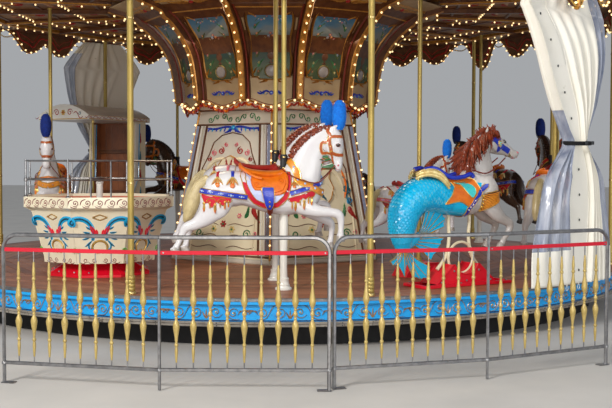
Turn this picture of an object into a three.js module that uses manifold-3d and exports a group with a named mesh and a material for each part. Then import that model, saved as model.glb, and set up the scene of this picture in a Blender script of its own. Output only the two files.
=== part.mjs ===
// Fairground carousel with its barrier panels.
// Millimetres, Z up. The origin is on the carousel's axis at ground level, and the front (-Y) is the
// middle of a bay. An angle of 0 degrees is the front, and it grows to the right as seen from the front,
// so a place at angle a and radius r is (r sin a, -r cos a).
import * as THREE from 'three';
import { mergeVertices } from 'three/addons/utils/BufferGeometryUtils.js';
import Module from 'manifold-3d';

const wasm = await Module();
wasm.setup();

// Driving dimensions
const BAYS = 12;
const BAY_DEG = 360 / BAYS;
const POST_PHASE = BAY_DEG / 2;
const SEAT = 0.3; // gap between two pieces that touch
const ROUND = 36; // sides of the large rings

const DECK_TOP = 455;
const DECK_THICK = 40;
const DECK_R = 4160;
const FASCIA_R = 4140;
const FASCIA_BOTTOM = 250;
const LOWER_RIM_BOTTOM = 204;
const FRAME_BOTTOM = 345;
const SKIRT_R = 3840;
const SKIRT_TOP = 190;

const POST_R = 28;
const POST_RING_R = 4060;
const CEILING_Z = 3500;
const CEILING_BEAM = 60;
const BOARD_R = 4300; // circumradius of the rounding boards
const BOARD_THICK = 40;
const BOARD_TOP = 3950;
const ROOF_TOP = 5400;
const COLUMN_R = 150;
const COLUMN_HOLE_R = COLUMN_R + SEAT + 0.1;

const POLE_R = 22.5;
const GUIDE_R = 40;
const OUTER_ROW_R = 3540;
const INNER_ROW_R = 2800;

const TUB_ANGLE = -38;
const TUB_R = 2820;
const TUB_FACING = 13.6; // direction that the tub's front panel faces
const TUB_FLOOR = 600;
const TUB_RIM = 1270;
const TUB_RIM_R = 806;
const TUB_FOOT_R = 595;

const HIPPO_ANGLE = 32.7;
const HIPPO_R = 3610;
const PONY_ANGLE = 35;
const PONY_R = 2800;
const COACH_ANGLE = -118;
const COACH_R = 3050;

const FENCE_HEIGHT = 1100;
const FENCE_BAY = 1200; // from post to post along one bay
const FENCE_TUBE_R = 15;
const SPINDLES_PER_BAY = 9;

const rad = THREE.MathUtils.degToRad;

// Geometry helpers

// Signed volume of an indexed geometry.
function signedVolume(geometry) {
  const p = geometry.attributes.position;
  const index = geometry.index;
  const a = new THREE.Vector3();
  const b = new THREE.Vector3();
  const c = new THREE.Vector3();
  let total = 0;
  for (let i = 0; i < index.count; i += 3) {
    a.fromBufferAttribute(p, index.getX(i));
    b.fromBufferAttribute(p, index.getX(i + 1));
    c.fromBufferAttribute(p, index.getX(i + 2));
    total += a.dot(b.cross(c)) / 6;
  }
  return total;
}

// Welds a geometry into one closed shell whose faces point out.
function closedShell(geometry) {
  const bare = geometry.clone();
  bare.deleteAttribute('normal');
  bare.deleteAttribute('uv');
  const shell = mergeVertices(bare, 0.001);
  const source = shell.index.array;
  const faces = [];
  for (let i = 0; i < source.length; i += 3) {
    const [a, b, c] = [source[i], source[i + 1], source[i + 2]];
    if (a !== b && b !== c && c !== a) faces.push(a, b, c);
  }
  shell.setIndex(faces);
  if (signedVolume(shell) < 0) {
    const flipped = [];
    for (let i = 0; i < faces.length; i += 3) flipped.push(faces[i], faces[i + 2], faces[i + 1]);
    shell.setIndex(flipped);
  }
  return shell;
}

function toSolid(geometry) {
  const shell = closedShell(geometry);
  return new wasm.Manifold(new wasm.Mesh({
    numProp: 3,
    vertProperties: Float32Array.from(shell.attributes.position.array),
    triVerts: Uint32Array.from(shell.index.array),
  }));
}

function toGeometry(solid) {
  const mesh = solid.getMesh();
  const geometry = new THREE.BufferGeometry();
  geometry.setAttribute('position', new THREE.BufferAttribute(mesh.vertProperties, 3));
  geometry.setIndex(new THREE.BufferAttribute(mesh.triVerts, 1));
  return geometry;
}

function join(pieces) {
  return toGeometry(pieces.map(toSolid).reduce((sum, next) => sum.add(next)));
}

function cut(geometry, cutters) {
  return toGeometry(cutters.map(toSolid).reduce((rest, next) => rest.subtract(next), toSolid(geometry)));
}

// Box from its lowest to its highest corner.
function block(low, high) {
  const size = high.map((value, i) => value - low[i]);
  const middle = high.map((value, i) => (value + low[i]) / 2);
  return new THREE.BoxGeometry(...size).translate(...middle);
}

// Turned solid about Z from [radius, height] points. The first corner of its outline is at phase degrees.
function turned(profile, sides, phase = 0) {
  const points = profile.map(([r, z]) => new THREE.Vector2(r, z));
  return new THREE.LatheGeometry(points, sides, rad(phase), Math.PI * 2).rotateX(Math.PI / 2);
}

function ring(inner, outer, low, high, sides = ROUND, phase = 0) {
  return turned([[inner, low], [outer, low], [outer, high], [inner, high], [inner, low]], sides, phase);
}

function disc(radius, low, high, sides = ROUND, phase = 0) {
  return turned([[0, low], [radius, low], [radius, high], [0, high]], sides, phase);
}

// Round bar between two points, tapering from one radius to the other.
function bar(from, to, r0, r1 = r0, sides = 6) {
  const start = new THREE.Vector3(...from);
  const end = new THREE.Vector3(...to);
  const along = end.clone().sub(start);
  const geometry = new THREE.CylinderGeometry(r1, r0, along.length(), sides);
  const turn = new THREE.Quaternion().setFromUnitVectors(new THREE.Vector3(0, 1, 0), along.normalize());
  const middle = start.add(end).multiplyScalar(0.5);
  return geometry.applyQuaternion(turn).translate(middle.x, middle.y, middle.z);
}

// Body lofted along a spine in an upright plane. Each station is [x, y, z, half width, half depth].
function spineLoft(stations, sides = 8) {
  const centres = stations.map(([x, y, z]) => new THREE.Vector3(x, y, z));
  const last = stations.length - 1;
  const positions = [];
  const sideways = new THREE.Vector3(0, 1, 0);
  stations.forEach(([, , , width, depth], i) => {
    const along = centres[Math.min(i + 1, last)].clone().sub(centres[Math.max(i - 1, 0)]).normalize();
    const across = sideways.clone().addScaledVector(along, -sideways.dot(along)).normalize();
    const up = across.clone().cross(along).normalize();
    for (let k = 0; k < sides; k += 1) {
      const t = (k / sides) * Math.PI * 2;
      const point = centres[i].clone();
      point.addScaledVector(across, width * Math.cos(t)).addScaledVector(up, depth * Math.sin(t));
      positions.push(...point.toArray());
    }
  });
  const faces = [];
  for (let i = 0; i < last; i += 1) {
    for (let k = 0; k < sides; k += 1) {
      const a = i * sides + k;
      const b = i * sides + ((k + 1) % sides);
      faces.push(a, b, a + sides, b, b + sides, a + sides);
    }
  }
  for (let k = 1; k < sides - 1; k += 1) {
    const far = last * sides;
    faces.push(0, k + 1, k, far, far + k, far + k + 1);
  }
  const geometry = new THREE.BufferGeometry();
  geometry.setAttribute('position', new THREE.Float32BufferAttribute(positions, 3));
  geometry.setIndex(faces);
  return geometry;
}

// Upright plate from an outline of [x, z] points, centred on y = 0.
function plate(outline, thickness) {
  const shape = new THREE.Shape(outline.map(([x, z]) => new THREE.Vector2(x, z)));
  const geometry = new THREE.ExtrudeGeometry(shape, { depth: thickness, bevelEnabled: false });
  return geometry.translate(0, 0, -thickness / 2).rotateX(Math.PI / 2);
}

function at(geometry, angle, radius = 0, height = 0) {
  return geometry.clone().translate(0, -radius, height).rotateZ(rad(angle));
}

function mirrored(geometry) {
  return geometry.clone().scale(1, -1, 1);
}

function around(count, phase, make) {
  return Array.from({ length: count }, (_, i) => make(phase + (i * 360) / count));
}

// Scene helpers

const carousel = new THREE.Group();
carousel.name = 'fairground_carousel';

function add(name, geometry, colour, roughness = 0.5, metalness = 0) {
  const material = new THREE.MeshStandardMaterial({ color: colour, roughness, metalness });
  const mesh = new THREE.Mesh(closedShell(geometry), material);
  mesh.name = name;
  carousel.add(mesh);
}

// Ground base

const BASE_ARMS = 6;
const BASE_ARM_HALF = 50;
const BASE_ARM_LOW = 20;
const BASE_ARM_HIGH = 120;
const BASE_HUB_R = 500;
const BASE_FOOT_HALF = 110;
const BASE_FOOT_LENGTH = 220;
const MIDDLE_FOOT_R = 2000;
const SKIRT_THICK = 40;
const BEARING_R = 360;
const BEARING_NECK_R = 300;
const BEARING_SHOULDER = 180;

function baseFrame() {
  const reach = (SKIRT_R - SKIRT_THICK) * Math.cos(Math.PI / ROUND) - SEAT;
  const arm = block([-BASE_ARM_HALF, -reach, BASE_ARM_LOW], [BASE_ARM_HALF, -BEARING_NECK_R, BASE_ARM_HIGH]);
  const foot = (far) => block([-BASE_FOOT_HALF, -far, 0],
    [BASE_FOOT_HALF, -far + BASE_FOOT_LENGTH, BASE_ARM_LOW + 1]);
  const spoke = join([arm, foot(reach), foot(MIDDLE_FOOT_R)]);
  return join([disc(BASE_HUB_R, 0, BASE_ARM_HIGH, 24), ...around(BASE_ARMS, 0, (a) => at(spoke, a))]);
}

function bearing() {
  const low = BASE_ARM_HIGH + SEAT;
  const high = FRAME_BOTTOM - SEAT;
  return turned([[0, low], [BEARING_R, low], [BEARING_R, BEARING_SHOULDER],
    [BEARING_NECK_R, BEARING_SHOULDER + 20], [BEARING_NECK_R, high], [0, high]], 24);
}

add('base_frame', baseFrame(), 0x2b2d30, 0.6, 0.4);
add('turntable_bearing', bearing(), 0x4a4d50, 0.4, 0.7);
add('base_skirt', ring(SKIRT_R - SKIRT_THICK, SKIRT_R, 0, SKIRT_TOP, ROUND, 180 / ROUND), 0x0e0f11, 0.8);

// Platform

const DECK_BOTTOM = DECK_TOP - DECK_THICK;
const FRAME_ARM_HALF = 45;
const FRAME_HUB_R = 450;
const RIM_BEAM_INNER = 4040;
const RIM_BEAM_OUTER = 4100;
const DECK_RIM_DEPTH = 55;
const DECK_RIM_THICK = 25;
const LOWER_RIM_INNER = 4050;

function platformFrame() {
  const top = DECK_BOTTOM - SEAT;
  const arm = block([-FRAME_ARM_HALF, -RIM_BEAM_INNER - 20, FRAME_BOTTOM],
    [FRAME_ARM_HALF, 50 - FRAME_HUB_R, top]);
  const hub = disc(FRAME_HUB_R, FRAME_BOTTOM, top, BAYS);
  const rim = ring(RIM_BEAM_INNER, RIM_BEAM_OUTER, FASCIA_BOTTOM, top);
  return join([hub, rim, ...around(BAYS / 2, POST_PHASE, (a) => at(arm, a))]);
}

add('platform_frame', platformFrame(), 0x35302c, 0.6, 0.5);
add('deck', disc(DECK_R, DECK_BOTTOM, DECK_TOP), 0x7a4a35, 0.55);
add('deck_rim', ring(DECK_R + SEAT, DECK_R + DECK_RIM_THICK, DECK_TOP - DECK_RIM_DEPTH, DECK_TOP + 3),
  0x8b8d8f, 0.45, 0.6);
add('fascia_band', ring(RIM_BEAM_OUTER + SEAT, FASCIA_R, FASCIA_BOTTOM, DECK_BOTTOM - SEAT), 0x1fa3e0, 0.4);
add('lower_rim', ring(LOWER_RIM_INNER, FASCIA_R + 12, LOWER_RIM_BOTTOM, FASCIA_BOTTOM - SEAT), 0x6f675c, 0.8);

// Outer posts

const POST_FLANGE_R = 44;
const POST_SOCKET_R = 36;

function outerPost() {
  const foot = DECK_TOP + SEAT;
  const top = CEILING_Z - SEAT;
  return turned([[0, foot], [POST_FLANGE_R, foot], [POST_FLANGE_R, foot + 24], [POST_SOCKET_R, foot + 28],
    [POST_SOCKET_R, foot + 160], [POST_R, foot + 166], [POST_R, top], [0, top]], 8);
}

around(BAYS, POST_PHASE, (a) => a).forEach((a, i) => {
  add(`outer_post_${String(i + 1).padStart(2, '0')}`, at(outerPost(), a, POST_RING_R), 0xa8985a, 0.35, 0.6);
});

// Centre column, drums and top

function lowerDrum() {
  const foot = DECK_TOP + SEAT;
  const wall = 30;
  const outer = [[1420, foot], [1350, 760], [1050, 2250], [1025, 2400]];
  const inner = outer.map(([r, z]) => [r - wall, z]).reverse();
  return turned([...outer, ...inner, outer[0]], 6);
}

const SHIELD_BOTTOM = 2250;
const SHIELD_NOTCH = 2390; // top of the notch between two shields
const SHIELD_NOTCH_FOOT = 250; // half widths of the notch
const SHIELD_NOTCH_HEAD = 60;

function upperDrum() {
  const flare = [[1190, 2420], [1205, 2555], [1253, 2815], [1335, 3010], [1481, 3200], [1659, 3350],
    [1872, 3430], [2065, 3480], [2080, CEILING_Z - SEAT]];
  const lining = [[2000, CEILING_Z - SEAT], [1850, 3465], [1635, 3385], [1448, 3228], [1300, 3028],
    [1221, 2822], [1174, 2560], [1158, 2420], [1155, SHIELD_BOTTOM]];
  const start = [1185, SHIELD_BOTTOM];
  const shell = turned([start, ...flare, ...lining, start], BAYS, POST_PHASE);
  const notch = plate([[-SHIELD_NOTCH_FOOT, SHIELD_BOTTOM - 5], [SHIELD_NOTCH_FOOT, SHIELD_BOTTOM - 5],
    [SHIELD_NOTCH_HEAD, SHIELD_NOTCH], [-SHIELD_NOTCH_HEAD, SHIELD_NOTCH]], 400);
  return cut(shell, around(BAYS, POST_PHASE, (a) => at(notch, a, start[0])));
}

// Flat twelve-cornered plate with a round hole for the column.
function canopyPlate(radius, low, high) {
  const corner = (a) => new THREE.Vector2(radius * Math.sin(rad(a)), -radius * Math.cos(rad(a)));
  const outline = new THREE.Shape(around(BAYS, POST_PHASE, corner));
  const whole = new THREE.ExtrudeGeometry(outline, { depth: high - low, bevelEnabled: false });
  const hole = disc(COLUMN_HOLE_R, low - 1, high + 1, BAYS, POST_PHASE);
  return cut(whole.translate(0, 0, low), [hole]);
}

const BOARD_INNER_R = BOARD_R - BOARD_THICK / Math.cos(Math.PI / BAYS);
const BEAM_R = BOARD_INNER_R - 1;
const BEAM_INNER_R = 3985;
const CEILING_HUB_R = 340;
const RIB_HALF = 30;
const RIB_END = 4000;
const CEILING_PLATE = 25;

function ceilingFrame() {
  const top = CEILING_Z + CEILING_BEAM;
  const rib = block([-RIB_HALF, -RIB_END, CEILING_Z], [RIB_HALF, 40 - CEILING_HUB_R, top]);
  const hub = ring(COLUMN_HOLE_R, CEILING_HUB_R, CEILING_Z, top, BAYS, POST_PHASE);
  const beam = ring(BEAM_INNER_R, BEAM_R, CEILING_Z, top, BAYS, POST_PHASE);
  const ribs = around(BAYS, POST_PHASE, (a) => at(rib, a));
  return join([hub, beam, canopyPlate(BEAM_R, top - 1, top + CEILING_PLATE), ...ribs]);
}

// Half of a board's lower edge as [share of the half width, height], from a post to the middle of the bay.
const BOARD_BOTTOM = 3100;
const BOARD_EDGE = [[0.97, BOARD_BOTTOM - 5], [0.88, 3210], [0.77, 3450], [0.67, 3500], [0.55, 3440],
  [0.38, 3240], [0.25, 3205], [0.1, 3290], [0, 3360]];

function roundingBoards() {
  const half = BOARD_R * Math.sin(Math.PI / BAYS);
  const right = BOARD_EDGE.map(([s, z]) => [s * half, z]);
  const left = BOARD_EDGE.slice(0, -1).reverse().map(([s, z]) => [-s * half, z]);
  const arch = plate([...right, ...left], BOARD_THICK * 2);
  const middle = BOARD_R * Math.cos(Math.PI / BAYS) - BOARD_THICK / 2;
  const band = ring(BOARD_INNER_R, BOARD_R, BOARD_BOTTOM, BOARD_TOP, BAYS, POST_PHASE);
  return cut(band, around(BAYS, 0, (a) => at(arch, a, middle)));
}

const ROOF_R = 4290;
const ROOF_LIP = 35;
const ROOF_THICK = 45;
const ROOF_SEAT_R = 4120;

function roofCanopy() {
  const low = BOARD_TOP + SEAT;
  const rim = [ROOF_R, low];
  return turned([rim, [ROOF_R, low + ROOF_LIP], [COLUMN_HOLE_R, ROOF_TOP],
    [COLUMN_HOLE_R, ROOF_TOP - ROOF_THICK], [ROOF_SEAT_R, low], rim], BAYS, POST_PHASE);
}

function finial() {
  const z = ROOF_TOP + SEAT;
  return turned([[0, z], [230, z], [230, z + 30], [120, z + 70], [70, z + 130], [130, z + 200],
    [130, z + 260], [50, z + 330], [20, z + 560], [0, z + 560]], BAYS);
}

const column = disc(COLUMN_R, DECK_TOP + SEAT, ROOF_TOP - SEAT, BAYS, POST_PHASE);
add('centre_column', column, 0x9a9a94, 0.5, 0.4);
add('lower_drum', lowerDrum(), 0xcfc4b0, 0.5);
add('upper_drum', upperDrum(), 0x9c7440, 0.45, 0.2);
add('ceiling_frame', ceilingFrame(), 0x6f4c2c, 0.5);
add('rounding_boards', roundingBoards(), 0xa9712e, 0.45);
add('roof_canopy', roofCanopy(), 0xd8cdb6, 0.8);
add('roof_finial', finial(), 0xc9a24a, 0.35, 0.6);

// Jumping horses. X is forward, the pole is on x = 0, y = 0, and z is the height above the ground.

const POLE_SIDES = 8;
const GUIDE_TOP = 1200;
const HORSE_TRAVEL = 120;

const TRUNK = [[-765, 0, 1385, 55, 75], [-680, 0, 1390, 150, 145], [-480, 0, 1385, 172, 160],
  [-200, 0, 1335, 170, 165], [40, 0, 1330, 175, 190], [230, 0, 1360, 150, 175], [335, 0, 1390, 50, 70]];
const NECK = [[110, 0, 1400, 120, 190], [210, 0, 1610, 80, 160], [310, 0, 1810, 55, 110],
  [400, 0, 1885, 45, 65]];
const HEAD = [[395, 0, 1925, 40, 40], [445, 0, 1790, 62, 90], [480, 0, 1655, 42, 60],
  [492, 0, 1570, 38, 42]];
const HIND_LEG = [[-620, 85, 1370, 85, 130], [-660, 100, 1220, 75, 115], [-885, 100, 1045, 34, 44],
  [-950, 100, 890, 26, 30], [-985, 100, 815, 42, 40]];
const FORELEG_HIGH = [[180, -85, 1320, 75, 95], [310, -95, 1200, 55, 62], [515, -95, 1140, 38, 42],
  [515, -95, 1000, 26, 29], [512, -95, 940, 40, 40]];
const FORELEG_LOW = [[170, 85, 1300, 75, 95], [280, 95, 1160, 52, 58], [452, 95, 1070, 36, 40],
  [435, 95, 930, 26, 29], [420, 95, 865, 40, 40]];
const TAIL = [[-690, 0, 1470, 35, 40], [-810, 0, 1400, 50, 56], [-880, 0, 1120, 34, 40]];
const SADDLE = [[-390, 0, 1560, 60, 28], [-240, 0, 1505, 128, 36], [-60, 0, 1510, 120, 36],
  [50, 0, 1560, 50, 26]];
const PLUME = [[505, 0, 1850, 24, 26], [515, 0, 1985, 62, 66], [515, 0, 2110, 60, 64],
  [515, 0, 2175, 28, 30]];
const SLEEVE_R = 33;
const SLEEVE_FOOT = 1400;
const SLEEVE_TOP = 1690;
const BORE_FOOT = 900; // start of the bore below the belly

function horseFigure() {
  const hindLeg = spineLoft(HIND_LEG, 4);
  const legs = [hindLeg, mirrored(hindLeg), spineLoft(FORELEG_HIGH, 4), spineLoft(FORELEG_LOW, 4)];
  const sleeve = disc(SLEEVE_R, SLEEVE_FOOT, SLEEVE_TOP, POLE_SIDES);
  const body = join([spineLoft(TRUNK, 7), spineLoft(NECK, 5), spineLoft(HEAD, 5), spineLoft(TAIL, 4),
    spineLoft(SADDLE, 4), spineLoft(PLUME, 5), sleeve, ...legs]);
  const bore = disc(POLE_R + 0.5, BORE_FOOT, SLEEVE_TOP + 50, POLE_SIDES);
  const pocket = disc(GUIDE_R + 5, BORE_FOOT, GUIDE_TOP + HORSE_TRAVEL + 10, POLE_SIDES);
  return cut(body, [bore, pocket]);
}

const FLANGE_R = 78;
const COLLAR_R = 55;

// Fixed guide of a jumping horse: deck flange, white column and the pole up to the ceiling frame.
function guidePole(lift) {
  const foot = DECK_TOP + SEAT;
  const guideTop = GUIDE_TOP + lift;
  const poleTop = CEILING_Z - SEAT;
  return turned([[0, foot], [FLANGE_R, foot], [FLANGE_R, foot + 18], [COLLAR_R, foot + 40],
    [COLLAR_R, foot + 110], [GUIDE_R, foot + 120], [GUIDE_R, guideTop], [POLE_R, guideTop],
    [POLE_R, poleTop], [0, poleTop]], POLE_SIDES);
}

const WHITE = 0xf1efe9;
const BAY_BROWN = 0x4b2f22;
// Angle, radius, rest height above the front horse's, colour
const HORSES = [
  { angle: 4.4, radius: OUTER_ROW_R, lift: 0, colour: WHITE },
  { angle: 3.1, radius: INNER_ROW_R, lift: 50, colour: WHITE },
  { angle: 64, radius: OUTER_ROW_R, lift: -40, colour: WHITE },
  { angle: 95, radius: OUTER_ROW_R, lift: 40, colour: BAY_BROWN },
  { angle: 126, radius: OUTER_ROW_R, lift: 0, colour: BAY_BROWN },
  { angle: 172, radius: OUTER_ROW_R, lift: -30, colour: BAY_BROWN },
  { angle: -150, radius: OUTER_ROW_R, lift: 30, colour: BAY_BROWN },
  { angle: -80, radius: INNER_ROW_R, lift: 0, colour: WHITE },
];

HORSES.forEach(({ angle, radius, lift, colour }, i) => {
  const number = String(i + 1).padStart(2, '0');
  add(`horse_${number}`, at(horseFigure(), angle, radius, lift), colour, 0.25);
  add(`guide_pole_${number}`, at(guidePole(lift), angle, radius), 0xa8985a, 0.35, 0.6);
});

// Hippocampus on its stand. X is forward, z is the height above the ground.

const FISH_BODY = [[280, 0, 1370, 90, 110], [180, 0, 1330, 150, 175], [20, 0, 1290, 165, 170],
  [-180, 0, 1300, 165, 172], [-360, 0, 1330, 165, 170], [-540, 0, 1310, 160, 165],
  [-665, 0, 1190, 145, 155], [-700, 0, 1030, 120, 140], [-700, 0, 900, 80, 110], [-690, 0, 800, 40, 90]];
const HIPPO_NECK = [[150, 0, 1380, 130, 190], [190, 0, 1540, 100, 165], [180, 0, 1690, 75, 135],
  [210, 0, 1820, 60, 95], [270, 0, 1890, 45, 50]];
const HIPPO_HEAD = [[230, 0, 1890, 45, 45], [330, 0, 1850, 62, 85], [430, 0, 1805, 56, 72],
  [560, 0, 1740, 40, 46], [660, 0, 1700, 36, 38]];
const HIPPO_FORELEG = [[200, 90, 1280, 70, 90], [330, 100, 1150, 55, 62], [510, 100, 1040, 38, 40],
  [500, 100, 970, 28, 30], [450, 100, 880, 24, 26], [415, 100, 820, 38, 38]];
const HIPPO_CANTLE = [[-420, 0, 1500, 100, 30], [-250, 0, 1510, 120, 36], [-150, 0, 1450, 130, 30]];
const TAIL_FAN = [[-760, 860], [-620, 860], [-400, 790], [-350, 560], [-600, 640], [-700, 545],
  [-830, 640]];
const TAIL_FAN_UPPER = [[-640, 900], [-560, 850], [-340, 900], [-210, 980], [-250, 1110], [-330, 1190],
  [-470, 1180]];
const FAN_THICK = 44;
const HIPPO_LEG_R = 17;
const HOOP_R = 150;
const HOOP_TUBE_R = 13;
const STAND_RAIL_Y = 150;
const STAND_BAR_HALF = 20;
const STAND_BAR_HEIGHT = 30;

function hippoStandLegs(grow) {
  const left = [[-160, 1240], [-150, 860], [-190, 720], [-290, 610]];
  const right = [[100, 1240], [90, 860], [130, 720], [230, 610]];
  const bars = (route) => route.slice(1).map(([x, z], i) => {
    const [x0, z0] = route[i];
    return bar([x0, 0, z0 + (i === 0 ? grow : 0)], [x, 0, z], HIPPO_LEG_R + grow, HIPPO_LEG_R + grow, 5);
  });
  return join([...bars(left), ...bars(right)]);
}

function hippocampus() {
  const leg = spineLoft(HIPPO_FORELEG, 5);
  const body = join([spineLoft(FISH_BODY), spineLoft(HIPPO_NECK, 6), spineLoft(HIPPO_HEAD, 6), leg,
    mirrored(leg), spineLoft(HIPPO_CANTLE, 5), plate(TAIL_FAN, FAN_THICK),
    plate(TAIL_FAN_UPPER, FAN_THICK)]);
  return cut(body, [hippoStandLegs(0.4)]);
}

function hippocampusStand() {
  const foot = DECK_TOP + SEAT;
  const top = foot + STAND_BAR_HEIGHT;
  const outer = STAND_RAIL_Y + STAND_BAR_HALF;
  const base = plate([[-390, foot], [330, foot], [330, top], [150, 640], [-210, 640], [-390, top]], 240);
  const rail = block([-560, -outer, foot], [500, STAND_BAR_HALF - STAND_RAIL_Y, top]);
  const tie = (x) => block([x - STAND_BAR_HALF, -outer, foot], [x + STAND_BAR_HALF, outer, top]);
  const hoop = new THREE.TorusGeometry(HOOP_R, HOOP_TUBE_R, 4, 14).rotateX(Math.PI / 2)
    .translate(-30, 0, 715);
  return join([base, rail, mirrored(rail), tie(-540), tie(480), tie(0), hoop, hippoStandLegs(0)]);
}

add('hippocampus', at(hippocampus(), HIPPO_ANGLE, HIPPO_R), 0x2fb8d8, 0.25);
add('hippocampus_stand', at(hippocampusStand(), HIPPO_ANGLE, HIPPO_R), 0xc8141c, 0.4);

// Inner pony, fixed on its pole and stand

const PONY_SCALE = 0.75;
const PONY_LIFT = 230;

function pony() {
  const scaled = horseFigure().scale(PONY_SCALE, PONY_SCALE, PONY_SCALE).translate(0, 0, PONY_LIFT);
  const plug = disc(GUIDE_R * PONY_SCALE + 5, 1095, 1260, POLE_SIDES);
  return cut(join([scaled, plug]), [disc(POLE_R + 0.4, 800, 1900, POLE_SIDES)]);
}

function ponyStand() {
  const foot = DECK_TOP + SEAT;
  const base = plate([[-260, foot], [260, foot], [170, foot + 130], [-170, foot + 130]], 220);
  return join([base, disc(POLE_R, foot + 50, CEILING_Z - SEAT, POLE_SIDES)]);
}

add('inner_pony', at(pony(), PONY_ANGLE, PONY_R), WHITE, 0.25);
add('pony_stand', at(ponyStand(), PONY_ANGLE, PONY_R), 0xc8141c, 0.4);

// Tub. Its own origin is on its turning axis, z is the height above the ground.

const TUB_SIDES = 8;
const TUB_DRUM_R = 370;
const TUB_SKIRT_R = 545;
const TUB_BORE_R = 45;
const TUB_BAND = 105; // depth of the upright rim band
const TUB_NECK_R = 723; // top of the sloping side, under the rim's cove
const TUB_NECK_Z = 1108;
const TUB_SEAT = 1060;
const WHEEL_R = 110;
const WHEEL_Z = 1450;
const TUB_PHASE = TUB_FACING - TUB_ANGLE + 180 / TUB_SIDES;

function tubBase() {
  const foot = DECK_TOP + SEAT;
  const skirt = turned([[0, foot], [TUB_SKIRT_R, foot], [TUB_SKIRT_R, foot + 25],
    [TUB_DRUM_R + 15, TUB_FLOOR - 35], [TUB_DRUM_R, TUB_FLOOR - 20], [TUB_DRUM_R, TUB_FLOOR],
    [0, TUB_FLOOR]], TUB_SIDES, TUB_PHASE);
  const stem = disc(30, TUB_FLOOR - 20, WHEEL_Z - 10, 8);
  const wheel = turned([[0, WHEEL_Z - 15], [WHEEL_R - 10, WHEEL_Z - 15], [WHEEL_R, WHEEL_Z],
    [WHEEL_R - 10, WHEEL_Z + 15], [0, WHEEL_Z + 15]], 12);
  return join([skirt, stem, wheel]);
}

function tubShell() {
  const low = TUB_FLOOR + 0.6;
  const profile = [[TUB_BORE_R, low], [TUB_FOOT_R, low], [TUB_FOOT_R + 6, low + 60],
    [TUB_NECK_R, TUB_NECK_Z], [TUB_NECK_R + 14, TUB_NECK_Z + 25],
    [TUB_RIM_R - 20, TUB_RIM - TUB_BAND - 7], [TUB_RIM_R, TUB_RIM - TUB_BAND], [TUB_RIM_R, TUB_RIM],
    [TUB_RIM_R - 32, TUB_RIM], [TUB_RIM_R - 40, TUB_RIM - 30], [TUB_NECK_R - 77, TUB_SEAT],
    [450, TUB_SEAT - 20], [450, 1000], [440, 700], [TUB_BORE_R, 690]];
  return turned([...profile, profile[0]], TUB_SIDES, TUB_PHASE);
}

function tubRail() {
  const low = TUB_RIM + SEAT;
  const top = 1630;
  const middle = 1440;
  const corner = (i) => {
    const a = rad(TUB_PHASE + (i * 360) / TUB_SIDES);
    const r = TUB_RIM_R - 18;
    return [r * Math.sin(a), -r * Math.cos(a)];
  };
  const pieces = [];
  for (let i = 0; i < TUB_SIDES; i += 1) {
    const here = corner(i);
    const next = corner(i + 1);
    pieces.push(bar([...here, low], [...here, top + 14], 13, 13, 4));
    pieces.push(bar([...here, top], [...next, top], 11, 11, 4));
    pieces.push(bar([...here, middle], [...next, middle], 9, 9, 4));
  }
  return join(pieces);
}

add('tub_base', at(tubBase(), TUB_ANGLE, TUB_R), 0xc8141c, 0.4);
add('tub_shell', at(tubShell(), TUB_ANGLE, TUB_R), 0xefe3c4, 0.35);
add('tub_rail', at(tubRail(), TUB_ANGLE, TUB_R), 0x9aa0a4, 0.3, 0.8);

// Covered coach. X is forward.

const COACH_WIDTH = 850;
const COACH_SIDE_THICK = 36;
const COACH_EAVES = 2200;
const BENCH_TOP = 920;

function coachBody() {
  const foot = DECK_TOP + SEAT;
  const half = COACH_WIDTH / 2;
  const sideY = half - COACH_SIDE_THICK / 2;
  const sill = foot + 60;
  const side = plate([[-600, sill], [-420, foot], [360, foot], [560, sill], [660, 820], [560, 1010],
    [330, 1060], [120, 930], [-150, 950], [-330, 1150], [-380, COACH_EAVES], [-620, COACH_EAVES]],
  COACH_SIDE_THICK).translate(0, sideY, 0);
  const floor = block([-560, -half, sill], [560, half, sill + 40]);
  const back = block([-610, -half, sill], [-570, half, COACH_EAVES]);
  const bench = block([-580, -half, BENCH_TOP - 60], [-140, half, BENCH_TOP]);
  const benchFront = block([-180, -half, sill], [-140, half, BENCH_TOP - 20]);
  const frontPost = bar([480, sideY, 900], [480, sideY, COACH_EAVES], 14);
  return join([side, mirrored(side), floor, back, bench, benchFront, frontPost, mirrored(frontPost)]);
}

function coachCanopy() {
  const low = COACH_EAVES + SEAT;
  const half = COACH_WIDTH / 2 + 30;
  const shape = new THREE.Shape();
  shape.moveTo(-half, low);
  shape.lineTo(half, low);
  shape.lineTo(half, low + 60);
  shape.quadraticCurveTo(half * 0.6, low + 210, 0, low + 215);
  shape.quadraticCurveTo(-half * 0.6, low + 210, -half, low + 60);
  const geometry = new THREE.ExtrudeGeometry(shape, { depth: 1300, bevelEnabled: false, curveSegments: 4 });
  return geometry.rotateX(Math.PI / 2).rotateZ(Math.PI / 2).translate(-680, 0, 0);
}

add('coach_body', at(coachBody(), COACH_ANGLE, COACH_R), 0x7b3a1c, 0.5);
add('coach_canopy', at(coachCanopy(), COACH_ANGLE, COACH_R), 0xe9e2d2, 0.6);

// Gathered curtains beside two opposite posts

// Distance from the axis, height, half width along the rim, half depth
const CURTAIN = [[4260, 470, 700, 140], [4262, 800, 690, 145], [4266, 1250, 575, 150],
  [4270, 1490, 490, 155], [4270, 1720, 240, 140], [4270, 1830, 150, 125], [4264, 1940, 210, 120],
  [4257, 2170, 360, 120], [4247, 2410, 475, 120], [4235, 2640, 565, 110], [4190, 3040, 700, 62],
  [4143, 3100, 690, 42], [4140, 3300, 520, 36], [4140, CEILING_Z - SEAT, 330, 30]];

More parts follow.
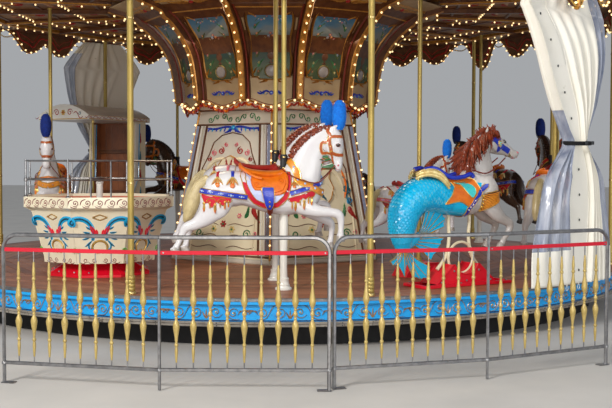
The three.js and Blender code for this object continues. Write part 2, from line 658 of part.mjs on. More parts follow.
function curtain() {
  const sides = 12;
  const positions = [];
  CURTAIN.forEach(([r, z, width, depth]) => {
    for (let k = 0; k < sides; k += 1) {
      const t = (k / sides) * Math.PI * 2;
      positions.push(width * Math.cos(t), -r + depth * Math.sin(t), z);
    }
  });
  const faces = [];
  for (let i = 0; i < CURTAIN.length - 1; i += 1) {
    for (let k = 0; k < sides; k += 1) {
      const a = i * sides + k;
      const b = i * sides + ((k + 1) % sides);
      faces.push(a, b, a + sides, b, b + sides, a + sides);
    }
  }
  const far = (CURTAIN.length - 1) * sides;
  for (let k = 1; k < sides - 1; k += 1) faces.push(0, k + 1, k, far, far + k, far + k + 1);
  const geometry = new THREE.BufferGeometry();
  geometry.setAttribute('position', new THREE.Float32BufferAttribute(positions, 3));
  geometry.setIndex(faces);
  return geometry;
}

[45, -135].forEach((angle, i) => {
  add(`curtain_${i + 1}`, at(curtain(), angle), 0xefece2, 0.85);
});

// Barrier panels: two bays each, bent at the middle post, with a round tube frame, flat bar rails and turned
// spindles

const FENCE_BEND = 6.1; // turn of a bay about the middle post, in degrees
const FENCE_CORNER_R = 110;
const FENCE_RAIL_LOW = 147;
const FENCE_BAND = 976;
const FOOT_HALF = 30;
const FOOT_LENGTH = 90;

const SPINDLE_ROD_R = 7;
const SPINDLE_BULB_R = 25;
const SPINDLE_MIDDLE = 545;

// Rod with two bulbs that taper away from a waist at its middle.
function spindle(x) {
  const half = [[13, 0], [SPINDLE_BULB_R, 85], [SPINDLE_ROD_R, 345]];
  const lower = half.map(([r, z]) => [r, SPINDLE_MIDDLE - z]).reverse();
  const upper = half.slice(1).map(([r, z]) => [r, SPINDLE_MIDDLE + z]);
  const foot = FENCE_RAIL_LOW - 7;
  const head = FENCE_BAND - 6;
  return turned([[0, foot], [SPINDLE_ROD_R, foot], ...lower, ...upper, [SPINDLE_ROD_R, head], [0, head]], 4)
    .translate(x, 0, 0);
}

// Plate under an end post, on the side of the panel.
function footPlate(x) {
  const inner = x - Math.sign(x) * FOOT_LENGTH;
  const outer = x + Math.sign(x) * FENCE_TUBE_R;
  return block([Math.min(inner, outer), -FOOT_HALF, 0], [Math.max(inner, outer), FOOT_HALF, 6]);
}

// One bay from the panel's middle post to its end post, on the right (1) or the left (-1).
function fenceBay(side) {
  const end = side * FENCE_BAY;
  const top = FENCE_HEIGHT - FENCE_TUBE_R;
  const r = FENCE_TUBE_R;
  const knee = FENCE_CORNER_R * 0.3;
  const lap = side * 6;
  const pieces = [bar([end, 0, 0], [end, 0, top - FENCE_CORNER_R], r),
    bar([end, 0, top - FENCE_CORNER_R - 5], [end - side * knee, 0, top - knee], r),
    bar([end - side * (knee - 4), 0, top - knee - 4], [end - side * FENCE_CORNER_R, 0, top], r),
    bar([0, 0, top], [end - side * FENCE_CORNER_R + lap, 0, top], r),
    footPlate(end),
    block([Math.min(0, end), -5, FENCE_BAND - 14], [Math.max(0, end), 5, FENCE_BAND + 14]),
    block([Math.min(0, end), -12, FENCE_RAIL_LOW - 12], [Math.max(0, end), 12, FENCE_RAIL_LOW + 12])];
  for (let i = 1; i <= SPINDLES_PER_BAY; i += 1) {
    pieces.push(spindle((i / (SPINDLES_PER_BAY + 1)) * end));
  }
  return join(pieces).rotateZ(rad(side * FENCE_BEND));
}

function fencePanel(turn) {
  const post = bar([0, 0, 0], [0, 0, FENCE_HEIGHT - FENCE_TUBE_R], FENCE_TUBE_R * 0.8);
  return join([fenceBay(-1), post, fenceBay(1)]).rotateZ(rad(turn));
}

// Angle and distance of a panel's middle post from the axis, and the panel's turn about it
[[-5, 5655, 0.7], [20.05, 5495, 3.75]].forEach(([angle, radius, turn], i) => {
  add(`fence_panel_${i + 1}`, at(fencePanel(turn), angle, radius), 0x9b9b97, 0.4, 0.6);
});

export default carousel;
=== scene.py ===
# Fairground carousel: finishes, ornament, figures, cloth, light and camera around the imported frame.
# Metres, Z up, in the frame of the CAD model. Angle 0 is the front (-Y) and grows to the right.
import random
from math import atan2, cos, degrees, exp, pi, radians, sin, sqrt, tau

import bmesh
import bpy
from mathutils import Matrix, Vector
from mathutils.bvhtree import BVHTree


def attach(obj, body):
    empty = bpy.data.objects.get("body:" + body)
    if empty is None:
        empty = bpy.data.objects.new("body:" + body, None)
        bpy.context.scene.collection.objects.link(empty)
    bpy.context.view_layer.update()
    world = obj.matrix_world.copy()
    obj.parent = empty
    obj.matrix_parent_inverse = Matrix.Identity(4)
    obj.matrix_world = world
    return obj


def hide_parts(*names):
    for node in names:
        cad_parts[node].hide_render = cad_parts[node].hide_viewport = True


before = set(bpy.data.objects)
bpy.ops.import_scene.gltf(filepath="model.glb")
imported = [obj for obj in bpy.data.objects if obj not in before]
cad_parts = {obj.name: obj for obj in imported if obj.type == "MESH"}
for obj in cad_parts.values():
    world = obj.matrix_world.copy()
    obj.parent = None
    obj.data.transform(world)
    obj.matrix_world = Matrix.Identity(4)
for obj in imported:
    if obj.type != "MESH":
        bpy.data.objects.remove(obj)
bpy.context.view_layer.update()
dice = random.Random(7)

# Sizes that the CAD source states, in metres
BAYS = 12
BAY = tau / BAYS
DECK_TOP = 0.455
DECK_R = 4.16
RIM_R = 4.185
FASCIA_R = 4.14
FASCIA_LOW, FASCIA_HIGH = 0.25, 0.4147
LOWER_RIM_LOW = 0.204
POST_R, POST_RING_R = 0.028, 4.06
CEILING_Z = 3.5
BOARD_R, BOARD_THICK, BOARD_LOW, BOARD_TOP = 4.3, 0.04, 3.1, 3.95
ROOF_TOP = 5.4
POLE_R, GUIDE_TOP = 0.0225, 1.2
OUTER_ROW, INNER_ROW = 3.54, 2.8
TUB_ANGLE, TUB_R = radians(-38), 2.82
HIPPO_ANGLE, HIPPO_R = radians(32.7), 3.61
PONY_ANGLE, PONY_R, PONY_SCALE, PONY_LIFT = radians(35), 2.8, 0.75, 0.23
COACH_ANGLE, COACH_R, COACH_WIDTH = radians(-118), 3.05, 0.85
# Angle and distance of a panel's middle post, and the panel's turn about it
FENCE_PANELS = ((radians(-5), 5.655, radians(0.7)), (radians(20.05), 5.495, radians(3.75)))
FENCE_BAY, FENCE_BEND, FENCE_HEIGHT, FENCE_TUBE = 1.2, radians(6.1), 1.1, 0.015
SPINDLES = 9
HORSES = ((4.4, OUTER_ROW, 0), (3.1, INNER_ROW, 0.05), (64, OUTER_ROW, -0.04), (95, OUTER_ROW, 0.04),
          (126, OUTER_ROW, 0), (172, OUTER_ROW, -0.03), (-150, OUTER_ROW, 0.03), (-80, INNER_ROW, 0))


# Materials

def new_material(name):
    mat = bpy.data.materials.new(name)
    mat.use_nodes = True
    return mat, mat.node_tree.nodes, mat.node_tree.links, mat.node_tree.nodes["Principled BSDF"]


def noise(nodes, links, coords, scale, detail=4.0, stretch=None):
    tex = nodes.new("ShaderNodeTexNoise")
    tex.inputs["Scale"].default_value = scale
    tex.inputs["Detail"].default_value = detail
    if stretch:
        fit = nodes.new("ShaderNodeMapping")
        fit.inputs["Scale"].default_value = stretch
        links.new(coords, fit.inputs["Vector"])
        coords = fit.outputs["Vector"]
    links.new(coords, tex.inputs["Vector"])
    return tex.outputs["Fac"]


def blend_colour(nodes, links, factor, low, high, start=0.35, end=0.65):
    ramp = nodes.new("ShaderNodeValToRGB")
    ramp.color_ramp.elements[0].position = start
    ramp.color_ramp.elements[0].color = (*low, 1)
    ramp.color_ramp.elements[1].position = end
    ramp.color_ramp.elements[1].color = (*high, 1)
    links.new(factor, ramp.inputs["Fac"])
    return ramp.outputs["Color"]


def mix(nodes, links, factor, a, b, mode="MIX"):
    node = nodes.new("ShaderNodeMix")
    node.data_type = "RGBA"
    node.blend_type = mode
    for socket, value in (("Factor", factor), ("A", a), ("B", b)):
        target = [s for s in node.inputs
                  if s.name == socket and (s.type == "RGBA" or socket == "Factor")][0]
        if isinstance(value, (int, float)):
            target.default_value = value
        elif isinstance(value, tuple):
            target.default_value = (*value, 1)
        else:
            links.new(value, target)
    return [s for s in node.outputs if s.type == "RGBA"][0]


def bump(nodes, links, shader, height, strength, distance):
    node = nodes.new("ShaderNodeBump")
    node.inputs["Strength"].default_value = strength
    node.inputs["Distance"].default_value = distance
    links.new(height, node.inputs["Height"])
    links.new(node.outputs["Normal"], shader.inputs["Normal"])


# A painted or plain surface: two close tones mottled together, uneven gloss, fine bump, and a third tone
# of wear in patches.
def finish_of(name, tone, other=None, rough=0.45, metal=0.0, coat=0.0, scale=6.0, grain=90.0, depth=0.0006,
              wear=None, worn=0.0, stretch=None):
    mat, nodes, links, shader = new_material(name)
    coords = nodes.new("ShaderNodeTexCoord").outputs["Object"]
    mottle = noise(nodes, links, coords, scale, 5.0, stretch)
    other = other or tuple(c * 0.82 for c in tone)
    colour = blend_colour(nodes, links, mottle, other, tone)
    if wear:
        patches = noise(nodes, links, coords, scale * 3.1, 8.0, stretch)
        edge = 0.72 - worn
        mask = blend_colour(nodes, links, patches, (0, 0, 0), (1, 1, 1), edge, edge + 0.07)
        colour = mix(nodes, links, mask, colour, wear)
    links.new(colour, shader.inputs["Base Color"])
    gloss = nodes.new("ShaderNodeMapRange")
    gloss.inputs["To Min"].default_value = max(rough - 0.09, 0.03)
    gloss.inputs["To Max"].default_value = min(rough + 0.12, 1.0)
    links.new(noise(nodes, links, coords, scale * 2.3, 3.0), gloss.inputs["Value"])
    links.new(gloss.outputs["Result"], shader.inputs["Roughness"])
    shader.inputs["Metallic"].default_value = metal
    shader.inputs["Coat Weight"].default_value = coat
    shader.inputs["Coat Roughness"].default_value = 0.12
    bump(nodes, links, shader, noise(nodes, links, coords, grain, 3.0, stretch), 0.35, depth)
    return mat


def glow(name, colour, strength):
    mat, _, _, shader = new_material(name)
    shader.inputs["Base Color"].default_value = (*colour, 1)
    shader.inputs["Emission Color"].default_value = (*colour, 1)
    shader.inputs["Emission Strength"].default_value = strength
    shader.inputs["Roughness"].default_value = 0.2
    return mat


STEEL = finish_of("bright_steel", (0.42, 0.42, 0.43), (0.28, 0.28, 0.29), 0.3, 1.0, scale=14,
                  wear=(0.16, 0.15, 0.14), worn=0.04)
GALVANISED = finish_of("galvanised", (0.3, 0.3, 0.31), (0.2, 0.2, 0.21), 0.38, 0.9, scale=22,
                       wear=(0.12, 0.115, 0.11), worn=0.06)
BLACK_STEEL = finish_of("black_steel", (0.05, 0.055, 0.06), rough=0.5, metal=0.4)
BLACK = finish_of("black_rubber", (0.012, 0.012, 0.014), rough=0.55, grain=200)
# Near-black, darker than rubber: the ground skirt's own black and painted shade under the deck
SKIRT_AND_SHADE_BLACK = finish_of("skirt_black_and_painted_shade", (0.006, 0.006, 0.007), rough=0.75)
GOLD_PAINT = finish_of("spindle_gold", (0.5, 0.37, 0.12), (0.41, 0.3, 0.09), 0.36, 0.2, 0.15, scale=18,
                       wear=(0.28, 0.2, 0.08), worn=0.04)
POST_GOLD = finish_of("post_gold", (0.5, 0.37, 0.1), (0.4, 0.29, 0.075), 0.32, 0.45, 0.2, scale=5,
                      wear=(0.3, 0.25, 0.1), worn=0.02)
BRASS = finish_of("brass", (0.68, 0.52, 0.22), (0.5, 0.37, 0.14), 0.28, 0.9, scale=20)
GILT = finish_of("gilt", (0.6, 0.28, 0.045), (0.4, 0.17, 0.025), 0.36, 0.45, 0.15, scale=26, depth=0.001,
                 wear=(0.23, 0.1, 0.02), worn=0.08)
BROWN_FRAME = finish_of("brown_frame", (0.15, 0.052, 0.014), (0.085, 0.026, 0.008), 0.4, 0.1, 0.2,
                        scale=12, depth=0.001)
CEILING = finish_of("ceiling_gold", (0.34, 0.15, 0.035), (0.2, 0.075, 0.018), 0.5, 0.15, scale=3,
                    depth=0.001, wear=(0.12, 0.05, 0.02), worn=0.08)
RED_BROWN = finish_of("red_brown", (0.24, 0.03, 0.012), (0.15, 0.02, 0.01), 0.45, scale=9)
FLAT_RED = finish_of("flat_red", (0.56, 0.0, 0.02), (0.5, 0.0, 0.017), 0.65, scale=3)
GARLAND_RED = finish_of("garland_red", (0.42, 0.02, 0.015), (0.28, 0.012, 0.01), 0.4, scale=14)
SKY_BLUE = finish_of("sky_blue", (0.0, 0.36, 0.82), (0.0, 0.3, 0.73), 0.4, coat=0.15, scale=4,
                     wear=(0.01, 0.2, 0.42), worn=0.0)
NAVY = finish_of("navy", (0.004, 0.012, 0.09), rough=0.4)
OLD_TIMBER = finish_of("old_timber", (0.3, 0.27, 0.23), (0.17, 0.15, 0.13), 0.8, scale=9, grain=40,
                       depth=0.003, wear=(0.1, 0.085, 0.07), worn=0.12)
CREAM = finish_of("cream", (0.8, 0.71, 0.5), (0.72, 0.62, 0.42), 0.35, coat=0.3, scale=3,
                  wear=(0.6, 0.5, 0.32), worn=0.02)
# Grey cream: the plinth's and a pilaster strip's own colour, and painted shade on the upper rows of the
# lower drum's wall
GREY_CREAM_AND_SHADE = finish_of("grey_cream_and_painted_shade", (0.62, 0.57, 0.48), (0.5, 0.45, 0.37), 0.42, coat=0.2, scale=2.5,
                       wear=(0.3, 0.24, 0.18), worn=0.05)
MAROON = finish_of("maroon", (0.2, 0.012, 0.02), rough=0.35, coat=0.3)
TEAL = finish_of("teal", (0.012, 0.16, 0.22), (0.01, 0.1, 0.16), 0.35, coat=0.3, scale=20)
LEAF_BLUE = finish_of("leaf_blue", (0.01, 0.32, 0.62), (0.008, 0.2, 0.45), 0.35, coat=0.3, scale=20)
PALE_BLUE = finish_of("pale_blue", (0.3, 0.46, 0.72), (0.24, 0.38, 0.64), 0.35, coat=0.3, scale=10)
ROYAL = finish_of("royal_blue", (0.008, 0.04, 0.5), (0.006, 0.025, 0.38), 0.32, coat=0.4, scale=14)
GREEN = finish_of("green", (0.03, 0.2, 0.06), (0.02, 0.12, 0.04), 0.4, coat=0.2, scale=16)
OLIVE = finish_of("olive_scroll", (0.1, 0.13, 0.035), (0.06, 0.08, 0.02), 0.4, scale=16)
PINK = finish_of("pink", (0.72, 0.2, 0.24), (0.62, 0.12, 0.16), 0.35, coat=0.3, scale=20)
ORANGE = finish_of("orange", (0.78, 0.18, 0.006), (0.66, 0.13, 0.005), 0.3, coat=0.4, scale=14, depth=0.001)
AMBER = finish_of("amber", (0.76, 0.3, 0.03), (0.64, 0.22, 0.02), 0.3, coat=0.4, scale=14, depth=0.001)
LEATHER = finish_of("bridle_leather", (0.5, 0.09, 0.012), (0.36, 0.06, 0.01), 0.35, coat=0.3, scale=14,
                    depth=0.001)
LILAC = finish_of("lilac", (0.52, 0.58, 0.82), (0.44, 0.5, 0.76), 0.35, coat=0.3, scale=10)
GOLD_LINE = finish_of("gold_line", (0.72, 0.45, 0.1), (0.55, 0.32, 0.06), 0.3, 0.5, 0.2, scale=30)
CREAM_GOLD = finish_of("cream_gold", (0.8, 0.66, 0.3), (0.6, 0.42, 0.14), 0.32, 0.25, 0.3, scale=24)
HORSE_WHITE = finish_of("horse_white", (0.74, 0.73, 0.74), (0.68, 0.66, 0.69), 0.22, coat=0.55, scale=4,
                        grain=30,
                        depth=0.0015, wear=(0.6, 0.52, 0.5), worn=0.0)
HORSE_DARK = finish_of("horse_dark", (0.075, 0.04, 0.025), (0.045, 0.024, 0.016), 0.25, coat=0.5, scale=4,
                       grain=30, depth=0.0015)
HOOF = finish_of("hoof", (0.5, 0.46, 0.42), (0.35, 0.31, 0.28), 0.35, coat=0.3, scale=20)
HOOF_DARK = finish_of("hoof_dark", (0.03, 0.025, 0.022), rough=0.3, coat=0.3)
MANE_BROWN = finish_of("mane_brown", (0.28, 0.05, 0.018), (0.13, 0.022, 0.01), 0.35, coat=0.3, scale=26,
                       wear=(0.42, 0.14, 0.06), worn=0.06)
MANE_DARK = finish_of("mane_dark", (0.05, 0.025, 0.018), (0.025, 0.012, 0.01), 0.35, coat=0.3, scale=26)
TAIL_CREAM = finish_of("tail_cream", (0.6, 0.49, 0.26), (0.48, 0.38, 0.19), 0.38, coat=0.25, scale=16)
EYE_DARK = finish_of("eye_dark", (0.006, 0.005, 0.005), rough=0.08, coat=0.8)
PLUME_BLUE = finish_of("plume_blue", (0.0, 0.2, 0.78), (0.0, 0.13, 0.62), 0.85, scale=40, grain=160,
                       depth=0.006)
PLUME_NAVY = finish_of("plume_navy", (0.0, 0.02, 0.2), (0.0, 0.012, 0.13), 0.85, scale=40, grain=160,
                       depth=0.006)
COACH_BROWN = finish_of("coach_brown", (0.27, 0.085, 0.025), (0.17, 0.05, 0.016), 0.42, coat=0.2, scale=5)
SALMON = finish_of("salmon", (0.62, 0.19, 0.11), (0.5, 0.14, 0.08), 0.45, scale=5)
WHITE_PAINT = finish_of("white_paint", (0.78, 0.76, 0.7), (0.7, 0.68, 0.62), 0.35, coat=0.3, scale=6,
                        wear=(0.55, 0.5, 0.42), worn=0.02)
LILAC_MIRROR = finish_of("lilac_edge", (0.5, 0.5, 0.6), (0.34, 0.34, 0.46), 0.14, 0.9, scale=6)
LAMP_GREY = finish_of("lamp_grey", (0.36, 0.32, 0.3), (0.26, 0.23, 0.22), 0.3, coat=0.4, scale=20)
BULB = glow("bulb_lit", (1.0, 0.72, 0.36), 1.6)


# Mesh making

class Shape:
    """Faces gathered from many makers, each with its own material, that become one piece."""

    def __init__(self):
        self.verts, self.faces, self.slots, self.mats = [], [], [], []

    def add(self, verts, faces, mat):
        if mat not in self.mats:
            self.mats.append(mat)
        slot, base = self.mats.index(mat), len(self.verts)
        self.verts.extend(Vector(v) for v in verts)
        self.faces.extend(tuple(base + i for i in f) for f in faces)
        self.slots.extend([slot] * len(faces))
        return self

    def merge(self, other, place=None):
        """The other shape's faces, moved by a matrix or mapped by a function."""
        base = len(self.verts)
        move = place if callable(place) else (lambda v: place @ v) if place is not None else (lambda v: v)
        self.verts.extend(move(v) for v in other.verts)
        for mat in other.mats:
            if mat not in self.mats:
                self.mats.append(mat)
        remap = [self.mats.index(m) for m in other.mats]
        self.faces.extend(tuple(base + i for i in f) for f in other.faces)
        self.slots.extend(remap[s] for s in other.slots)
        return self

    def object(self, name, sharp=38):
        mesh = bpy.data.meshes.new(name)
        mesh.from_pydata([tuple(v) for v in self.verts], [], self.faces)
        for mat in self.mats:
            mesh.materials.append(mat)
        mesh.polygons.foreach_set("material_index", self.slots)
        mesh.polygons.foreach_set("use_smooth", [True] * len(self.faces))
        mesh.set_sharp_from_angle(angle=radians(sharp))
        mesh.validate()
        obj = bpy.data.objects.new(name, mesh)
        bpy.context.scene.collection.objects.link(obj)
        return obj


def piece(shape, name, body, nodes=(), slot=None, sharp=38):
    """A finished piece that rides on a CAD body and stands for the named CAD nodes."""
    obj = shape.object(name, sharp)
    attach(obj, body)
    if nodes:
        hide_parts(*nodes)
    return obj


def spot(angle, radius, height=0.0):
    return Vector((radius * sin(angle), -radius * cos(angle), height))


def standing(angle, radius, height=0.0, turn=0.0):
    """Frame of a thing that stands on the platform: X is the way it goes round, Y points to the axis."""
    return Matrix.Translation(spot(angle, radius, height)) @ Matrix.Rotation(angle + turn, 4, "Z")


def smooth_path(points, steps=6, closed=False):
    """Points on a curve through the given points (Catmull-Rom)."""
    pts = [Vector(p) for p in points]
    n = len(pts)
    if n < 3:
        return [pts[0].lerp(pts[-1], i / steps) for i in range(steps + 1)]
    get = (lambda i: pts[i % n]) if closed else (lambda i: pts[min(max(i, 0), n - 1)])
    out = []
    for i in range(n if closed else n - 1):
        a, b, c, d = get(i - 1), get(i), get(i + 1), get(i + 2)
        for k in range(steps):
            t = k / steps
            out.append(0.5 * ((2 * b) + (c - a) * t + (2 * a - 5 * b + 4 * c - d) * t * t
                              + (3 * b - a - 3 * c + d) * t ** 3))
    if not closed:
        out.append(pts[-1])
    return out


def frames_along(path, up, closed=False):
    """A side and an up direction at each point of a path, turned as little as possible."""
    n = len(path)
    up = Vector(up)
    out = []
    for i in range(n):
        a = path[(i - 1) % n] if closed or i else path[0]
        b = path[(i + 1) % n] if closed or i < n - 1 else path[-1]
        along = (b - a)
        along = along.normalized() if along.length > 1e-9 else Vector((1, 0, 0))
        side = along.cross(up)
        if side.length < 1e-6:
            side = along.orthogonal()
        side.normalize()
        up = side.cross(along).normalized()
        out.append((side, up, along))
    return out


# Bars thinner than a radius have no more sides than this
THIN_BARS = ((0.0065, 4), (0.0095, 5), (0.016, 6))
# Carved strokes narrower than this have a plain ridge
FINE_STROKE = 0.045
# Cross-sections of a carved stroke: (share of its half width, share of its height)
RIDGE = ((-1.0, 0), (0.0, 1), (1.0, 0))
ROUND_BACK = ((-1.0, 0), (-0.72, 0.7), (0.0, 1), (0.72, 0.7), (1.0, 0))
# Domes are cones below the first radius and have one row less below the second
TINY_DOME, SMALL_DOME = 0.008, 0.03
LAMP_SIDES = 5


def tube(shape, points, radius, mat, sides=8, closed=False, flat=1.0, up=(0, 0, 1), caps=True):
    """A round or flattened bar along points. The radius is a number or one for each point."""
    path = [Vector(p) for p in points]
    radii = radius if hasattr(radius, "__len__") else [radius] * len(path)
    sides = min([sides] + [most for thin, most in THIN_BARS if max(radii) < thin])
    verts, faces = [], []
    for p, r, (side, high, _) in zip(path, radii, frames_along(path, up, closed)):
        for k in range(sides):
            t = tau * k / sides
            verts.append(p + side * (r * cos(t)) + high * (r * flat * sin(t)))
    rows = len(path) if closed else len(path) - 1
    for i in range(rows):
        a, b = i * sides, ((i + 1) % len(path)) * sides
        for k in range(sides):
            j = (k + 1) % sides
            faces.append((a + k, b + k, b + j, a + j))
    if caps and not closed:
        faces.append(tuple(range(sides)))
        faces.append(tuple(reversed([(len(path) - 1) * sides + k for k in range(sides)])))
    return shape.add(verts, faces, mat)


def turned(shape, profile, mat, centre=(0, 0, 0), sides=24, phase=0.0, axis=None, closed=False):
    """A turned form from (radius, height) points, or an open skin of it."""
    verts, faces, c = [], [], Vector(centre)
    spin = Matrix.Identity(3)
    if axis is not None:
        spin = Vector(axis).normalized().to_track_quat("Z", "Y").to_matrix()
    for r, z in profile:
        for k in range(sides):
            t = phase + tau * k / sides
            verts.append(c + spin @ Vector((r * sin(t), -r * cos(t), z)))
    rows = len(profile) if closed else len(profile) - 1
    for i in range(rows):
        a, b = i * sides, ((i + 1) % len(profile)) * sides
        for k in range(sides):
            j = (k + 1) % sides
            faces.append((a + k, a + j, b + j, b + k))
    if not closed:
        if profile[0][0] > 1e-6:
            faces.append(tuple(reversed(range(sides))))
        if profile[-1][0] > 1e-6:
            faces.append(tuple((len(profile) - 1) * sides + k for k in range(sides)))
    return shape.add(verts, faces, mat)


def block(shape, low, high, mat, chamfer=0.0, place=None):
    """A bar or board with its long edges taken off."""
    (x0, y0, z0), (x1, y1, z1) = low, high
    c = min(chamfer, (x1 - x0) / 2.1, (y1 - y0) / 2.1, (z1 - z0) / 2.1)
    if c <= 0:
        v = [Vector((x, y, z)) for z in (z0, z1) for y in (y0, y1) for x in (x0, x1)]
        f = [(0, 2, 3, 1), (4, 5, 7, 6), (0, 1, 5, 4), (2, 6, 7, 3), (0, 4, 6, 2), (1, 3, 7, 5)]
    else:
        ring = [(x0 + c, y0), (x1 - c, y0), (x1, y0 + c), (x1, y1 - c), (x1 - c, y1), (x0 + c, y1),
                (x0, y1 - c), (x0, y0 + c)]
        mid = Vector(((x0 + x1) / 2, (y0 + y1) / 2))
        inset = [(x + (c if x < mid.x else -c), y + (c if y < mid.y else -c)) for x, y in ring]
        v = [Vector((*p, z)) for pts, z in ((inset, z0), (ring, z0 + c), (ring, z1 - c), (inset, z1))
             for p in pts]
        f = [tuple(reversed(range(8))), tuple(24 + k for k in range(8))]
        f += [(i * 8 + k, i * 8 + (k + 1) % 8, i * 8 + 8 + (k + 1) % 8, i * 8 + 8 + k) for i in range(3)
              for k in range(8)]
    if place is not None:
        v = [place @ p for p in v]
    return shape.add(v, f, mat)


def slab(shape, outline, mapper, thick, mat, edge=0.0, centre=None):
    """A flat carved plate from a star-shaped 2-D outline, raised by thick, its rim rounded in by edge."""
    pts = [Vector(p) for p in outline]
    c = Vector(centre) if centre is not None else sum(pts, Vector((0, 0))) / len(pts)
    n = len(pts)
    rings = [(pts, 0.0), (pts, thick - edge)] + ([([p + (c - p).normalized() * edge for p in pts], thick)]
                                                 if edge else [])
    verts = [mapper(p.x, p.y, h) for ring, h in rings for p in ring] + [mapper(c.x, c.y, thick)]
    faces = []
    for i in range(len(rings) - 1):
        faces += [(i * n + k, i * n + (k + 1) % n, (i + 1) * n + (k + 1) % n, (i + 1) * n + k)
                  for k in range(n)]
    last = (len(rings) - 1) * n
    faces += [(last + k, last + (k + 1) % n, len(verts) - 1) for k in range(n)]
    return shape.add(verts, faces, mat)


def carve(shape, path, width, mapper, height, mat, ends=0.15):
    """A carved stroke along a 2-D path, tapered at both ends. Width is a number or a function."""
    pts = [Vector((p[0], p[1])) for p in path]
    n = len(pts)
    verts, faces = [], []
    widest = abs(width(0.5)) if callable(width) else width
    section = RIDGE if widest < FINE_STROKE else ROUND_BACK
    for i, p in enumerate(pts):
        t = i / (n - 1)
        d = pts[min(i + 1, n - 1)] - pts[max(i - 1, 0)]
        d = d.normalized() if d.length > 1e-9 else Vector((1, 0))
        side = Vector((-d.y, d.x))
        w = width(t) if callable(width) else width * min(1.0, (min(t, 1 - t) + 0.02) / ends if ends
            else 1.0)
        h = height * min(1.0, 0.35 + w / widest)
        for s, share in section:
            q = p + side * (w * 0.5 * s)
            verts.append(mapper(q.x, q.y, h * share if share else -0.002))
    m = len(section)
    for i in range(n - 1):
        faces += [(i * m + k, i * m + k + 1, i * m + m + k + 1, i * m + m + k) for k in range(m - 1)]
    return shape.add(verts, faces, mat)


def dome(shape, u, v, r, mapper, height, mat, sides=8, stretch=1.0, turn=0.0):
    """A raised bud or stud at a 2-D place."""
    verts, faces, c, s = [], [], cos(turn), sin(turn)
    sides = min(sides, 6) if r < 0.012 else sides
    rings = ((1.0, -0.001), (0.85, height * 0.6), (0.45, height * 0.95))
    if r < SMALL_DOME:
        rings = ((1.0, -0.001), (0.75, height * 0.75))
    if r < TINY_DOME:
        rings = rings[:1]
    for scale, h in rings:
        for k in range(sides):
            a, b = r * stretch * scale * cos(tau * k / sides), r * scale * sin(tau * k / sides)
            verts.append(mapper(u + a * c - b * s, v + a * s + b * c, h))
    verts.append(mapper(u, v, height))
    last = len(rings) - 1
    for i in range(last):
        faces += [(i * sides + k, i * sides + (k + 1) % sides, (i + 1) * sides + (k + 1) % sides,
                   (i + 1) * sides + k)
                  for k in range(sides)]
    faces += [(last * sides + k, last * sides + (k + 1) % sides, (last + 1) * sides) for k in range(sides)]
    return shape.add(verts, faces, mat)


# Ornament lines in 2-D

def volute(cu, cv, r0, r1, start, turns, steps=12):
    """A scroll that winds from radius r0 in to r1."""
    out = []
    for i in range(steps + 1):
        t = i / steps
        r = r0 + (r1 - r0) * t ** 0.8
        a = start + turns * tau * t
        out.append((cu + r * cos(a), cv + r * sin(a)))
    return out


def s_curve(u0, v0, u1, v1, bulge, steps=10):
    a, b = Vector((u0, v0)), Vector((u1, v1))
    side = Vector((-(b - a).y, (b - a).x)) * bulge
    return [tuple(a.lerp(b, t) + side * sin(tau * t)) for t in (i / steps for i in range(steps + 1))]


def arc_curve(u0, v0, u1, v1, bulge, steps=7):
    a, b = Vector((u0, v0)), Vector((u1, v1))
    side = Vector((-(b - a).y, (b - a).x)) * bulge
    return [tuple(a.lerp(b, t) + side * sin(pi * t)) for t in (i / steps for i in range(steps + 1))]


def leaf(shape, u, v, angle, length, width, mapper, height, mat, curl=0.0, steps=4):
    """One carved leaf that starts at a place and points along an angle, bent by curl."""
    path = []
    a, p = angle, Vector((u, v))
    for _ in range(steps + 1):
        path.append(tuple(p))
        a += curl / steps
        p = p + Vector((cos(a), sin(a))) * (length / steps)
    return carve(shape, path, lambda t: width * (sin(pi * min(t * 0.86 + 0.14, 1.0)) ** 0.8 + 0.02),
                 mapper, height, mat)


def acanthus(shape, u, v, angle, length, mapper, height, mat, curl=0.0, lobes=3, vein=None, mirror=1):
    """A carved spray: a stem leaf with side leaves that grow smaller toward its tip."""
    a, p = angle, Vector((u, v))
    steps = lobes + 1
    for i in range(steps):
        share = 1 - i / (steps + 1)
        size = length * 0.46 * share
        for side in (1, -1):
            leaf(shape, p.x, p.y, a + side * 0.75 * mirror, size, size * 0.42, mapper, height * 0.8, mat,
                 -side * 0.9 * mirror)
        a += curl / steps
        p = p + Vector((cos(a), sin(a))) * (length / steps)
    leaf(shape, u, v, angle, length * 1.1, length * 0.2, mapper, height, vein or mat, curl)
    return shape


def rosette(shape, u, v, r, mapper, height, petal, centre, petals=6):
    for k in range(petals):
        a = tau * k / petals
        dome(shape, u + r * 0.58 * cos(a), v + r * 0.58 * sin(a), r * 0.3, mapper, height * 0.8, petal, 6,
             1.5, a)
    return dome(shape, u, v, r * 0.34, mapper, height * 1.2, centre, 8)


# Lamps: a small socket ring and a pear-shaped bulb, placed by point and direction

def lamp(shape, place, out, size=0.014, collar=BRASS):
    d = Vector(out).normalized()
    spin = d.to_track_quat("Z", "Y").to_matrix()
    p = Vector(place)

    def rings(profile):
        """Rows of points along the lamp's axis and the faces between them."""
        verts = [p + spin @ Vector((size * r * cos(tau * k / n), size * r * sin(tau * k / n), size * h))
                 for r, h in profile for k in range(n)]
        faces = [(i * n + k, i * n + (k + 1) % n, i * n + n + (k + 1) % n, i * n + n + k)
                 for i in range(len(profile) - 1) for k in range(n)]
        return verts, faces

    n = LAMP_SIDES
    shape.add(*rings(((0.85, -0.1), (0.95, 0.5))), collar)
    verts, faces = rings(((0.55, 0.4), (1.0, 1.25), (0.6, 2.05)))
    faces += [(2 * n + k, 2 * n + (k + 1) % n, 3 * n) for k in range(n)]
    return shape.add(verts + [p + d * size * 2.25], faces, BULB)


# Camera at the photograph's place, soft light and a pale floor

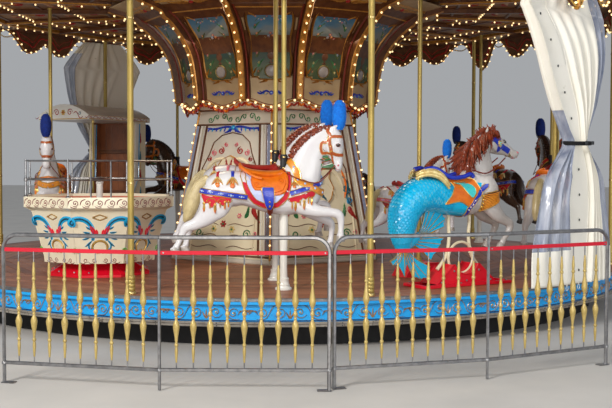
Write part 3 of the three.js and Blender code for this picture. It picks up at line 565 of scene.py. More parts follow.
def add_camera():
    data = bpy.data.cameras.new("camera")
    data.lens = 57.9
    data.sensor_width = 36.0
    data.clip_end = 200
    cam = bpy.data.objects.new("camera", data)
    bpy.context.scene.collection.objects.link(cam)
    turn = (Matrix.Rotation(radians(1.76), 4, "Z") @ Matrix.Rotation(radians(90) - 0.0402, 4, "X")
            @ Matrix.Rotation(0.0028, 4, "Z"))
    cam.matrix_world = Matrix.Translation((0.751, -12.5, 1.6)) @ turn
    bpy.context.scene.camera = cam


def area_light(name, place, target, size, power, tint=(1, 1, 1)):
    data = bpy.data.lights.new(name, "AREA")
    data.shape = "DISK"
    data.size = size
    data.energy = power
    data.color = tint
    obj = bpy.data.objects.new(name, data)
    bpy.context.scene.collection.objects.link(obj)
    obj.location = place
    obj.rotation_euler = (Vector(target) - Vector(place)).to_track_quat("-Z", "Y").to_euler()


def light_the_stage():
    world = bpy.data.worlds.new("studio")
    bpy.context.scene.world = world
    world.use_nodes = True
    back = world.node_tree.nodes["Background"]
    back.inputs["Color"].default_value = (0.93, 0.96, 1.0, 1)
    back.inputs["Strength"].default_value = 0.4
    bpy.context.scene.view_settings.view_transform = "Standard"
    area_light("key", (-6, -15, 8), (0, -2, 1.2), 3, 1500, (1.0, 0.97, 0.92))
    area_light("fill", (9, -13, 4), (0, -1, 1.6), 8, 350, (0.94, 0.97, 1.0))
    area_light("low_front", (1.0, -13.5, 1.0), (0, 0, 3.0), 5, 330, (1.0, 0.93, 0.84))
    area_light("inside", (0, -1.6, 3.35), (0, -3.2, 0.5), 2.5, 60, (1.0, 0.82, 0.6))
    floor_mat = finish_of("stage_floor", (0.62, 0.6, 0.57), (0.56, 0.545, 0.52), 0.8, scale=1.5)
    floor = Shape().add([(-60, -60, 0), (60, -60, 0), (60, 60, 0), (-60, 60, 0)], [(0, 1, 2, 3)],
                        floor_mat).object("floor")
    floor.location.z = -0.002


# Rings of the platform

def smooth_ring(shape, profile, mat, sides=144):
    """A ring about the axis from a closed (radius, height) outline that runs up its outer face."""
    return turned(shape, profile, mat, sides=sides, closed=True)


def on_cylinder(radius, middle=0.0, centre_angle=0.0):
    """Maps (distance round to the right, height) onto a drum about the axis."""
    return lambda u, v, h: spot(centre_angle + u / radius, radius + h, middle + v)


BOARD_TONES = [finish_of(f"deck_board_{i}", tone, tuple(c * 0.7 for c in tone), 0.5, coat=0.08, scale=1.6,
                         grain=26,
                         depth=0.0012, stretch=(1, 9, 9), wear=(0.12, 0.062, 0.042), worn=0.03)
               for i, tone in enumerate(((0.35, 0.122, 0.054), (0.29, 0.098, 0.044), (0.4, 0.148, 0.07),
                                         (0.24, 0.08, 0.038)))]


def wedge_board(shape, turn, near, far, radius, mat, gap=0.0035):
    """One deck board across a bay, its ends cut on the bay's radial joints or on the deck's edge."""
    reach = lambda d: min(d * sin(BAY / 2) / cos(BAY / 2), sqrt(max(radius ** 2 - d ** 2, 0.0)))
    near, far = near + gap, far - gap
    right = []
    steps = 4 if far > radius * cos(BAY / 2) - 0.12 else 1
    for i in range(steps + 1):
        d = near + (far - near) * i / steps
        right.append((reach(d) - gap, d))
    if right[-1][0] <= 0.03:
        right = [p for p in right if p[0] > 0.03] or [(0.03, near), (0.02, far)]
    outline = right + [(-x, d) for x, d in reversed(right)]
    n = len(outline)
    verts, faces = [], []
    for inset, z in ((0.0, DECK_TOP - 0.04), (0.0, DECK_TOP - 0.0016), (0.0016, DECK_TOP)):
        for x, d in outline:
            verts.append(turn @ Vector((x - inset * (1 if x > 0 else -1),
                                        -(d + (inset if d < (near + far) / 2 else -inset)), z)))
    for i in range(2):
        faces += [(i * n + k, i * n + (k + 1) % n, (i + 1) * n + (k + 1) % n, (i + 1) * n + k)
                  for k in range(n)]
    faces.append(tuple(2 * n + k for k in range(n)))
    faces.append(tuple(reversed(range(n))))
    return shape.add(verts, faces, mat)


def make_deck():
    deck = Shape()
    width = 0.118
    for bay in range(BAYS):
        turn = Matrix.Rotation(BAY * bay, 4, "Z")
        d = 0.16
        while d < DECK_R - 0.01:
            far = min(d + width, DECK_R)
            if DECK_R - far < 0.03:
                far = DECK_R
            wedge_board(deck, turn, d, far, DECK_R, dice.choice(BOARD_TONES))
            d = far
    under = DECK_TOP - 0.034
    turned(deck, [(0.2, under - 0.004), (DECK_R - 0.03, under - 0.004), (DECK_R - 0.03, under),
                  (0.2, under)], RED_BROWN,
           sides=72, closed=True)
    screws = Shape()
    for bay in range(BAYS):
        for side in (-1, 1):
            for k in range(22):
                r = 1.5 + k * width
                a = BAY * bay + side * (BAY / 2 - 0.05 / r)
                turned(screws, [(0.0055, 0.0), (0.0, 0.0014)], STEEL, spot(a, r, DECK_TOP), 6)
    deck.merge(screws)
    piece(deck, "deck_boards", "platform", ["deck"], "deck_wood", 30)
    rim = Shape()
    low, seam, high = DECK_TOP - 0.055, DECK_TOP - 0.028, DECK_TOP + 0.003
    smooth_ring(rim, [(DECK_R + 0.0004, low), (RIM_R - 0.006, low), (RIM_R - 0.002, low + 0.004),
                      (RIM_R - 0.002, seam),
                      (DECK_R + 0.0004, seam)], SKY_BLUE)
    smooth_ring(rim, [(DECK_R + 0.0004, seam), (RIM_R - 0.003, seam), (RIM_R, seam + 0.003),
                      (RIM_R, high - 0.007),
                      (RIM_R - 0.006, high), (DECK_R + 0.003, high), (DECK_R + 0.0004, high - 0.003)],
                      GALVANISED)
    for k in range(144):
        a = tau * (k + 0.5) / 144
        turned(rim, [(0.008, -0.001), (0.0075, 0.002), (0.004, 0.0032), (0.0, 0.0032)], STEEL,
               spot(a, RIM_R, DECK_TOP - 0.013),
               6, axis=spot(a, 1))
    piece(rim, "deck_edge_rail", "platform", ["deck_rim"], "rim_metal")


SKY_RELIEF = finish_of("sky_relief", (0.02, 0.5, 0.9), (0.0, 0.32, 0.74), 0.28, coat=0.4, scale=12)
SCROLL_BRONZE = finish_of("scroll_bronze", (0.5, 0.3, 0.12), (0.2, 0.13, 0.1), 0.35, 0.3, 0.2, scale=60)


def gilt_scroll(shape, path, mapper, width=0.018, height=0.011):
    """A raised blue stroke with a thin gilt line along it."""
    carve(shape, path, width, mapper, height, SKY_RELIEF)
    lifted = lambda u, v, h: mapper(u, v, h + height * 0.8)
    carve(shape, path, width * 0.5, lifted, height * 0.4, SCROLL_BRONZE)


def fascia_unit(shape, mapper):
    """One repeat of the carved band: two facing scroll pairs with leaf sprays between them."""
    middle = 0.0
    for side in (-1, 1):
        gilt_scroll(shape, volute(side * 0.085, middle + 0.006, 0.058, 0.012, pi / 2 - side * 0.6 * pi,
                                  -side * 1.3), mapper)
        gilt_scroll(shape, volute(side * 0.235, middle - 0.004, 0.05, 0.011, -pi / 2 + side * 0.55 * pi,
                                  side * 1.25), mapper)
        gilt_scroll(shape, s_curve(side * 0.06, 0.06, side * 0.29, -0.05, side * 0.13), mapper, 0.015)
        for k, (a, size) in enumerate(((0.55, 0.1), (0.2, 0.12), (-0.12, 0.11), (-0.5, 0.085))):
            start = side * (0.272 + 0.004 * k), -0.02 + 0.012 * k
            turn = a if side > 0 else pi - a
            end = (start[0] + size * cos(turn), start[1] + size * 0.8 * sin(turn))
            gilt_scroll(shape, arc_curve(*start, *end, side * 0.18), mapper, 0.016)
        dome(shape, side * 0.085, middle + 0.006, 0.009, mapper, 0.012, GOLD_LINE)
        dome(shape, side * 0.235, middle - 0.004, 0.008, mapper, 0.012, GOLD_LINE)
    for k in (-1, 0, 1):
        leaf(shape, 0.004 * k, -0.05, pi / 2 - 0.5 * k, 0.085 - 0.015 * abs(k), 0.018, mapper, 0.008,
             SCROLL_BRONZE)


def make_fascia():
    band = Shape()
    inner = 4.1003
    smooth_ring(band, [(inner, FASCIA_LOW), (FASCIA_R - 0.003, FASCIA_LOW), (FASCIA_R, FASCIA_LOW + 0.003),
                       (FASCIA_R, FASCIA_HIGH - 0.004), (FASCIA_R - 0.004, FASCIA_HIGH),
                       (inner, FASCIA_HIGH)], SKY_BLUE, 216)
    skin = FASCIA_R + 0.0006
    smooth_ring(band, [(skin, 0.393), (skin + 0.004, 0.394), (skin + 0.004, 0.4), (skin, 0.401)], NAVY, 216)
    smooth_ring(band, [(skin, 0.2555), (skin + 0.004, 0.257), (skin + 0.004, 0.263), (skin, 0.2645)], NAVY,
                216)
    units = 36
    for k in range(units):
        fascia_unit(band, on_cylinder(FASCIA_R, 0.3285, tau * (k + 0.5) / units))
    piece(band, "fascia_scrolls", "platform", ["fascia_band"], "fascia_paint")

    timber = Shape()
    for low, high, out in ((0.2285, FASCIA_LOW - 0.0003, FASCIA_R + 0.012),
                           (LOWER_RIM_LOW, 0.2275, FASCIA_R + 0.004)):
        parts = 24
        for k in range(parts):
            a0, a1 = tau * k / parts + 0.0006, tau * (k + 1) / parts - 0.0006
            verts, faces = [], []
            steps = 8
            wobble = [dice.uniform(-0.0018, 0.0018) for _ in range(steps + 1)]
            for i in range(steps + 1):
                a = a0 + (a1 - a0) * i / steps
                w = wobble[i]
                for r, z in ((4.05, low), (out - 0.004, low + 0.001), (out + w, low + 0.005),
                             (out + w * 0.5, high - 0.005),
                             (out - 0.004, high), (4.05, high)):
                    verts.append(spot(a, min(r, FASCIA_R + 0.013), z))
            for i in range(steps):
                faces += [(i * 6 + j, i * 6 + 6 + j, i * 6 + 6 + (j + 1) % 6, i * 6 + (j + 1) % 6)
                          for j in range(6)]
            faces += [tuple(range(6)), tuple(reversed([steps * 6 + j for j in range(6)]))]
            timber.add(verts, faces, OLD_TIMBER)
        for k in range(parts * 2):
            a = tau * (k + 0.5) / (parts * 2)
            turned(timber, [(0.007, -0.001), (0.006, 0.002), (0.0, 0.003)], BLACK_STEEL,
                   spot(a, out, (low + high) / 2), 6,
                   axis=spot(a, 1))
    piece(timber, "rim_timbers", "platform", ["lower_rim"], "old_timber", 30)

    # Ground skirt under the deck edge, coloured near-black as its own black and as painted shade of the
    # deck's underside
    skirt = Shape()
    sides, verts, faces = 432, [], []
    for k in range(sides):
        a = tau * k / sides
        fold = 0.006 * sin(36 * a) + 0.003 * sin(97 * a + 1)
        for r, z in ((3.8 + 0.001, 0.0), (3.829 + fold, 0.0), (3.826 + fold * 0.8, 0.1), (3.823, 0.182),
                     (3.826, 0.19),
                     (3.801, 0.19)):
            verts.append(spot(a, r, z))
    for k in range(sides):
        a, b = k * 6, ((k + 1) % sides) * 6
        faces += [(a + j, b + j, b + (j + 1) % 6, a + (j + 1) % 6) for j in range(6)]
    skirt.add(verts, faces, SKIRT_AND_SHADE_BLACK)
    piece(skirt, "ground_skirt", "base", ["base_skirt"], "skirt_rubber", 50)


# Outer posts: a jointed sleeve foot under a slim tube

def make_posts():
    for i in range(BAYS):
        a = BAY * (i + 0.5)
        post = Shape()
        foot = DECK_TOP + 0.0003
        turned(post, [(0.044, foot), (0.044, foot + 0.018), (0.041, foot + 0.024), (0.037, foot + 0.028)],
               BRASS,
               spot(a, POST_RING_R), 24)
        z = foot + 0.028
        for _ in range(4):
            turned(post, [(0.034, z), (0.036, z + 0.003), (0.036, z + 0.029), (0.034, z + 0.032)],
                   POST_GOLD,
                   spot(a, POST_RING_R), 20)
            z += 0.033
        turned(post, [(0.035, z), (0.035, z + 0.004), (POST_R, z + 0.009), (POST_R, CEILING_Z - 0.02),
                      (POST_R + 0.004,
               CEILING_Z - 0.014), (POST_R + 0.004, CEILING_Z - 0.0003)], POST_GOLD, spot(a, POST_RING_R),
               20)
        for h in (1.42, 2.86):
            turned(post, [(POST_R, h), (POST_R + 0.003, h + 0.003), (POST_R + 0.003, h + 0.02),
                          (POST_R, h + 0.023)], BRASS,
                   spot(a, POST_RING_R), 20)
        piece(post, f"post_{i + 1:02d}", "platform", [f"outer_post_{i + 1:02d}"], "gold_metal")


# Barrier panels

SPINDLE = [(0.0, 0.017), (0.009, 0.015), (0.017, 0.0095), (0.024, 0.009), (0.028, 0.012), (0.034, 0.012),
           (0.038, 0.009),
           (0.047, 0.011), (0.066, 0.02), (0.085, 0.0245), (0.1, 0.0235), (0.13, 0.0185), (0.165, 0.0125),
           (0.2, 0.009),
           (0.209, 0.009), (0.214, 0.0135), (0.223, 0.0145), (0.231, 0.012), (0.235, 0.009),
           (0.255, 0.0115), (0.272, 0.012),
           (0.305, 0.0095), (0.345, 0.0062)]


def fence_corner(x, sign, top, r, steps=7):
    out = []
    for i in range(steps + 1):
        a = pi / 2 * i / steps
        out.append(Vector((x + sign * (r - r * cos(a)), 0, top - r + r * sin(a))))
    return out


def fence_bay():
    """One bay from the middle post at X = 0 to the end post."""
    middle, rail, band = 0.545, 0.147, 0.976
    bay = Shape()
    top, r = FENCE_HEIGHT - FENCE_TUBE, FENCE_TUBE
    path = [Vector((0, 0, top)), Vector((FENCE_BAY / 2, 0, top))] + list(reversed(fence_corner(FENCE_BAY,
        -1, top, 0.11)))
    tube(bay, path + [Vector((FENCE_BAY, 0, 0.5)), Vector((FENCE_BAY, 0, 0.004))], r, GALVANISED, 12,
         up=(0, 1, 0))
    block(bay, (FENCE_BAY - 0.085, -0.03, 0), (FENCE_BAY + r, 0.03, 0.006), GALVANISED, 0.002)
    for x in (0, FENCE_BAY):
        turned(bay, [(r + 0.0005, 0.0), (r + 0.0035, 0.002), (r + 0.0035, 0.016), (r + 0.0005, 0.02)],
               GALVANISED,
               (x, 0, rail - 0.012), 12)
    block(bay, (0, -0.012, rail - 0.012), (FENCE_BAY, 0.012, rail + 0.012), GALVANISED, 0.003)
    block(bay, (0, -0.005, band - 0.0145), (FENCE_BAY, 0.005, band + 0.0145), FLAT_RED, 0.0015)
    for x in (0.03, FENCE_BAY - 0.03):
        turned(bay, [(0.007, 0), (0.006, 0.003), (0, 0.004)], STEEL, (x, -0.005, band), 8, axis=(0, -1, 0))
    profile = [(rad, middle - z) for z, rad in reversed(SPINDLE)] + [(rad, middle + z) for z,
        rad in SPINDLE[1:]]
    for k in range(SPINDLES):
        x = FENCE_BAY * (k + 1) / (SPINDLES + 1)
        turned(bay, [(0.005, rail), (0.005, middle - 0.34)], GALVANISED, (x, 0, 0), 8)
        turned(bay, [(0.005, middle + 0.34), (0.005, band + 0.012)], GALVANISED, (x, 0, 0), 8)
        turned(bay, profile, GOLD_PAINT, (x, 0, 0), 10, phase=dice.random())
    return bay


def make_fence():
    for index, (angle, radius, turn) in enumerate(FENCE_PANELS):
        place = standing(angle, radius, 0, turn)
        panel = Shape()
        tube(panel, [(0, 0, 0.004), (0, 0, 0.5), (0, 0, FENCE_HEIGHT - FENCE_TUBE * 1.8)],
             FENCE_TUBE * 0.8, GALVANISED, 12, up=(0, 1, 0))
        panel.merge(fence_bay(), Matrix.Rotation(FENCE_BEND, 4, "Z"))
        panel.merge(fence_bay(), Matrix.Rotation(pi - FENCE_BEND, 4, "Z"))
        piece(Shape().merge(panel, place), f"barrier_{index + 1}", "base", [f"fence_panel_{index + 1}"],
              "barrier_metal")


def make_base():
    for name, mat in (("base_frame", BLACK_STEEL), ("turntable_bearing", STEEL),
                      ("platform_frame", BLACK_STEEL)):
        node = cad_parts[name]
        node.data.materials.clear()
        node.data.materials.append(mat)


# Roof, rounding boards and ceiling

def side_of(index, radius_at, sides=BAYS, first=0.0):
    """Maps (across, height) onto one flat side of a drum whose corner radius changes with height."""
    angle = first + tau * index / sides
    out, along = Vector((sin(angle), -cos(angle), 0)), Vector((cos(angle), sin(angle), 0))
    return lambda u, v, h: out * (radius_at(v) * cos(pi / sides) + h) + along * u + Vector((0, 0, v))


def steps_of(profile):
    """Radius at a height from (radius, height) points."""
    def at(z):
        if z <= profile[0][1]:
            return profile[0][0]
        for (r0, z0), (r1, z1) in zip(profile, profile[1:]):
            if z <= z1:
                return r0 + (r1 - r0) * (z - z0) / (z1 - z0)
        return profile[-1][0]
    return at


def prism_ring(shape, profile, mat, sides=BAYS, phase=BAY / 2):
    return turned(shape, profile, mat, sides=sides, phase=phase, closed=True)


CLOTH_CREAM = finish_of("roof_cloth", (0.72, 0.66, 0.54), (0.62, 0.56, 0.45), 0.75, scale=2.0, grain=140,
                        depth=0.0008,
                        wear=(0.5, 0.45, 0.36), worn=0.03)
ROOF_RED = finish_of("roof_red", (0.5, 0.03, 0.03), (0.4, 0.02, 0.022), 0.75, scale=2.0, grain=140,
                     depth=0.0008)


def make_roof():
    """One striped cloth stretched over rafters, with a short scalloped edge."""
    low, neck, rim, drop = BOARD_TOP + 0.0003, 0.151, 4.29, 0.034
    rise = ROOF_TOP - low - 0.036
    steps, cols, scallops = 9, 20, 10
    ring = BAYS * cols
    rows = [(0.0, False)] + [(i / steps, True) for i in range(steps + 1)]
    cloth = Shape()
    cloth.mats = [CLOTH_CREAM, ROOF_RED]
    for t, on_top in rows:
        for k in range(ring):
            bay, s = k // cols, (k % cols) / cols
            a = BAY * (bay - 0.5 + s)
            flat = (rim + (neck - rim) * t) * cos(BAY / 2) / cos(a - BAY * bay)
            if on_top:
                height = low + 0.036 + rise * t - 0.055 * sin(pi * t) * sin(pi * s)
            else:
                height = low + 0.036 - drop * (0.45 + 0.55 * abs(sin(pi * scallops * s)))
            cloth.verts.append(spot(a, flat + (0.0 if on_top else 0.002), height))
    for i in range(len(rows) - 1):
        for k in range(ring):
            j = (k + 1) % ring
            cloth.faces.append((i * ring + k, i * ring + j, (i + 1) * ring + j, (i + 1) * ring + k))
            cloth.slots.append(0 if k % cols < cols / 2 else 1)
    cover = piece(cloth, "roof_cover", "platform", ["roof_canopy"], "roof_cloth", 25)

    seams = Shape()
    for k in range(2 * BAYS):
        a = BAY * (k / 2 - 0.5)
        share = 1.0 if k % 2 == 0 else cos(BAY / 2)
        sink = 0.0 if k % 2 == 0 else 0.055
        line = [spot(a, (rim + (neck - rim) * t) * share, low + 0.039 + rise * t - sink * sin(pi * t))
                for t in (i / 12 for i in range(13))]
        tube(seams, line, 0.011 if k % 2 == 0 else 0.006, CLOTH_CREAM, 6, flat=0.5)
    for k in range(BAYS):
        side = side_of(k, lambda v: rim + 0.003)
        half = rim * sin(BAY / 2)
        tube(seams, [side(u, low + 0.036, 0.0) for u in (-half, 0, half)], 0.005, GOLD_LINE, 6)
    piping = piece(seams, "roof_piping", "platform", [], "roof_cloth", 25)

    rafters = Shape()
    for k in range(BAYS):
        a = BAY * (k - 0.5)
        path = [spot(a, r, low + 0.006 + (ROOF_TOP - 0.05 - low) * (4.2 - r) / (4.2 - neck))
                for r in (4.2, 2.2, neck + 0.02)]
        tube(rafters, path, 0.022, BROWN_FRAME, 8)
    for r in (1.2, 2.7, 4.1):
        h = low + 0.006 + (ROOF_TOP - 0.05 - low) * (4.2 - r) / (4.2 - neck)
        ends = [spot(BAY * (k - 0.5), r, h) for k in range(BAYS)]
        tube(rafters, ends, 0.016, BROWN_FRAME, 8, closed=True)
    turned(rafters, [(neck, ROOF_TOP - 0.05), (0.2, ROOF_TOP - 0.06), (0.2, ROOF_TOP - 0.03),
                     (neck, ROOF_TOP - 0.012)], BROWN_FRAME, sides=24)
    piece(rafters, "roof_rafters", "platform", [], "old_timber", 30)

    top = Shape()
    z = ROOF_TOP + 0.0003
    turned(top, [(0.23, z), (0.228, z + 0.012), (0.19, z + 0.03), (0.15, z + 0.04), (0.115, z + 0.07),
                 (0.08, z + 0.09),
                 (0.062, z + 0.12), (0.075, z + 0.14), (0.12, z + 0.175), (0.136, z + 0.22),
                 (0.13, z + 0.26),
                 (0.095, z + 0.3), (0.05, z + 0.325), (0.032, z + 0.34), (0.045, z + 0.36),
                 (0.03, z + 0.38),
                 (0.018, z + 0.46), (0.008, z + 0.555), (0.0, z + 0.56)], GILT, sides=36)
    for k in range(BAYS):
        a = tau * k / BAYS
        leaf(top, 0, 0.03, pi / 2, 0.13, 0.05,
             lambda u, v, h, a=a: spot(a + u / 0.13, 0.115 + 0.25 * (v - 0.1) ** 2 + h, z + 0.04 + v),
             0.012, GOLD_LINE)
    piece(top, "roof_crown", "platform", ["roof_finial"], "finial_gilt", 50)


BOARD_EDGE = [(1.0, BOARD_LOW), (0.97, BOARD_LOW), (0.93, 3.14), (0.88, 3.21), (0.83, 3.33), (0.77, 3.45),
              (0.72, 3.488),
              (0.67, 3.5), (0.61, 3.482), (0.55, 3.44), (0.46, 3.34), (0.38, 3.24), (0.31, 3.212),
              (0.25, 3.205), (0.17, 3.24),
              (0.1, 3.29), (0.05, 3.335), (0.0, 3.36)]


def board_edge(share):
    s = min(abs(share), 1.0)
    for (s1, z1), (s0, z0) in zip(BOARD_EDGE, BOARD_EDGE[1:]):
        if s >= s0:
            return z0 + (z1 - z0) * (s - s0) / max(s1 - s0, 1e-6)
    return BOARD_EDGE[-1][1]


def make_boards():
    boards = Shape()
    apothem = BOARD_R * cos(BAY / 2)
    half = BOARD_R * sin(BAY / 2)
    cols = 72
    for k in range(BAYS):
        angle = BAY * k
        out, along = Vector((sin(angle), -cos(angle), 0)), Vector((cos(angle), sin(angle), 0))
        put = lambda u, v, h: out * (apothem + h) + along * u + Vector((0, 0, v))
        inward = lambda u, v, h: out * (apothem - BOARD_THICK - h) + along * u + Vector((0, 0, v))
        verts, faces = [], []
        for j in range(cols + 1):
            share = -1 + 2 * j / cols
            low = board_edge(share)
            cut_in = (half - BOARD_THICK * sin(BAY / 2) / cos(BAY / 2)) / half
            verts += [put(share * half, low, 0), put(share * half, BOARD_TOP, 0),
                      inward(share * half * cut_in, BOARD_TOP, 0), inward(share * half * cut_in, low, 0)]
        for j in range(cols):
            faces += [(j * 4 + a, j * 4 + 4 + a, j * 4 + 4 + (a + 1) % 4, j * 4 + (a + 1) % 4)
                      for a in range(4)]
        boards.add(verts, faces, BROWN_FRAME)

        # Outside face: panels, cornice and scrolls
        for v, w, h, mat in ((BOARD_TOP - 0.025, 0.05, 0.02, GILT), (BOARD_TOP - 0.09, 0.022, 0.012, CREAM),
                             (3.56, 0.03, 0.014, GILT)):
            carve(boards, [(-half * 0.995, v), (0, v), (half * 0.995, v)], w, put, h, mat, 0)
        for side in (-1, 1):
            outline = [(side * half * 0.06, 3.6), (side * half * 0.94, 3.6), (side * half * 0.94, 3.83),
                       (side * half * 0.06, 3.83)]
            slab(boards, outline, put, 0.006, SKY_BLUE, 0.004)
            ring = outline + outline[:1]
            for p, q in zip(ring, ring[1:]):
                carve(boards, [p, q], 0.022, put, 0.014, GOLD_LINE, 0)
            c = side * half * 0.5
            lifted = lambda u, v, h: put(u, v, h + 0.006)
            rosette(boards, c, 3.715, 0.06, lifted, 0.018, CREAM_GOLD, GARLAND_RED)
            for way in (-1, 1):
                acanthus(boards, c + way * 0.08, 3.715, pi / 2 - way * pi / 2, 0.3, lifted, 0.014,
                         GOLD_LINE, way * 0.5, 3, None, way)
                carve(boards, volute(c + way * 0.36, 3.72, 0.06, 0.012, pi / 2, -way * 1.4), 0.016, lifted,
                      0.012, CREAM)
        for side in (-1, 1):
            carve(boards, volute(side * half * 0.86, 3.4, 0.075, 0.012, -pi / 2, side * 1.5), 0.02, put,
                  0.014, GOLD_LINE)
            acanthus(boards, side * half * 0.93, 3.16, pi / 2, 0.26, put, 0.014, GOLD_LINE, side * 0.3)
            acanthus(boards, side * half * 0.27, 3.25, pi / 2, 0.24, put, 0.014, GOLD_LINE, side * 0.2)
            carve(boards, s_curve(side * half * 0.33, 3.32, side * half * 0.8, 3.52, side * 0.12), 0.018,
                  put, 0.012, CREAM)
        rosette(boards, 0, 3.47, 0.075, put, 0.022, GARLAND_RED, GOLD_LINE)

        # Inside face: red swags along the scallops, as seen from the front under the far side
        w_line = []
        for j in range(49):
            share = -0.97 + 1.94 * j / 48
            zig = 0.07 * abs(sin(4.5 * pi * share)) + 0.045
            w_line.append((share * half * 0.985, min(board_edge(share) + zig + 0.02, 3.56)))
        carve(boards, w_line, 0.032, inward, 0.008, GARLAND_RED, 0.03)
        w_line = [(u, min(v + 0.075, 3.6)) for u, v in w_line]
        carve(boards, w_line, 0.016, inward, 0.006, GARLAND_RED, 0.03)
        carve(boards, [(-half * 0.97, 3.62), (0, 3.62), (half * 0.97, 3.62)], 0.03, inward, 0.012, GILT, 0)
        edge = [(share * half * 0.99, board_edge(share) + 0.004)
                for share in (-0.98 + 1.96 * j / 72 for j in range(73))]
        carve(boards, edge, 0.018, put, 0.012, GOLD_LINE, 0.02)
        carve(boards, edge, 0.016, inward, 0.01, GILT, 0.02)
        corner = out * apothem + along * half
        radial = corner.normalized()
        tube(boards, [radial * (BOARD_R - 0.006) + Vector((0, 0, z)) for z in (BOARD_LOW, 3.5, BOARD_TOP)],
             0.022, GILT, 10)
        drop = [(0.0, 0.0), (0.02, 0.006), (0.03, 0.022), (0.022, 0.04), (0.014, 0.05)]
        turned(boards, drop, GILT, radial * (BOARD_R - 0.024) + Vector((0, 0, BOARD_LOW - 0.03)), 12)
        turned(boards, [(0.04, 0), (0.045, 0.006), (0.045, 0.016), (0.03, 0.028), (0.0, 0.03)], GILT,
               radial * (BOARD_R - 0.022) + Vector((0, 0, BOARD_TOP - 0.018)), 12)
    piece(boards, "rounding_boards_carved", "platform", ["rounding_boards"], "board_gilt", 30)

    lamps = Shape()
    for k in range(BAYS):
        angle = BAY * k
        out, along = Vector((sin(angle), -cos(angle), 0)), Vector((cos(angle), sin(angle), 0))
        walk, last = 0.0, None
        for j in range(401):
            share = -0.97 + 1.94 * j / 400
            p = Vector((share * half, board_edge(share)))
            if last is not None:
                walk += (p - last).length
            if last is None or walk >= 0.105:
                walk = 0.0 if last is None else walk - 0.105
                base = along * p.x + Vector((0, 0, p.y + 0.006))
                lamp(lamps, base + out * (apothem - BOARD_THICK - 0.004), -out)
                lamp(lamps, base + out * (apothem + 0.004), out)
            last = p
    piece(lamps, "board_lamps", "platform", (), "gilt_frame", 50)


def make_ceiling():
    ceiling = Shape()
    top, low = CEILING_Z + 0.085, CEILING_Z + 0.0585
    reach = BOARD_R - BOARD_THICK / cos(BAY / 2) - 0.001
    prism_ring(ceiling, [(0.151, low), (reach, low), (reach, top), (0.151, top)], CEILING)
    for k in range(BAYS):
        beam_angle = BAY * k
        place = Matrix.Rotation(beam_angle, 4, "Z")
        block(ceiling, (-0.03, -4.0, CEILING_Z), (0.03, -0.3, low), BROWN_FRAME, 0.006, place)
        mitre = Matrix.Rotation(BAY * (k + 0.5), 4, "Z")
        block(ceiling, (-0.035, -3.99, CEILING_Z + 0.012), (0.035, -2.06, low), GILT, 0.008, mitre)
        for side in (-1, 1):
            block(ceiling, (side * 0.05 - 0.012, -3.98, CEILING_Z + 0.03),
                  (side * 0.05 + 0.012, -2.06, low), BROWN_FRAME,
                  0.004, mitre)
        # Boards between the beams, laid across, with carved centre strokes
        plane = lambda u, v, h, out=Vector((sin(beam_angle), -cos(beam_angle),
                                            0)), along=Vector((cos(beam_angle), sin(beam_angle), 0)): \
            out * v + along * u + Vector((0, 0, low - h))
        for r in (2.25, 2.62, 2.99, 3.36, 3.73):
            half = r * sin(BAY / 2) / cos(BAY / 2) - 0.075
            for s in (-1, 1):
                carve(ceiling, [(s * 0.034, r), (s * half, r)], 0.05, plane, 0.02, GILT
                      if r in (2.62, 3.36) else BROWN_FRAME, 0)
        for r in (2.43, 3.17):
            for s in (-1, 1):
                c = s * (r * 0.134)
                carve(ceiling, volute(c, r, 0.1, 0.015, 0, s * 1.5), 0.03, plane, 0.014, GARLAND_RED)
                acanthus(ceiling, c, r, pi / 2, 0.17, plane, 0.012, GILT, s * 0.4)
        for r in (2.8, 3.54):
            for s in (-1, 1):
                c = s * (r * 0.134)
                acanthus(ceiling, c - 0.12, r, 0, 0.24, plane, 0.012, GILT, 0.3)
                carve(ceiling, s_curve(c - 0.16, r - 0.05, c + 0.16, r + 0.05, 0.2), 0.022, plane, 0.01,
                      GARLAND_RED)
    prism_ring(ceiling, [(3.985, CEILING_Z), (reach, CEILING_Z), (reach, low), (3.985, low)], BROWN_FRAME)
    prism_ring(ceiling, [(3.93, CEILING_Z + 0.01), (3.986, CEILING_Z), (3.986, low), (3.93, low)], GILT)
    prism_ring(ceiling, [(0.151, CEILING_Z), (0.34, CEILING_Z), (0.34, low), (0.151, low)], BROWN_FRAME)
    piece(ceiling, "ceiling_boards", "platform", ["ceiling_frame"], "ceiling_wood", 30)

    lamps = Shape()
    down = Vector((0, 0, -1))
    for k in range(BAYS):
        angle = BAY * (k + 0.5)
        r = 2.14
        while r < 3.92:
            lamp(lamps, spot(angle, r, CEILING_Z + 0.012), down, 0.012)
            r += 0.27
        out, along = Vector((sin(BAY * k), -cos(BAY * k), 0)), Vector((cos(BAY * k), sin(BAY * k), 0))
        for apothem, height in ((2.62, low - 0.018), (3.36, low - 0.018), (3.85, CEILING_Z + 0.012)):
            half = apothem * sin(BAY / 2) / cos(BAY / 2) - 0.1
            count = int(2 * half / 0.145)
            for j in range(count + 1):
                u = -half + 2 * half * j / count
                if abs(u) > 0.045:
                    lamp(lamps, out * apothem + along * u + Vector((0, 0, height)), down, 0.013)
    piece(lamps, "ceiling_lamps", "platform", (), "gilt_frame", 50)


# Drums around the column

PANEL_TAN = finish_of("panel_tan", (0.52, 0.38, 0.21), (0.38, 0.26, 0.13), 0.5, 0.1, scale=3, depth=0.001,
                      wear=(0.16, 0.09, 0.045), worn=0.05)
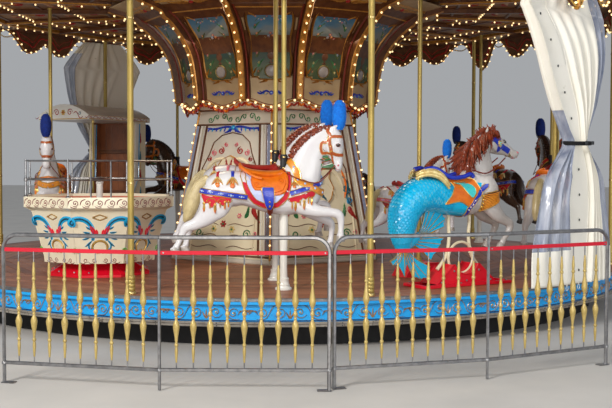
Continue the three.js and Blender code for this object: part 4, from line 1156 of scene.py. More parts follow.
# Cream with painted sunlight: a lighter, warmer tone for the lower rows of the lower drum's wall
CREAM_PAINTED_SUNLIT = finish_of("cream_painted_sunlight", (0.74, 0.66, 0.46), (0.66, 0.57, 0.38), 0.5, scale=4, grain=70, depth=0.002)
UPPER_PROFILE = [(1.185, 2.25), (1.19, 2.42), (1.205, 2.555), (1.253, 2.815), (1.335, 3.01), (1.481, 3.2),
                 (1.659, 3.35),
                 (1.872, 3.43), (2.065, 3.48), (2.08, 3.4997)]
LOWER_PROFILE = [(1.42, 0.4558), (1.35, 0.76), (1.05, 2.25), (1.025, 2.4)]


def graded_ground():
    """Painted ground that goes from blue over haze to dark leaf green with height, brushed unevenly."""
    mat, nodes, links, shader = new_material("painted_ground")
    coords = nodes.new("ShaderNodeTexCoord").outputs["Object"]
    split = nodes.new("ShaderNodeSeparateXYZ")
    links.new(coords, split.inputs["Vector"])
    brush = noise(nodes, links, coords, 3.2, 6.0, (1, 1, 2.5))
    add = nodes.new("ShaderNodeMath")
    add.operation = "MULTIPLY_ADD"
    add.inputs[1].default_value = 0.34
    links.new(brush, add.inputs[0])
    links.new(split.outputs["Z"], add.inputs[2])
    fit = nodes.new("ShaderNodeMapRange")
    fit.inputs["From Min"].default_value = 2.72
    fit.inputs["From Max"].default_value = 3.5
    links.new(add.outputs[0], fit.inputs["Value"])
    ramp = nodes.new("ShaderNodeValToRGB")
    stops = ((0.0, (0.03, 0.05, 0.015)), (0.22, (0.06, 0.09, 0.025)), (0.42, (0.02, 0.05, 0.035)),
             (0.58, (0.03, 0.08, 0.09)),
             (0.72, (0.22, 0.24, 0.22)), (0.85, (0.08, 0.2, 0.3)), (1.0, (0.03, 0.12, 0.24)))
    elements = ramp.color_ramp.elements
    elements[0].position, elements[0].color = stops[0][0], (*stops[0][1], 1)
    elements[1].position, elements[1].color = stops[-1][0], (*stops[-1][1], 1)
    for place, colour in stops[1:-1]:
        elements.new(place).color = (*colour, 1)
    links.new(fit.outputs["Result"], ramp.inputs["Fac"])
    links.new(ramp.outputs["Color"], shader.inputs["Base Color"])
    shader.inputs["Roughness"].default_value = 0.42
    shader.inputs["Coat Weight"].default_value = 0.2
    bump(nodes, links, shader, noise(nodes, links, coords, 60.0, 3.0, (1, 1, 3)), 0.4, 0.002)
    return mat


def flare_points():
    """Arc length, corner radius, height and outward direction along the upper drum's profile."""
    fine = smooth_path([(r, z, 0) for r, z in UPPER_PROFILE], 4)
    out, walk = [], 0.0
    for i, p in enumerate(fine):
        if i:
            walk += (p - fine[i - 1]).length
        d = (fine[min(i + 1, len(fine) - 1)] - fine[max(i - 1, 0)]).normalized()
        out.append((walk, p.x, p.y, d.y, -d.x))
    return out


FLARE = flare_points()
FLARE_LENGTH = FLARE[-1][0]


def flare_at(v):
    v = min(max(v, 0.0), FLARE_LENGTH)
    for a, b in zip(FLARE, FLARE[1:]):
        if v <= b[0]:
            t = (v - a[0]) / max(b[0] - a[0], 1e-9)
            return [x + (y - x) * t for x, y in zip(a, b)]
    return FLARE[-1]


def flare_side(index):
    """Maps (across, distance up the curved wall) onto one panel of the upper drum."""
    angle = BAY * index
    out, along = Vector((sin(angle), -cos(angle), 0)), Vector((cos(angle), sin(angle), 0))

    def put(u, v, h):
        _, r, z, nr, nz = flare_at(v)
        extra = min(v, 0.0)
        return out * (r * cos(BAY / 2) + nr * h) + along * u + Vector((0, 0, z + nz * h + extra))
    return put


def patch(shape, width_at, v0, v1, mapper, h, mat, rows=14, cols=6):
    """A skin between two sides that change their width along the way."""
    verts, faces = [], []
    for i in range(rows + 1):
        v = v0 + (v1 - v0) * i / rows
        w = width_at(v)
        verts += [mapper(w * (-1 + 2 * j / cols), v, h) for j in range(cols + 1)]
    for i in range(rows):
        faces += [(i * (cols + 1) + j, i * (cols + 1) + j + 1, (i + 1) * (cols + 1) + j + 1,
                   (i + 1) * (cols + 1) + j)
                  for j in range(cols)]
    return shape.add(verts, faces, mat)


def drum_edge(share):
    """How far above the wall's foot its scalloped edge runs."""
    return 0.01 + 0.08 * (1 - cos(pi * min(abs(share), 1.0))) / 2


def painted_picture(shape, put, ground):
    """An urn with a flower garland on a graded ground, framed."""
    low, high = 0.365, 1.17
    width = lambda v: 0.196 + 0.05 * (v - low) / (high - low) + 0.012 * sin(3 * pi
        * (v - low) / (high - low))
    patch(shape, width, low, high, put, 0.009, ground, 32, 4)
    patch(shape, lambda v: 0.135, low - 0.03, low + 0.01, put, 0.008, ground, 4, 4)
    lifted = lambda u, v, h: put(u, v, h + 0.009)
    flowers = (GARLAND_RED, CREAM_GOLD, PINK, PALE_BLUE, ORANGE)
    for side in (-1, 1):
        for j, v in enumerate((0.42, 0.52, 0.63, 0.75, 0.87, 0.98)):
            u = side * (width(v) - 0.05 - 0.02 * sin(j * 1.7))
            acanthus(shape, u, v - 0.05, pi / 2 + side * 0.25, 0.12, lifted, 0.003, GREEN if j % 2
                     else OLIVE, side * 0.6, 2)
            rosette(shape, u - side * 0.012, v, 0.019, lifted, 0.005, flowers[(j + (side > 0)) % 5],
                    CREAM_GOLD)
        carve(shape, arc_curve(side * 0.02, 1.08, side * 0.17, 1.02, side * 0.25), 0.014, lifted, 0.003,
              OLIVE)
        for t in range(5):
            rosette(shape, side * (0.03 + 0.032 * t), 1.1 - 0.012 * t * (4 - t), 0.016, lifted, 0.005,
                    flowers[t], CREAM_GOLD, 5)
    for v, w, tall in ((0.52, 0.03, 0.012), (0.545, 0.012, 0.02), (0.6, 0.045, 0.05), (0.665, 0.055, 0.04),
                       (0.7, 0.035, 0.014)):
        dome(shape, 0, v, tall, lifted, 0.004, BROWN_FRAME, 10, w / tall)
    for j, (u, v) in enumerate(((0, 0.8), (-0.04, 0.77), (0.042, 0.775), (-0.022, 0.835), (0.026, 0.84),
                                (0.0, 0.875), (-0.06, 0.815),
                                (0.063, 0.82))):
        acanthus(shape, u * 0.4, 0.71, pi / 2 - u * 9, 0.12, lifted, 0.003, GREEN, 0.1, 2)
        rosette(shape, u, v, 0.021, lifted, 0.006, flowers[j % 5], CREAM_GOLD)
    for side in (-1, 1):
        line = [(side * (width(v) + 0.012), v) for v in (low + (high - low) * i / 16 for i in range(17))]
        carve(shape, line, 0.03, put, 0.02, GILT, 0)
        carve(shape, [(u + side * 0.022, v) for u, v in line], 0.016, put, 0.026, BROWN_FRAME, 0)
        carve(shape, [(side * (width(low) + 0.03), low - 0.008), (side * 0.16, low - 0.01),
                      (side * 0.14, low - 0.034),
                      (0, low - 0.038)], 0.024, put, 0.02, GILT, 0)
        carve(shape, [(side * (width(high) + 0.02), high), (side * 0.2, high + 0.016),
                      (side * 0.16, high + 0.024), (0, high + 0.026)],
              0.028, put, 0.02, GILT, 0)
        acanthus(shape, side * (width(high) - 0.01), high - 0.01, pi / 2 + side * 2.2, 0.09, lifted, 0.012,
                 GILT, 0, 2)
        acanthus(shape, side * (width(low) + 0.01), low + 0.03, pi / 2 + side * 0.5, 0.08, lifted, 0.012,
                 GILT, 0, 2)
        acanthus(shape, side * 0.04, low - 0.045, -side * 0.3 + (0 if side > 0 else pi), 0.1, put, 0.012,
                 GILT, 0, 2)
    # Round lamp glass near the picture's foot
    ring = [(0.073 * cos(tau * j / 24), 0.425 + 0.073 * sin(tau * j / 24)) for j in range(25)]
    carve(shape, ring, 0.016, lifted, 0.012, BRASS, 0)
    dome(shape, 0, 0.425, 0.068, lifted, 0.02, LAMP_GREY, 20)


def make_upper_drum():
    drum = Shape()
    ground = graded_ground()
    for k in range(BAYS):
        put = flare_side(k)
        angle = BAY * k
        verts, faces = [], []
        cols = 8
        levels = [None] + [v for v, *_ in FLARE if v > 0.1]
        for v in levels:
            for j in range(cols + 1):
                share = -1 + 2 * j / cols
                real = drum_edge(share) if v is None else v
                verts.append(put(share * flare_at(real)[1] * sin(BAY / 2), real, 0))
        for i in range(len(levels) - 1):
            faces += [(i * (cols + 1) + j, i * (cols + 1) + j + 1, (i + 1) * (cols + 1) + j + 1,
                       (i + 1) * (cols + 1) + j)
                      for j in range(cols)]
        drum.add(verts, faces, PANEL_TAN)
        back = [put(s * flare_at(v)[1] * sin(BAY / 2), v, -0.02) for v in (0.09, 0.5, 1.0, 1.5)
                for s in (-1, 1)]
        drum.add(back, [(0, 2, 3, 1), (2, 4, 5, 3), (4, 6, 7, 5)], BROWN_FRAME)
        painted_picture(drum, put, ground)

        # Blue flourish under the picture
        lifted = lambda u, v, h: put(u, v, h + 0.001)
        dome(drum, 0, 0.175, 0.026, lifted, 0.016, ROYAL, 10)
        dome(drum, 0, 0.175, 0.012, lifted, 0.022, PALE_BLUE, 8)
        for side in (-1, 1):
            carve(drum, s_curve(side * 0.02, 0.175, side * 0.165, 0.185, side * 0.13), 0.024, lifted,
                  0.012, ROYAL)
            for j in range(3):
                leaf(drum, side * (0.04 + 0.035 * j), 0.178, pi / 2 - side * (0.6 + 0.2 * j), 0.036, 0.014,
                     lifted, 0.01, ROYAL)
                leaf(drum, side * (0.045 + 0.035 * j), 0.172, -pi / 2 + side * (0.7 + 0.1 * j), 0.03,
                     0.013, lifted, 0.01, LEAF_BLUE)
        # Carved foot edge with a red swag under the lamps
        half = lambda v: flare_at(v)[1] * sin(BAY / 2)
        edge = [(s * half(0.0) * 0.99, drum_edge(s)) for s in (-1 + j / 12 for j in range(25))]
        carve(drum, edge, 0.022, put, 0.014, GILT, 0.02)
        carve(drum, [(u, v + 0.028) for u, v in edge], 0.012, put, 0.008, RED_BROWN, 0.02)
        for j in range(8):
            s0, s1 = -0.98 + 0.245 * j, -0.98 + 0.245 * (j + 1)
            a, b = s0 * half(0.0), s1 * half(0.0)
            va, vb = drum_edge(s0) - 0.018, drum_edge(s1) - 0.018
            line = [(a + (b - a) * t, va + (vb - va) * t - 0.034 * sin(pi * t))
                    for t in (i / 8 for i in range(9))]
            carve(drum, line, 0.026, lambda u, v, h: put(u, v, h - 0.004), 0.012, GARLAND_RED if j % 2
                  else ORANGE, 0.1)
            leaf(drum, a, va, -pi / 2, 0.055, 0.016, lambda u, v, h: put(u, v, h - 0.004), 0.012,
                 GARLAND_RED)
        # Crown moulding where the wall meets the ceiling
        for v, w, h, mat in ((1.26, 0.05, 0.03, GILT), (1.33, 0.03, 0.02, BROWN_FRAME),
                             (1.5, 0.04, 0.02, GILT)):
            r = half(v)
            carve(drum, [(-r, v), (0, v), (r, v)], w, put, h, mat, 0)
        for side in (-1, 1):
            acanthus(drum, side * 0.04, 1.415, 0 if side > 0 else pi, 0.26, put, 0.012, GILT, side * 0.2)
            line = [(side * (half(v) - 0.062), v) for v in (0.1 + 1.12 * i / 18 for i in range(19))]
            carve(drum, line, 0.022, put, 0.03, BROWN_FRAME, 0)
        dome(drum, 0, 1.415, 0.03, put, 0.02, GARLAND_RED, 10)

        # Rib on the corner to the right of the panel, with its lamps
        corner = angle + BAY / 2
        out, along = Vector((sin(corner), -cos(corner), 0)), Vector((cos(corner), sin(corner), 0))
        deep, w = 0.105, 0.04

        def rib(u, v, h, out=out, along=along):
            _, r, z, nr, nz = flare_at(v)
            return out * (r + nr * h) + along * u + Vector((0, 0, z + nz * h))
        verts = []
        rows = [0.1 + (FLARE_LENGTH - 0.12) * i / 20 for i in range(21)]
        section = ((-w, -0.03), (-w, deep - 0.012), (-w + 0.008, deep), (-w + 0.014, deep - 0.006),
                   (w - 0.014, deep - 0.006),
                   (w - 0.008, deep), (w, deep - 0.012), (w, -0.03))
        for v in rows:
            fade = 0.55 if v > 1.3 else 1.0
            verts += [rib(u, v, h * fade if h > 0 else h) for u, h in section]
        for a, mat in ((0, BROWN_FRAME), (1, GILT), (2, GILT), (3, GILT), (4, GILT), (5, GILT),
                       (6, BROWN_FRAME)):
            strip = [(i * 8 + a, i * 8 + a + 1, i * 8 + a + 9, i * 8 + a + 8) for i in range(20)]
            drum.add(verts, strip, mat)
        drum.add(verts[:8], [tuple(range(8))], GILT)
        for side in (-1, 1):
            line = [rib(side * (w + 0.012), v, 0.02) for v in rows if v < 1.3]
            tube(drum, line, 0.012, RED_BROWN, 6)
        turned(drum, [(0.0, -0.02), (0.02, -0.008), (0.03, 0.012), (0.026, 0.03)], GILT,
               rib(0, 0.085, 0.06), 10)
    piece(drum, "upper_drum_carved", "platform", ["upper_drum"], "gilt_frame", 34)

    lamps = Shape()
    for k in range(BAYS):
        corner = BAY * (k + 0.5)
        out = Vector((sin(corner), -cos(corner), 0))
        v = 0.14
        while v < FLARE_LENGTH - 0.05:
            _, r, z, nr, nz = flare_at(v)
            fade = 0.55 if v > 1.3 else 1.0
            lamp(lamps, out * (r + nr * 0.099 * fade) + Vector((0, 0, z + nz * 0.099 * fade)),
                 out * nr + Vector((0, 0, nz)))
            v += 0.135
        put = flare_side(k)
        for j in range(7):
            s = -0.88 + 1.76 * j / 6
            v = drum_edge(s)
            p = put(s * flare_at(v)[1] * sin(BAY / 2), v + 0.004, 0.012)
            lamp(lamps, p, Vector((sin(BAY * k), -cos(BAY * k), -0.25)), 0.016)
    piece(lamps, "upper_drum_lamps", "platform", (), "gilt_frame", 50)


def make_lower_drum():
    drum = Shape()
    radius_at = steps_of(LOWER_PROFILE)
    for k in range(6):
        put = side_of(k, radius_at, 6, pi / 6)
        half = lambda z: radius_at(z) * 0.5
        heights = [0.4558, 0.6, 0.76, 1.0, 1.25, 1.5, 1.75, 2.0, 2.25, 2.4]
        verts = [put(s * half(z), z, 0) for z in heights for s in (-1, -0.5, 0, 0.5, 1)]
        lower = [(i * 5 + j, i * 5 + j + 1, i * 5 + j + 6, i * 5 + j + 5) for i in range(5)
                 for j in range(4)]
        upper = [(i * 5 + j, i * 5 + j + 1, i * 5 + j + 6, i * 5 + j + 5) for i in range(5, 9)
                 for j in range(4)]
        # One cream wall: its lower rows are painted as sunlit and its upper rows as in shade
        drum.add(verts, lower, CREAM_PAINTED_SUNLIT)
        drum.add(verts, upper, GREY_CREAM_AND_SHADE)
        line = lambda pts, w, h, mat, e=0.0: carve(drum, pts, w, put, h, mat, e)
        # Plinth, rails and frieze
        line([(-half(0.48), 0.485), (half(0.48), 0.485)], 0.055, 0.02, GREY_CREAM_AND_SHADE)
        line([(-half(0.54), 0.54), (half(0.54), 0.54)], 0.026, 0.026, BROWN_FRAME)
        line([(-half(2.08), 2.072), (half(2.08), 2.072)], 0.026, 0.018, BROWN_FRAME)
        line([(-half(2.24), 2.245), (half(2.24), 2.245)], 0.026, 0.018, BROWN_FRAME)
        for j in range(4):
            u = -0.3 + 0.2 * j
            way = 1 if j % 2 else -1
            line(volute(u - 0.045, 2.15 + way * 0.018, 0.034, 0.012, pi / 2 * way, way * 0.9), 0.017,
                 0.012, GREEN, 0.1)
            line(volute(u + 0.045, 2.15 - way * 0.012, 0.03, 0.01, -pi / 2 * way, way * 0.9), 0.017, 0.012,
                 GREEN, 0.1)
            line(s_curve(u - 0.045, 2.15 + way * 0.05, u + 0.045, 2.15 - way * 0.04, way * 0.1), 0.016,
                 0.012, GREEN, 0.1)
        # Blue garland with a bow in its middle
        for side in (-1, 1):
            line(s_curve(0.0, 2.035, side * 0.38, 2.03, side * 0.03), 0.03, 0.014, ROYAL, 0.05)
            for j in range(6):
                u = side * (0.05 + 0.06 * j)
                leaf(drum, u, 2.035, -pi / 2 + side * 0.4, 0.055, 0.026, put, 0.014, ROYAL if j % 2
                     else LEAF_BLUE)
            acanthus(drum, side * 0.02, 2.02, -pi / 2 + side * 0.9, 0.12, put, 0.014, ROYAL, side * 0.4, 2)
        dome(drum, 0, 2.035, 0.03, put, 0.022, LEAF_BLUE, 10)
        # Corner strips, fluted pilasters and the arched frame
        for side in (-1, 1):
            zs = [0.56, 0.76, 1.2, 1.6, 2.0, 2.06]
            edge = lambda d: [(side * (half(z) - d), z) for z in zs]
            a, b = edge(0.004), edge(0.05)
            flat = [put(u, v, 0.012) for pair in zip(a, b) for u, v in pair]
            drum.add(flat, [(i * 2, i * 2 + 1, i * 2 + 3, i * 2 + 2) for i in range(5)], LILAC_MIRROR)
            for d, w, h, mat in ((0.055, 0.014, 0.024, BROWN_FRAME), (0.08, 0.018, 0.014, WHITE_PAINT),
                                 (0.105, 0.018, 0.014, GREY_CREAM_AND_SHADE),
                                 (0.13, 0.018, 0.014, WHITE_PAINT), (0.158, 0.02, 0.03, BROWN_FRAME)):
                line(edge(d), w, h, mat)
            arch = [(side * (half(1.1) - 0.2), 1.1), (side * (half(1.55) - 0.2), 1.55),
                    (side * 0.31, 1.72), (side * 0.26, 1.86),
                    (side * 0.15, 1.945), (0, 1.975)]
            line(arch, 0.018, 0.014, BROWN_FRAME, 0)
            # Crest scrolls in red and pink over a cream shell
            for (u, v, r, way, mat) in ((0.14, 1.76, 0.05, 1, GARLAND_RED),
                                        (0.235, 1.735, 0.042, -1, PINK), (0.3, 1.66, 0.034, 1, GARLAND_RED),
                                        (0.07, 1.83, 0.03, -1, PINK)):
                line(volute(side * u, v, r, r * 0.2, pi / 2, side * way * 1.5), r * 0.36, 0.016, mat, 0.1)
            line(arc_curve(side * 0.05, 1.66, side * 0.33, 1.52, side * 0.18), 0.05, 0.03, CREAM, 0.2)
            line(arc_curve(side * 0.1, 1.58, side * 0.34, 1.3, side * 0.16), 0.06, 0.03, CREAM, 0.2)
            line(arc_curve(side * 0.33, 1.54, side * 0.35, 1.2, side * 0.12), 0.03, 0.022, ORANGE, 0.15)
            line(volute(side * 0.4, 1.3, 0.06, 0.012, pi / 2, side * 1.6), 0.024, 0.02, TEAL, 0.1)
            line(volute(side * 0.42, 1.17, 0.045, 0.01, -pi / 2, -side * 1.5), 0.02, 0.02, LEAF_BLUE, 0.1)
            line(s_curve(side * 0.34, 1.46, side * 0.45, 1.1, side * 0.1), 0.022, 0.02, TEAL, 0.1)
            acanthus(drum, side * 0.4, 1.1, -pi / 2 + side * 0.3, 0.2, put, 0.02, GARLAND_RED, side * 0.5)
            acanthus(drum, side * 0.08, 1.42, pi / 2 - side * 0.9, 0.22, put, 0.024, CREAM_GOLD, side * 0.5)
            acanthus(drum, side * 0.08, 1.4, -pi / 2 + side * 1.0, 0.24, put, 0.024, CREAM, -side * 0.5)
            for j in range(3):
                z = 0.62 + 0.13 * j
                line(s_curve(side * 0.06, z, side * (half(z) - 0.22), z + 0.03, side * 0.05), 0.012, 0.01,
                     BROWN_FRAME, 0.1)
            line([(side * (half(0.9) - 0.21), 0.58), (side * (half(0.98) - 0.21), 0.98)], 0.02, 0.016,
                 CREAM, 0)
            acanthus(drum, side * 0.3, 0.98, pi / 2 - side * 0.6, 0.16, put, 0.016, GREEN, side * 0.6)
            rosette(drum, side * 0.22, 1.0, 0.034, put, 0.018, PINK, CREAM_GOLD)
            rosette(drum, side * 0.46, 0.8, 0.03, put, 0.016, PINK, GREEN)
            line(volute(side * 0.34, 0.79, 0.06, 0.012, 0, side * 1.4), 0.018, 0.014, GREEN, 0.1)
        # Cream cartouche in the middle of the panel
        cartouche = [(0.0, 1.7), (0.1, 1.66), (0.17, 1.56), (0.15, 1.44), (0.2, 1.33), (0.16, 1.2),
                     (0.08, 1.12), (0, 1.08)]
        outline = cartouche + [(-u, v) for u, v in reversed(cartouche[1:-1])]
        slab(drum, outline, put, 0.02, CREAM, 0.008, (0, 1.4))
        carve(drum, outline + outline[:1], 0.02, put, 0.03, GILT, 0)
        lifted = lambda u, v, h: put(u, v, h + 0.02)
        rosette(drum, 0, 1.42, 0.075, lifted, 0.03, PALE_BLUE, CREAM_GOLD, 8)
        for side in (-1, 1):
            acanthus(drum, 0, 1.3, -pi / 2 + side * 0.5, 0.16, lifted, 0.012, TEAL, side * 0.3, 2)
            acanthus(drum, 0, 1.53, pi / 2 - side * 0.5, 0.14, lifted, 0.012, GARLAND_RED, side * 0.3, 2)
        for (u, v) in ((0, 0.9), (-0.13, 0.84), (0.13, 0.84)):
            rosette(drum, u, v, 0.045, put, 0.018, CREAM_GOLD if u else GARLAND_RED, GREEN)
    z = 2.4
    turned(drum, [(1.0, z - 0.02), (1.02, z - 0.001), (0.99, z)], BROWN_FRAME, sides=6)
    piece(drum, "lower_drum_carved", "platform", ["lower_drum"], "drum_panel", 34)
    lamps = Shape()
    for k in range(6):
        a = tau * k / 6
        out = Vector((sin(a), -cos(a), 0))
        for j in range(14):
            z = 0.68 + 0.107 * j
            lamp(lamps, out * (radius_at(z) + 0.006) + Vector((0, 0, z)), out)
        tube(lamps, [out * (radius_at(z) + 0.002) + Vector((0, 0, z)) for z in (0.5, 0.76, 1.5, 2.24)],
             0.013, GILT, 8)
    piece(lamps, "lower_drum_lamps", "platform", (), "gilt_frame", 50)


def make_column():
    column = Shape()
    z0, z1, r = DECK_TOP + 0.0003, ROOF_TOP - 0.0003, 0.15
    turned(column, [(r, z0), (r, z0 + 0.04), (r - 0.01, z0 + 0.05), (r - 0.01, 2.2), (r - 0.004, 2.21),
                    (r - 0.004, 2.25),
                    (r - 0.01, 2.26), (r - 0.01, 3.4), (r, 3.42), (r, z1)], GALVANISED, sides=48)
    piece(column, "mast", "platform", ["centre_column"], "column_paint", 30)


# Carved animals

def resampled(stations, steps=4):
    """Rows of (x, y, z, half width, half depth) through the given ones, curved."""
    keys = [Vector((s[0], s[1], s[2])) for s in stations]
    path = smooth_path(keys, steps)
    sizes = smooth_path([(s[3], s[4], 0) for s in stations], steps)
    return [(p.x, p.y, p.z, max(w.x, 0.004), max(w.y, 0.004)) for p, w in zip(path, sizes)]


def flesh(shape, stations, mat, sides=16, steps=4, square=0.0):
    """A limb or trunk lofted through oval sections along a spine, with rounded ends."""
    rows = resampled(stations, steps)
    path = [Vector(r[:3]) for r in rows]
    last = len(rows) - 1
    verts, faces = [], []
    for i, (*_, w, d) in enumerate(rows):
        along = (path[min(i + 1, last)] - path[max(i - 1, 0)]).normalized()
        across = (Vector((0, 1, 0)) - along * along.y).normalized()
        up = across.cross(along).normalized()
        for k in range(sides):
            t = tau * k / sides
            c, s = cos(t), sin(t)
            bulge = 1 + square * (sin(2 * t) ** 2)
            verts.append(path[i] + across * (w * c * bulge) + up * (d * s * bulge))
    for i in range(last):
        a = i * sides
        faces += [(a + k, a + (k + 1) % sides, a + sides + (k + 1) % sides, a + sides + k)
                  for k in range(sides)]
    for end, flip in ((0, True), (last, False)):
        *_, w, d = rows[end]
        inner = path[1] if end == 0 else path[last - 1]
        tip = path[end] + (path[end] - inner).normalized() * min(w, d) * 0.55
        verts.append(tip)
        c, a = len(verts) - 1, end * sides
        faces += [((a + (k + 1) % sides, a + k, c) if flip else (a + k, a + (k + 1) % sides, c))
                  for k in range(sides)]
    return shape.add(verts, faces, mat)


def melt(shape, name, voxel=0.011, smooth=5, cut=None):
    """The shape's overlapping parts as one skin, smoothed, all in the shape's first material."""
    rough = shape.object(name + "_rough")
    mod = rough.modifiers.new("weld", "REMESH")
    mod.mode = "VOXEL"
    mod.voxel_size = voxel
    soften = rough.modifiers.new("soften", "SMOOTH")
    soften.factor = 0.5
    soften.iterations = smooth
    if cut:
        thin = rough.modifiers.new("thin", "DECIMATE")
        thin.ratio = cut
    done = rough.evaluated_get(bpy.context.evaluated_depsgraph_get()).to_mesh()
    out = Shape()
    verts = [v.co.copy() for v in done.vertices]
    faces = [tuple(p.vertices) for p in done.polygons]
    out.verts, out.faces, out.slots, out.mats = verts, faces, [0] * len(faces), [shape.mats[0]]
    rough.to_mesh_clear()
    bpy.data.objects.remove(rough)
    return out


def skin_tree(shape):
    return BVHTree.FromPolygons([tuple(v) for v in shape.verts], shape.faces)


def side_skin(tree, side, lift=0.0):
    """Maps a drawn (x, z) place onto the animal's left (+1) or right (-1) flank."""
    def put(x, z, h):
        hit = tree.ray_cast(Vector((x, side * 1.2, z)), Vector((0, -side, 0)))
        if hit[0] is None:
            near = tree.find_nearest(Vector((x, side * 0.05, z)))
            p, n = near[0], near[1]
        else:
            p, n = hit[0], hit[1]
        out = Vector((n.x * 0.5, n.y, n.z * 0.5))
        if out.y * side < 0.2:
            out = Vector((out.x, side * 0.2, out.z))
        return p + out.normalized() * (h + lift)
    return put


def strap(shape, tree, places, width, thick, mat, edge=None, edge_mat=None, steps=4):
    """A band laid on the skin along 3-D guide places, with raised borders if edge is given."""
    guide = smooth_path(places, steps)
    pts = []
    for p in guide:
        near = tree.find_nearest(p)
        pts.append((near[0], near[1].normalized()))
    n = len(pts)
    rows = []
    for i, (p, normal) in enumerate(pts):
        along = (pts[min(i + 1, n - 1)][0] - pts[max(i - 1, 0)][0])
        along = along.normalized() if along.length > 1e-7 else Vector((1, 0, 0))
        side = normal.cross(along).normalized()
        row = []
        for s in (-1.0, -0.86, 0.0, 0.86, 1.0):
            near = tree.find_nearest(p + side * (width / 2 * s))
            lift = near[1].normalized()
            row.append((near[0], lift))
        rows.append((row, side))
    verts, faces = [], []
    for row, side in rows:
        for (p, up), h in zip(row, (-0.003, thick * 0.8, thick, thick * 0.8, -0.003)):
            verts.append(p + up * h)
    for i in range(n - 1):
        faces += [(i * 5 + k, i * 5 + k + 1, i * 5 + k + 6, i * 5 + k + 5) for k in range(4)]
    shape.add(verts, faces, mat)
    if edge:
        for k in (0, 4):
            tube(shape, [row[k][0] + row[k][1] * thick * 0.6 for row, _ in rows], edge,
                 edge_mat or GOLD_LINE, 5)
    return [row[2][0] + row[2][1] * thick for row, _ in rows]


def sheet_on(shape, put, outline, thick, mat, edge=0.006, edge_mat=None):
    """A painted cloth or plate on the flank inside an outline of (x, z) points, with a bordering bead."""
    pts = [Vector(p) for p in outline]
    c = sum(pts, Vector((0, 0))) / len(pts)
    n = len(pts)
    rings = 5
    verts, faces = [], []
    for i in range(rings + 1):
        t = 1 - i / rings
        h = thick if i else -0.004
        for p in pts:
            q = c + (p - c) * (t if i else 1.0)
            verts.append(put(q.x, q.y, h if i == 0 else thick))
        if i == 0:
            for p in pts:
                q = c + (p - c) * 0.995
                verts.append(put(q.x, q.y, thick))
    total = rings + 2
    for i in range(total - 1):
        faces += [(i * n + k, i * n + (k + 1) % n, (i + 1) * n + (k + 1) % n, (i + 1) * n + k)
                  for k in range(n)]
    shape.add(verts, faces, mat)
    if edge_mat:
        line = [put(p.x, p.y, thick * 0.8) for p in smooth_path([(p.x, p.y, 0) for p in pts], 2, True)]
        tube(shape, line, edge, edge_mat, 6, closed=True)


def lock(shape, root, direction, length, width, mat, curl=0.8, sag=0.0, steps=9, out=(0, 1, 0)):
    """One carved lock of hair that tapers and curls."""
    p, d = Vector(root), Vector(direction).normalized()
    out = Vector(out).normalized()
    pts, radii = [], []
    for i in range(steps + 1):
        t = i / steps
        pts.append(p.copy())
        radii.append(width * (0.35 + 0.65 * sin(pi * min(t + 0.2, 1.0))) * (1 - 0.55 * t) + 0.001)
        d = (Matrix.Rotation(curl / steps, 3, out) @ d).normalized()
        d = (d + Vector((0, 0, -sag / steps))).normalized()
        p = p + d * (length / steps)
    return tube(shape, pts, radii, mat, 5, flat=0.62, up=out)


def feathers(shape, centre, tall, wide, mat, tilt=0.0):
    """A clipped plume: an egg of short overlapping tufts."""
    c = Vector(centre)
    spin = Matrix.Rotation(tilt, 3, "Y")
    core = []
    for j in range(13):
        t = j / 12
        core.append((wide * 0.93 * sin(pi * min(0.07 + 0.9 * t, 1.0)) ** 0.42, tall * (t - 0.5)))
    turned(shape, core, mat, c, 18, axis=spin @ Vector((0, 0, 1)))
    count = 190
    for j in range(count):
        t = (j + 0.5) / count
        z = 1 - 2 * t
        r = max(1 - z * z, 0) ** 0.5
        a = j * 2.399963
        d = Vector((r * cos(a), r * sin(a), z))
        full = max(1 - z * z, 0) ** 0.22
        place = Vector((cos(a) * full * wide * 0.88, sin(a) * full * wide * 0.88, d.z * tall * 0.455))
        push = (d + Vector((0, 0, 0.5))).normalized()
        size = wide * dice.uniform(0.2, 0.3)
        side = push.orthogonal().normalized()
        other = push.cross(side)
        base = place - push * size * 0.4
        tip = place + push * size * 0.55
        verts = [c + spin @ (base + side * size * 0.42), c + spin @ (base + other * size * 0.42),
                 c + spin @ (base - side * size * 0.42),
                 c + spin @ (base - other * size * 0.42), c + spin @ tip]
        shape.add(verts, [(0, 1, 4), (1, 2, 4), (2, 3, 4), (3, 0, 4)], mat)
    return shape


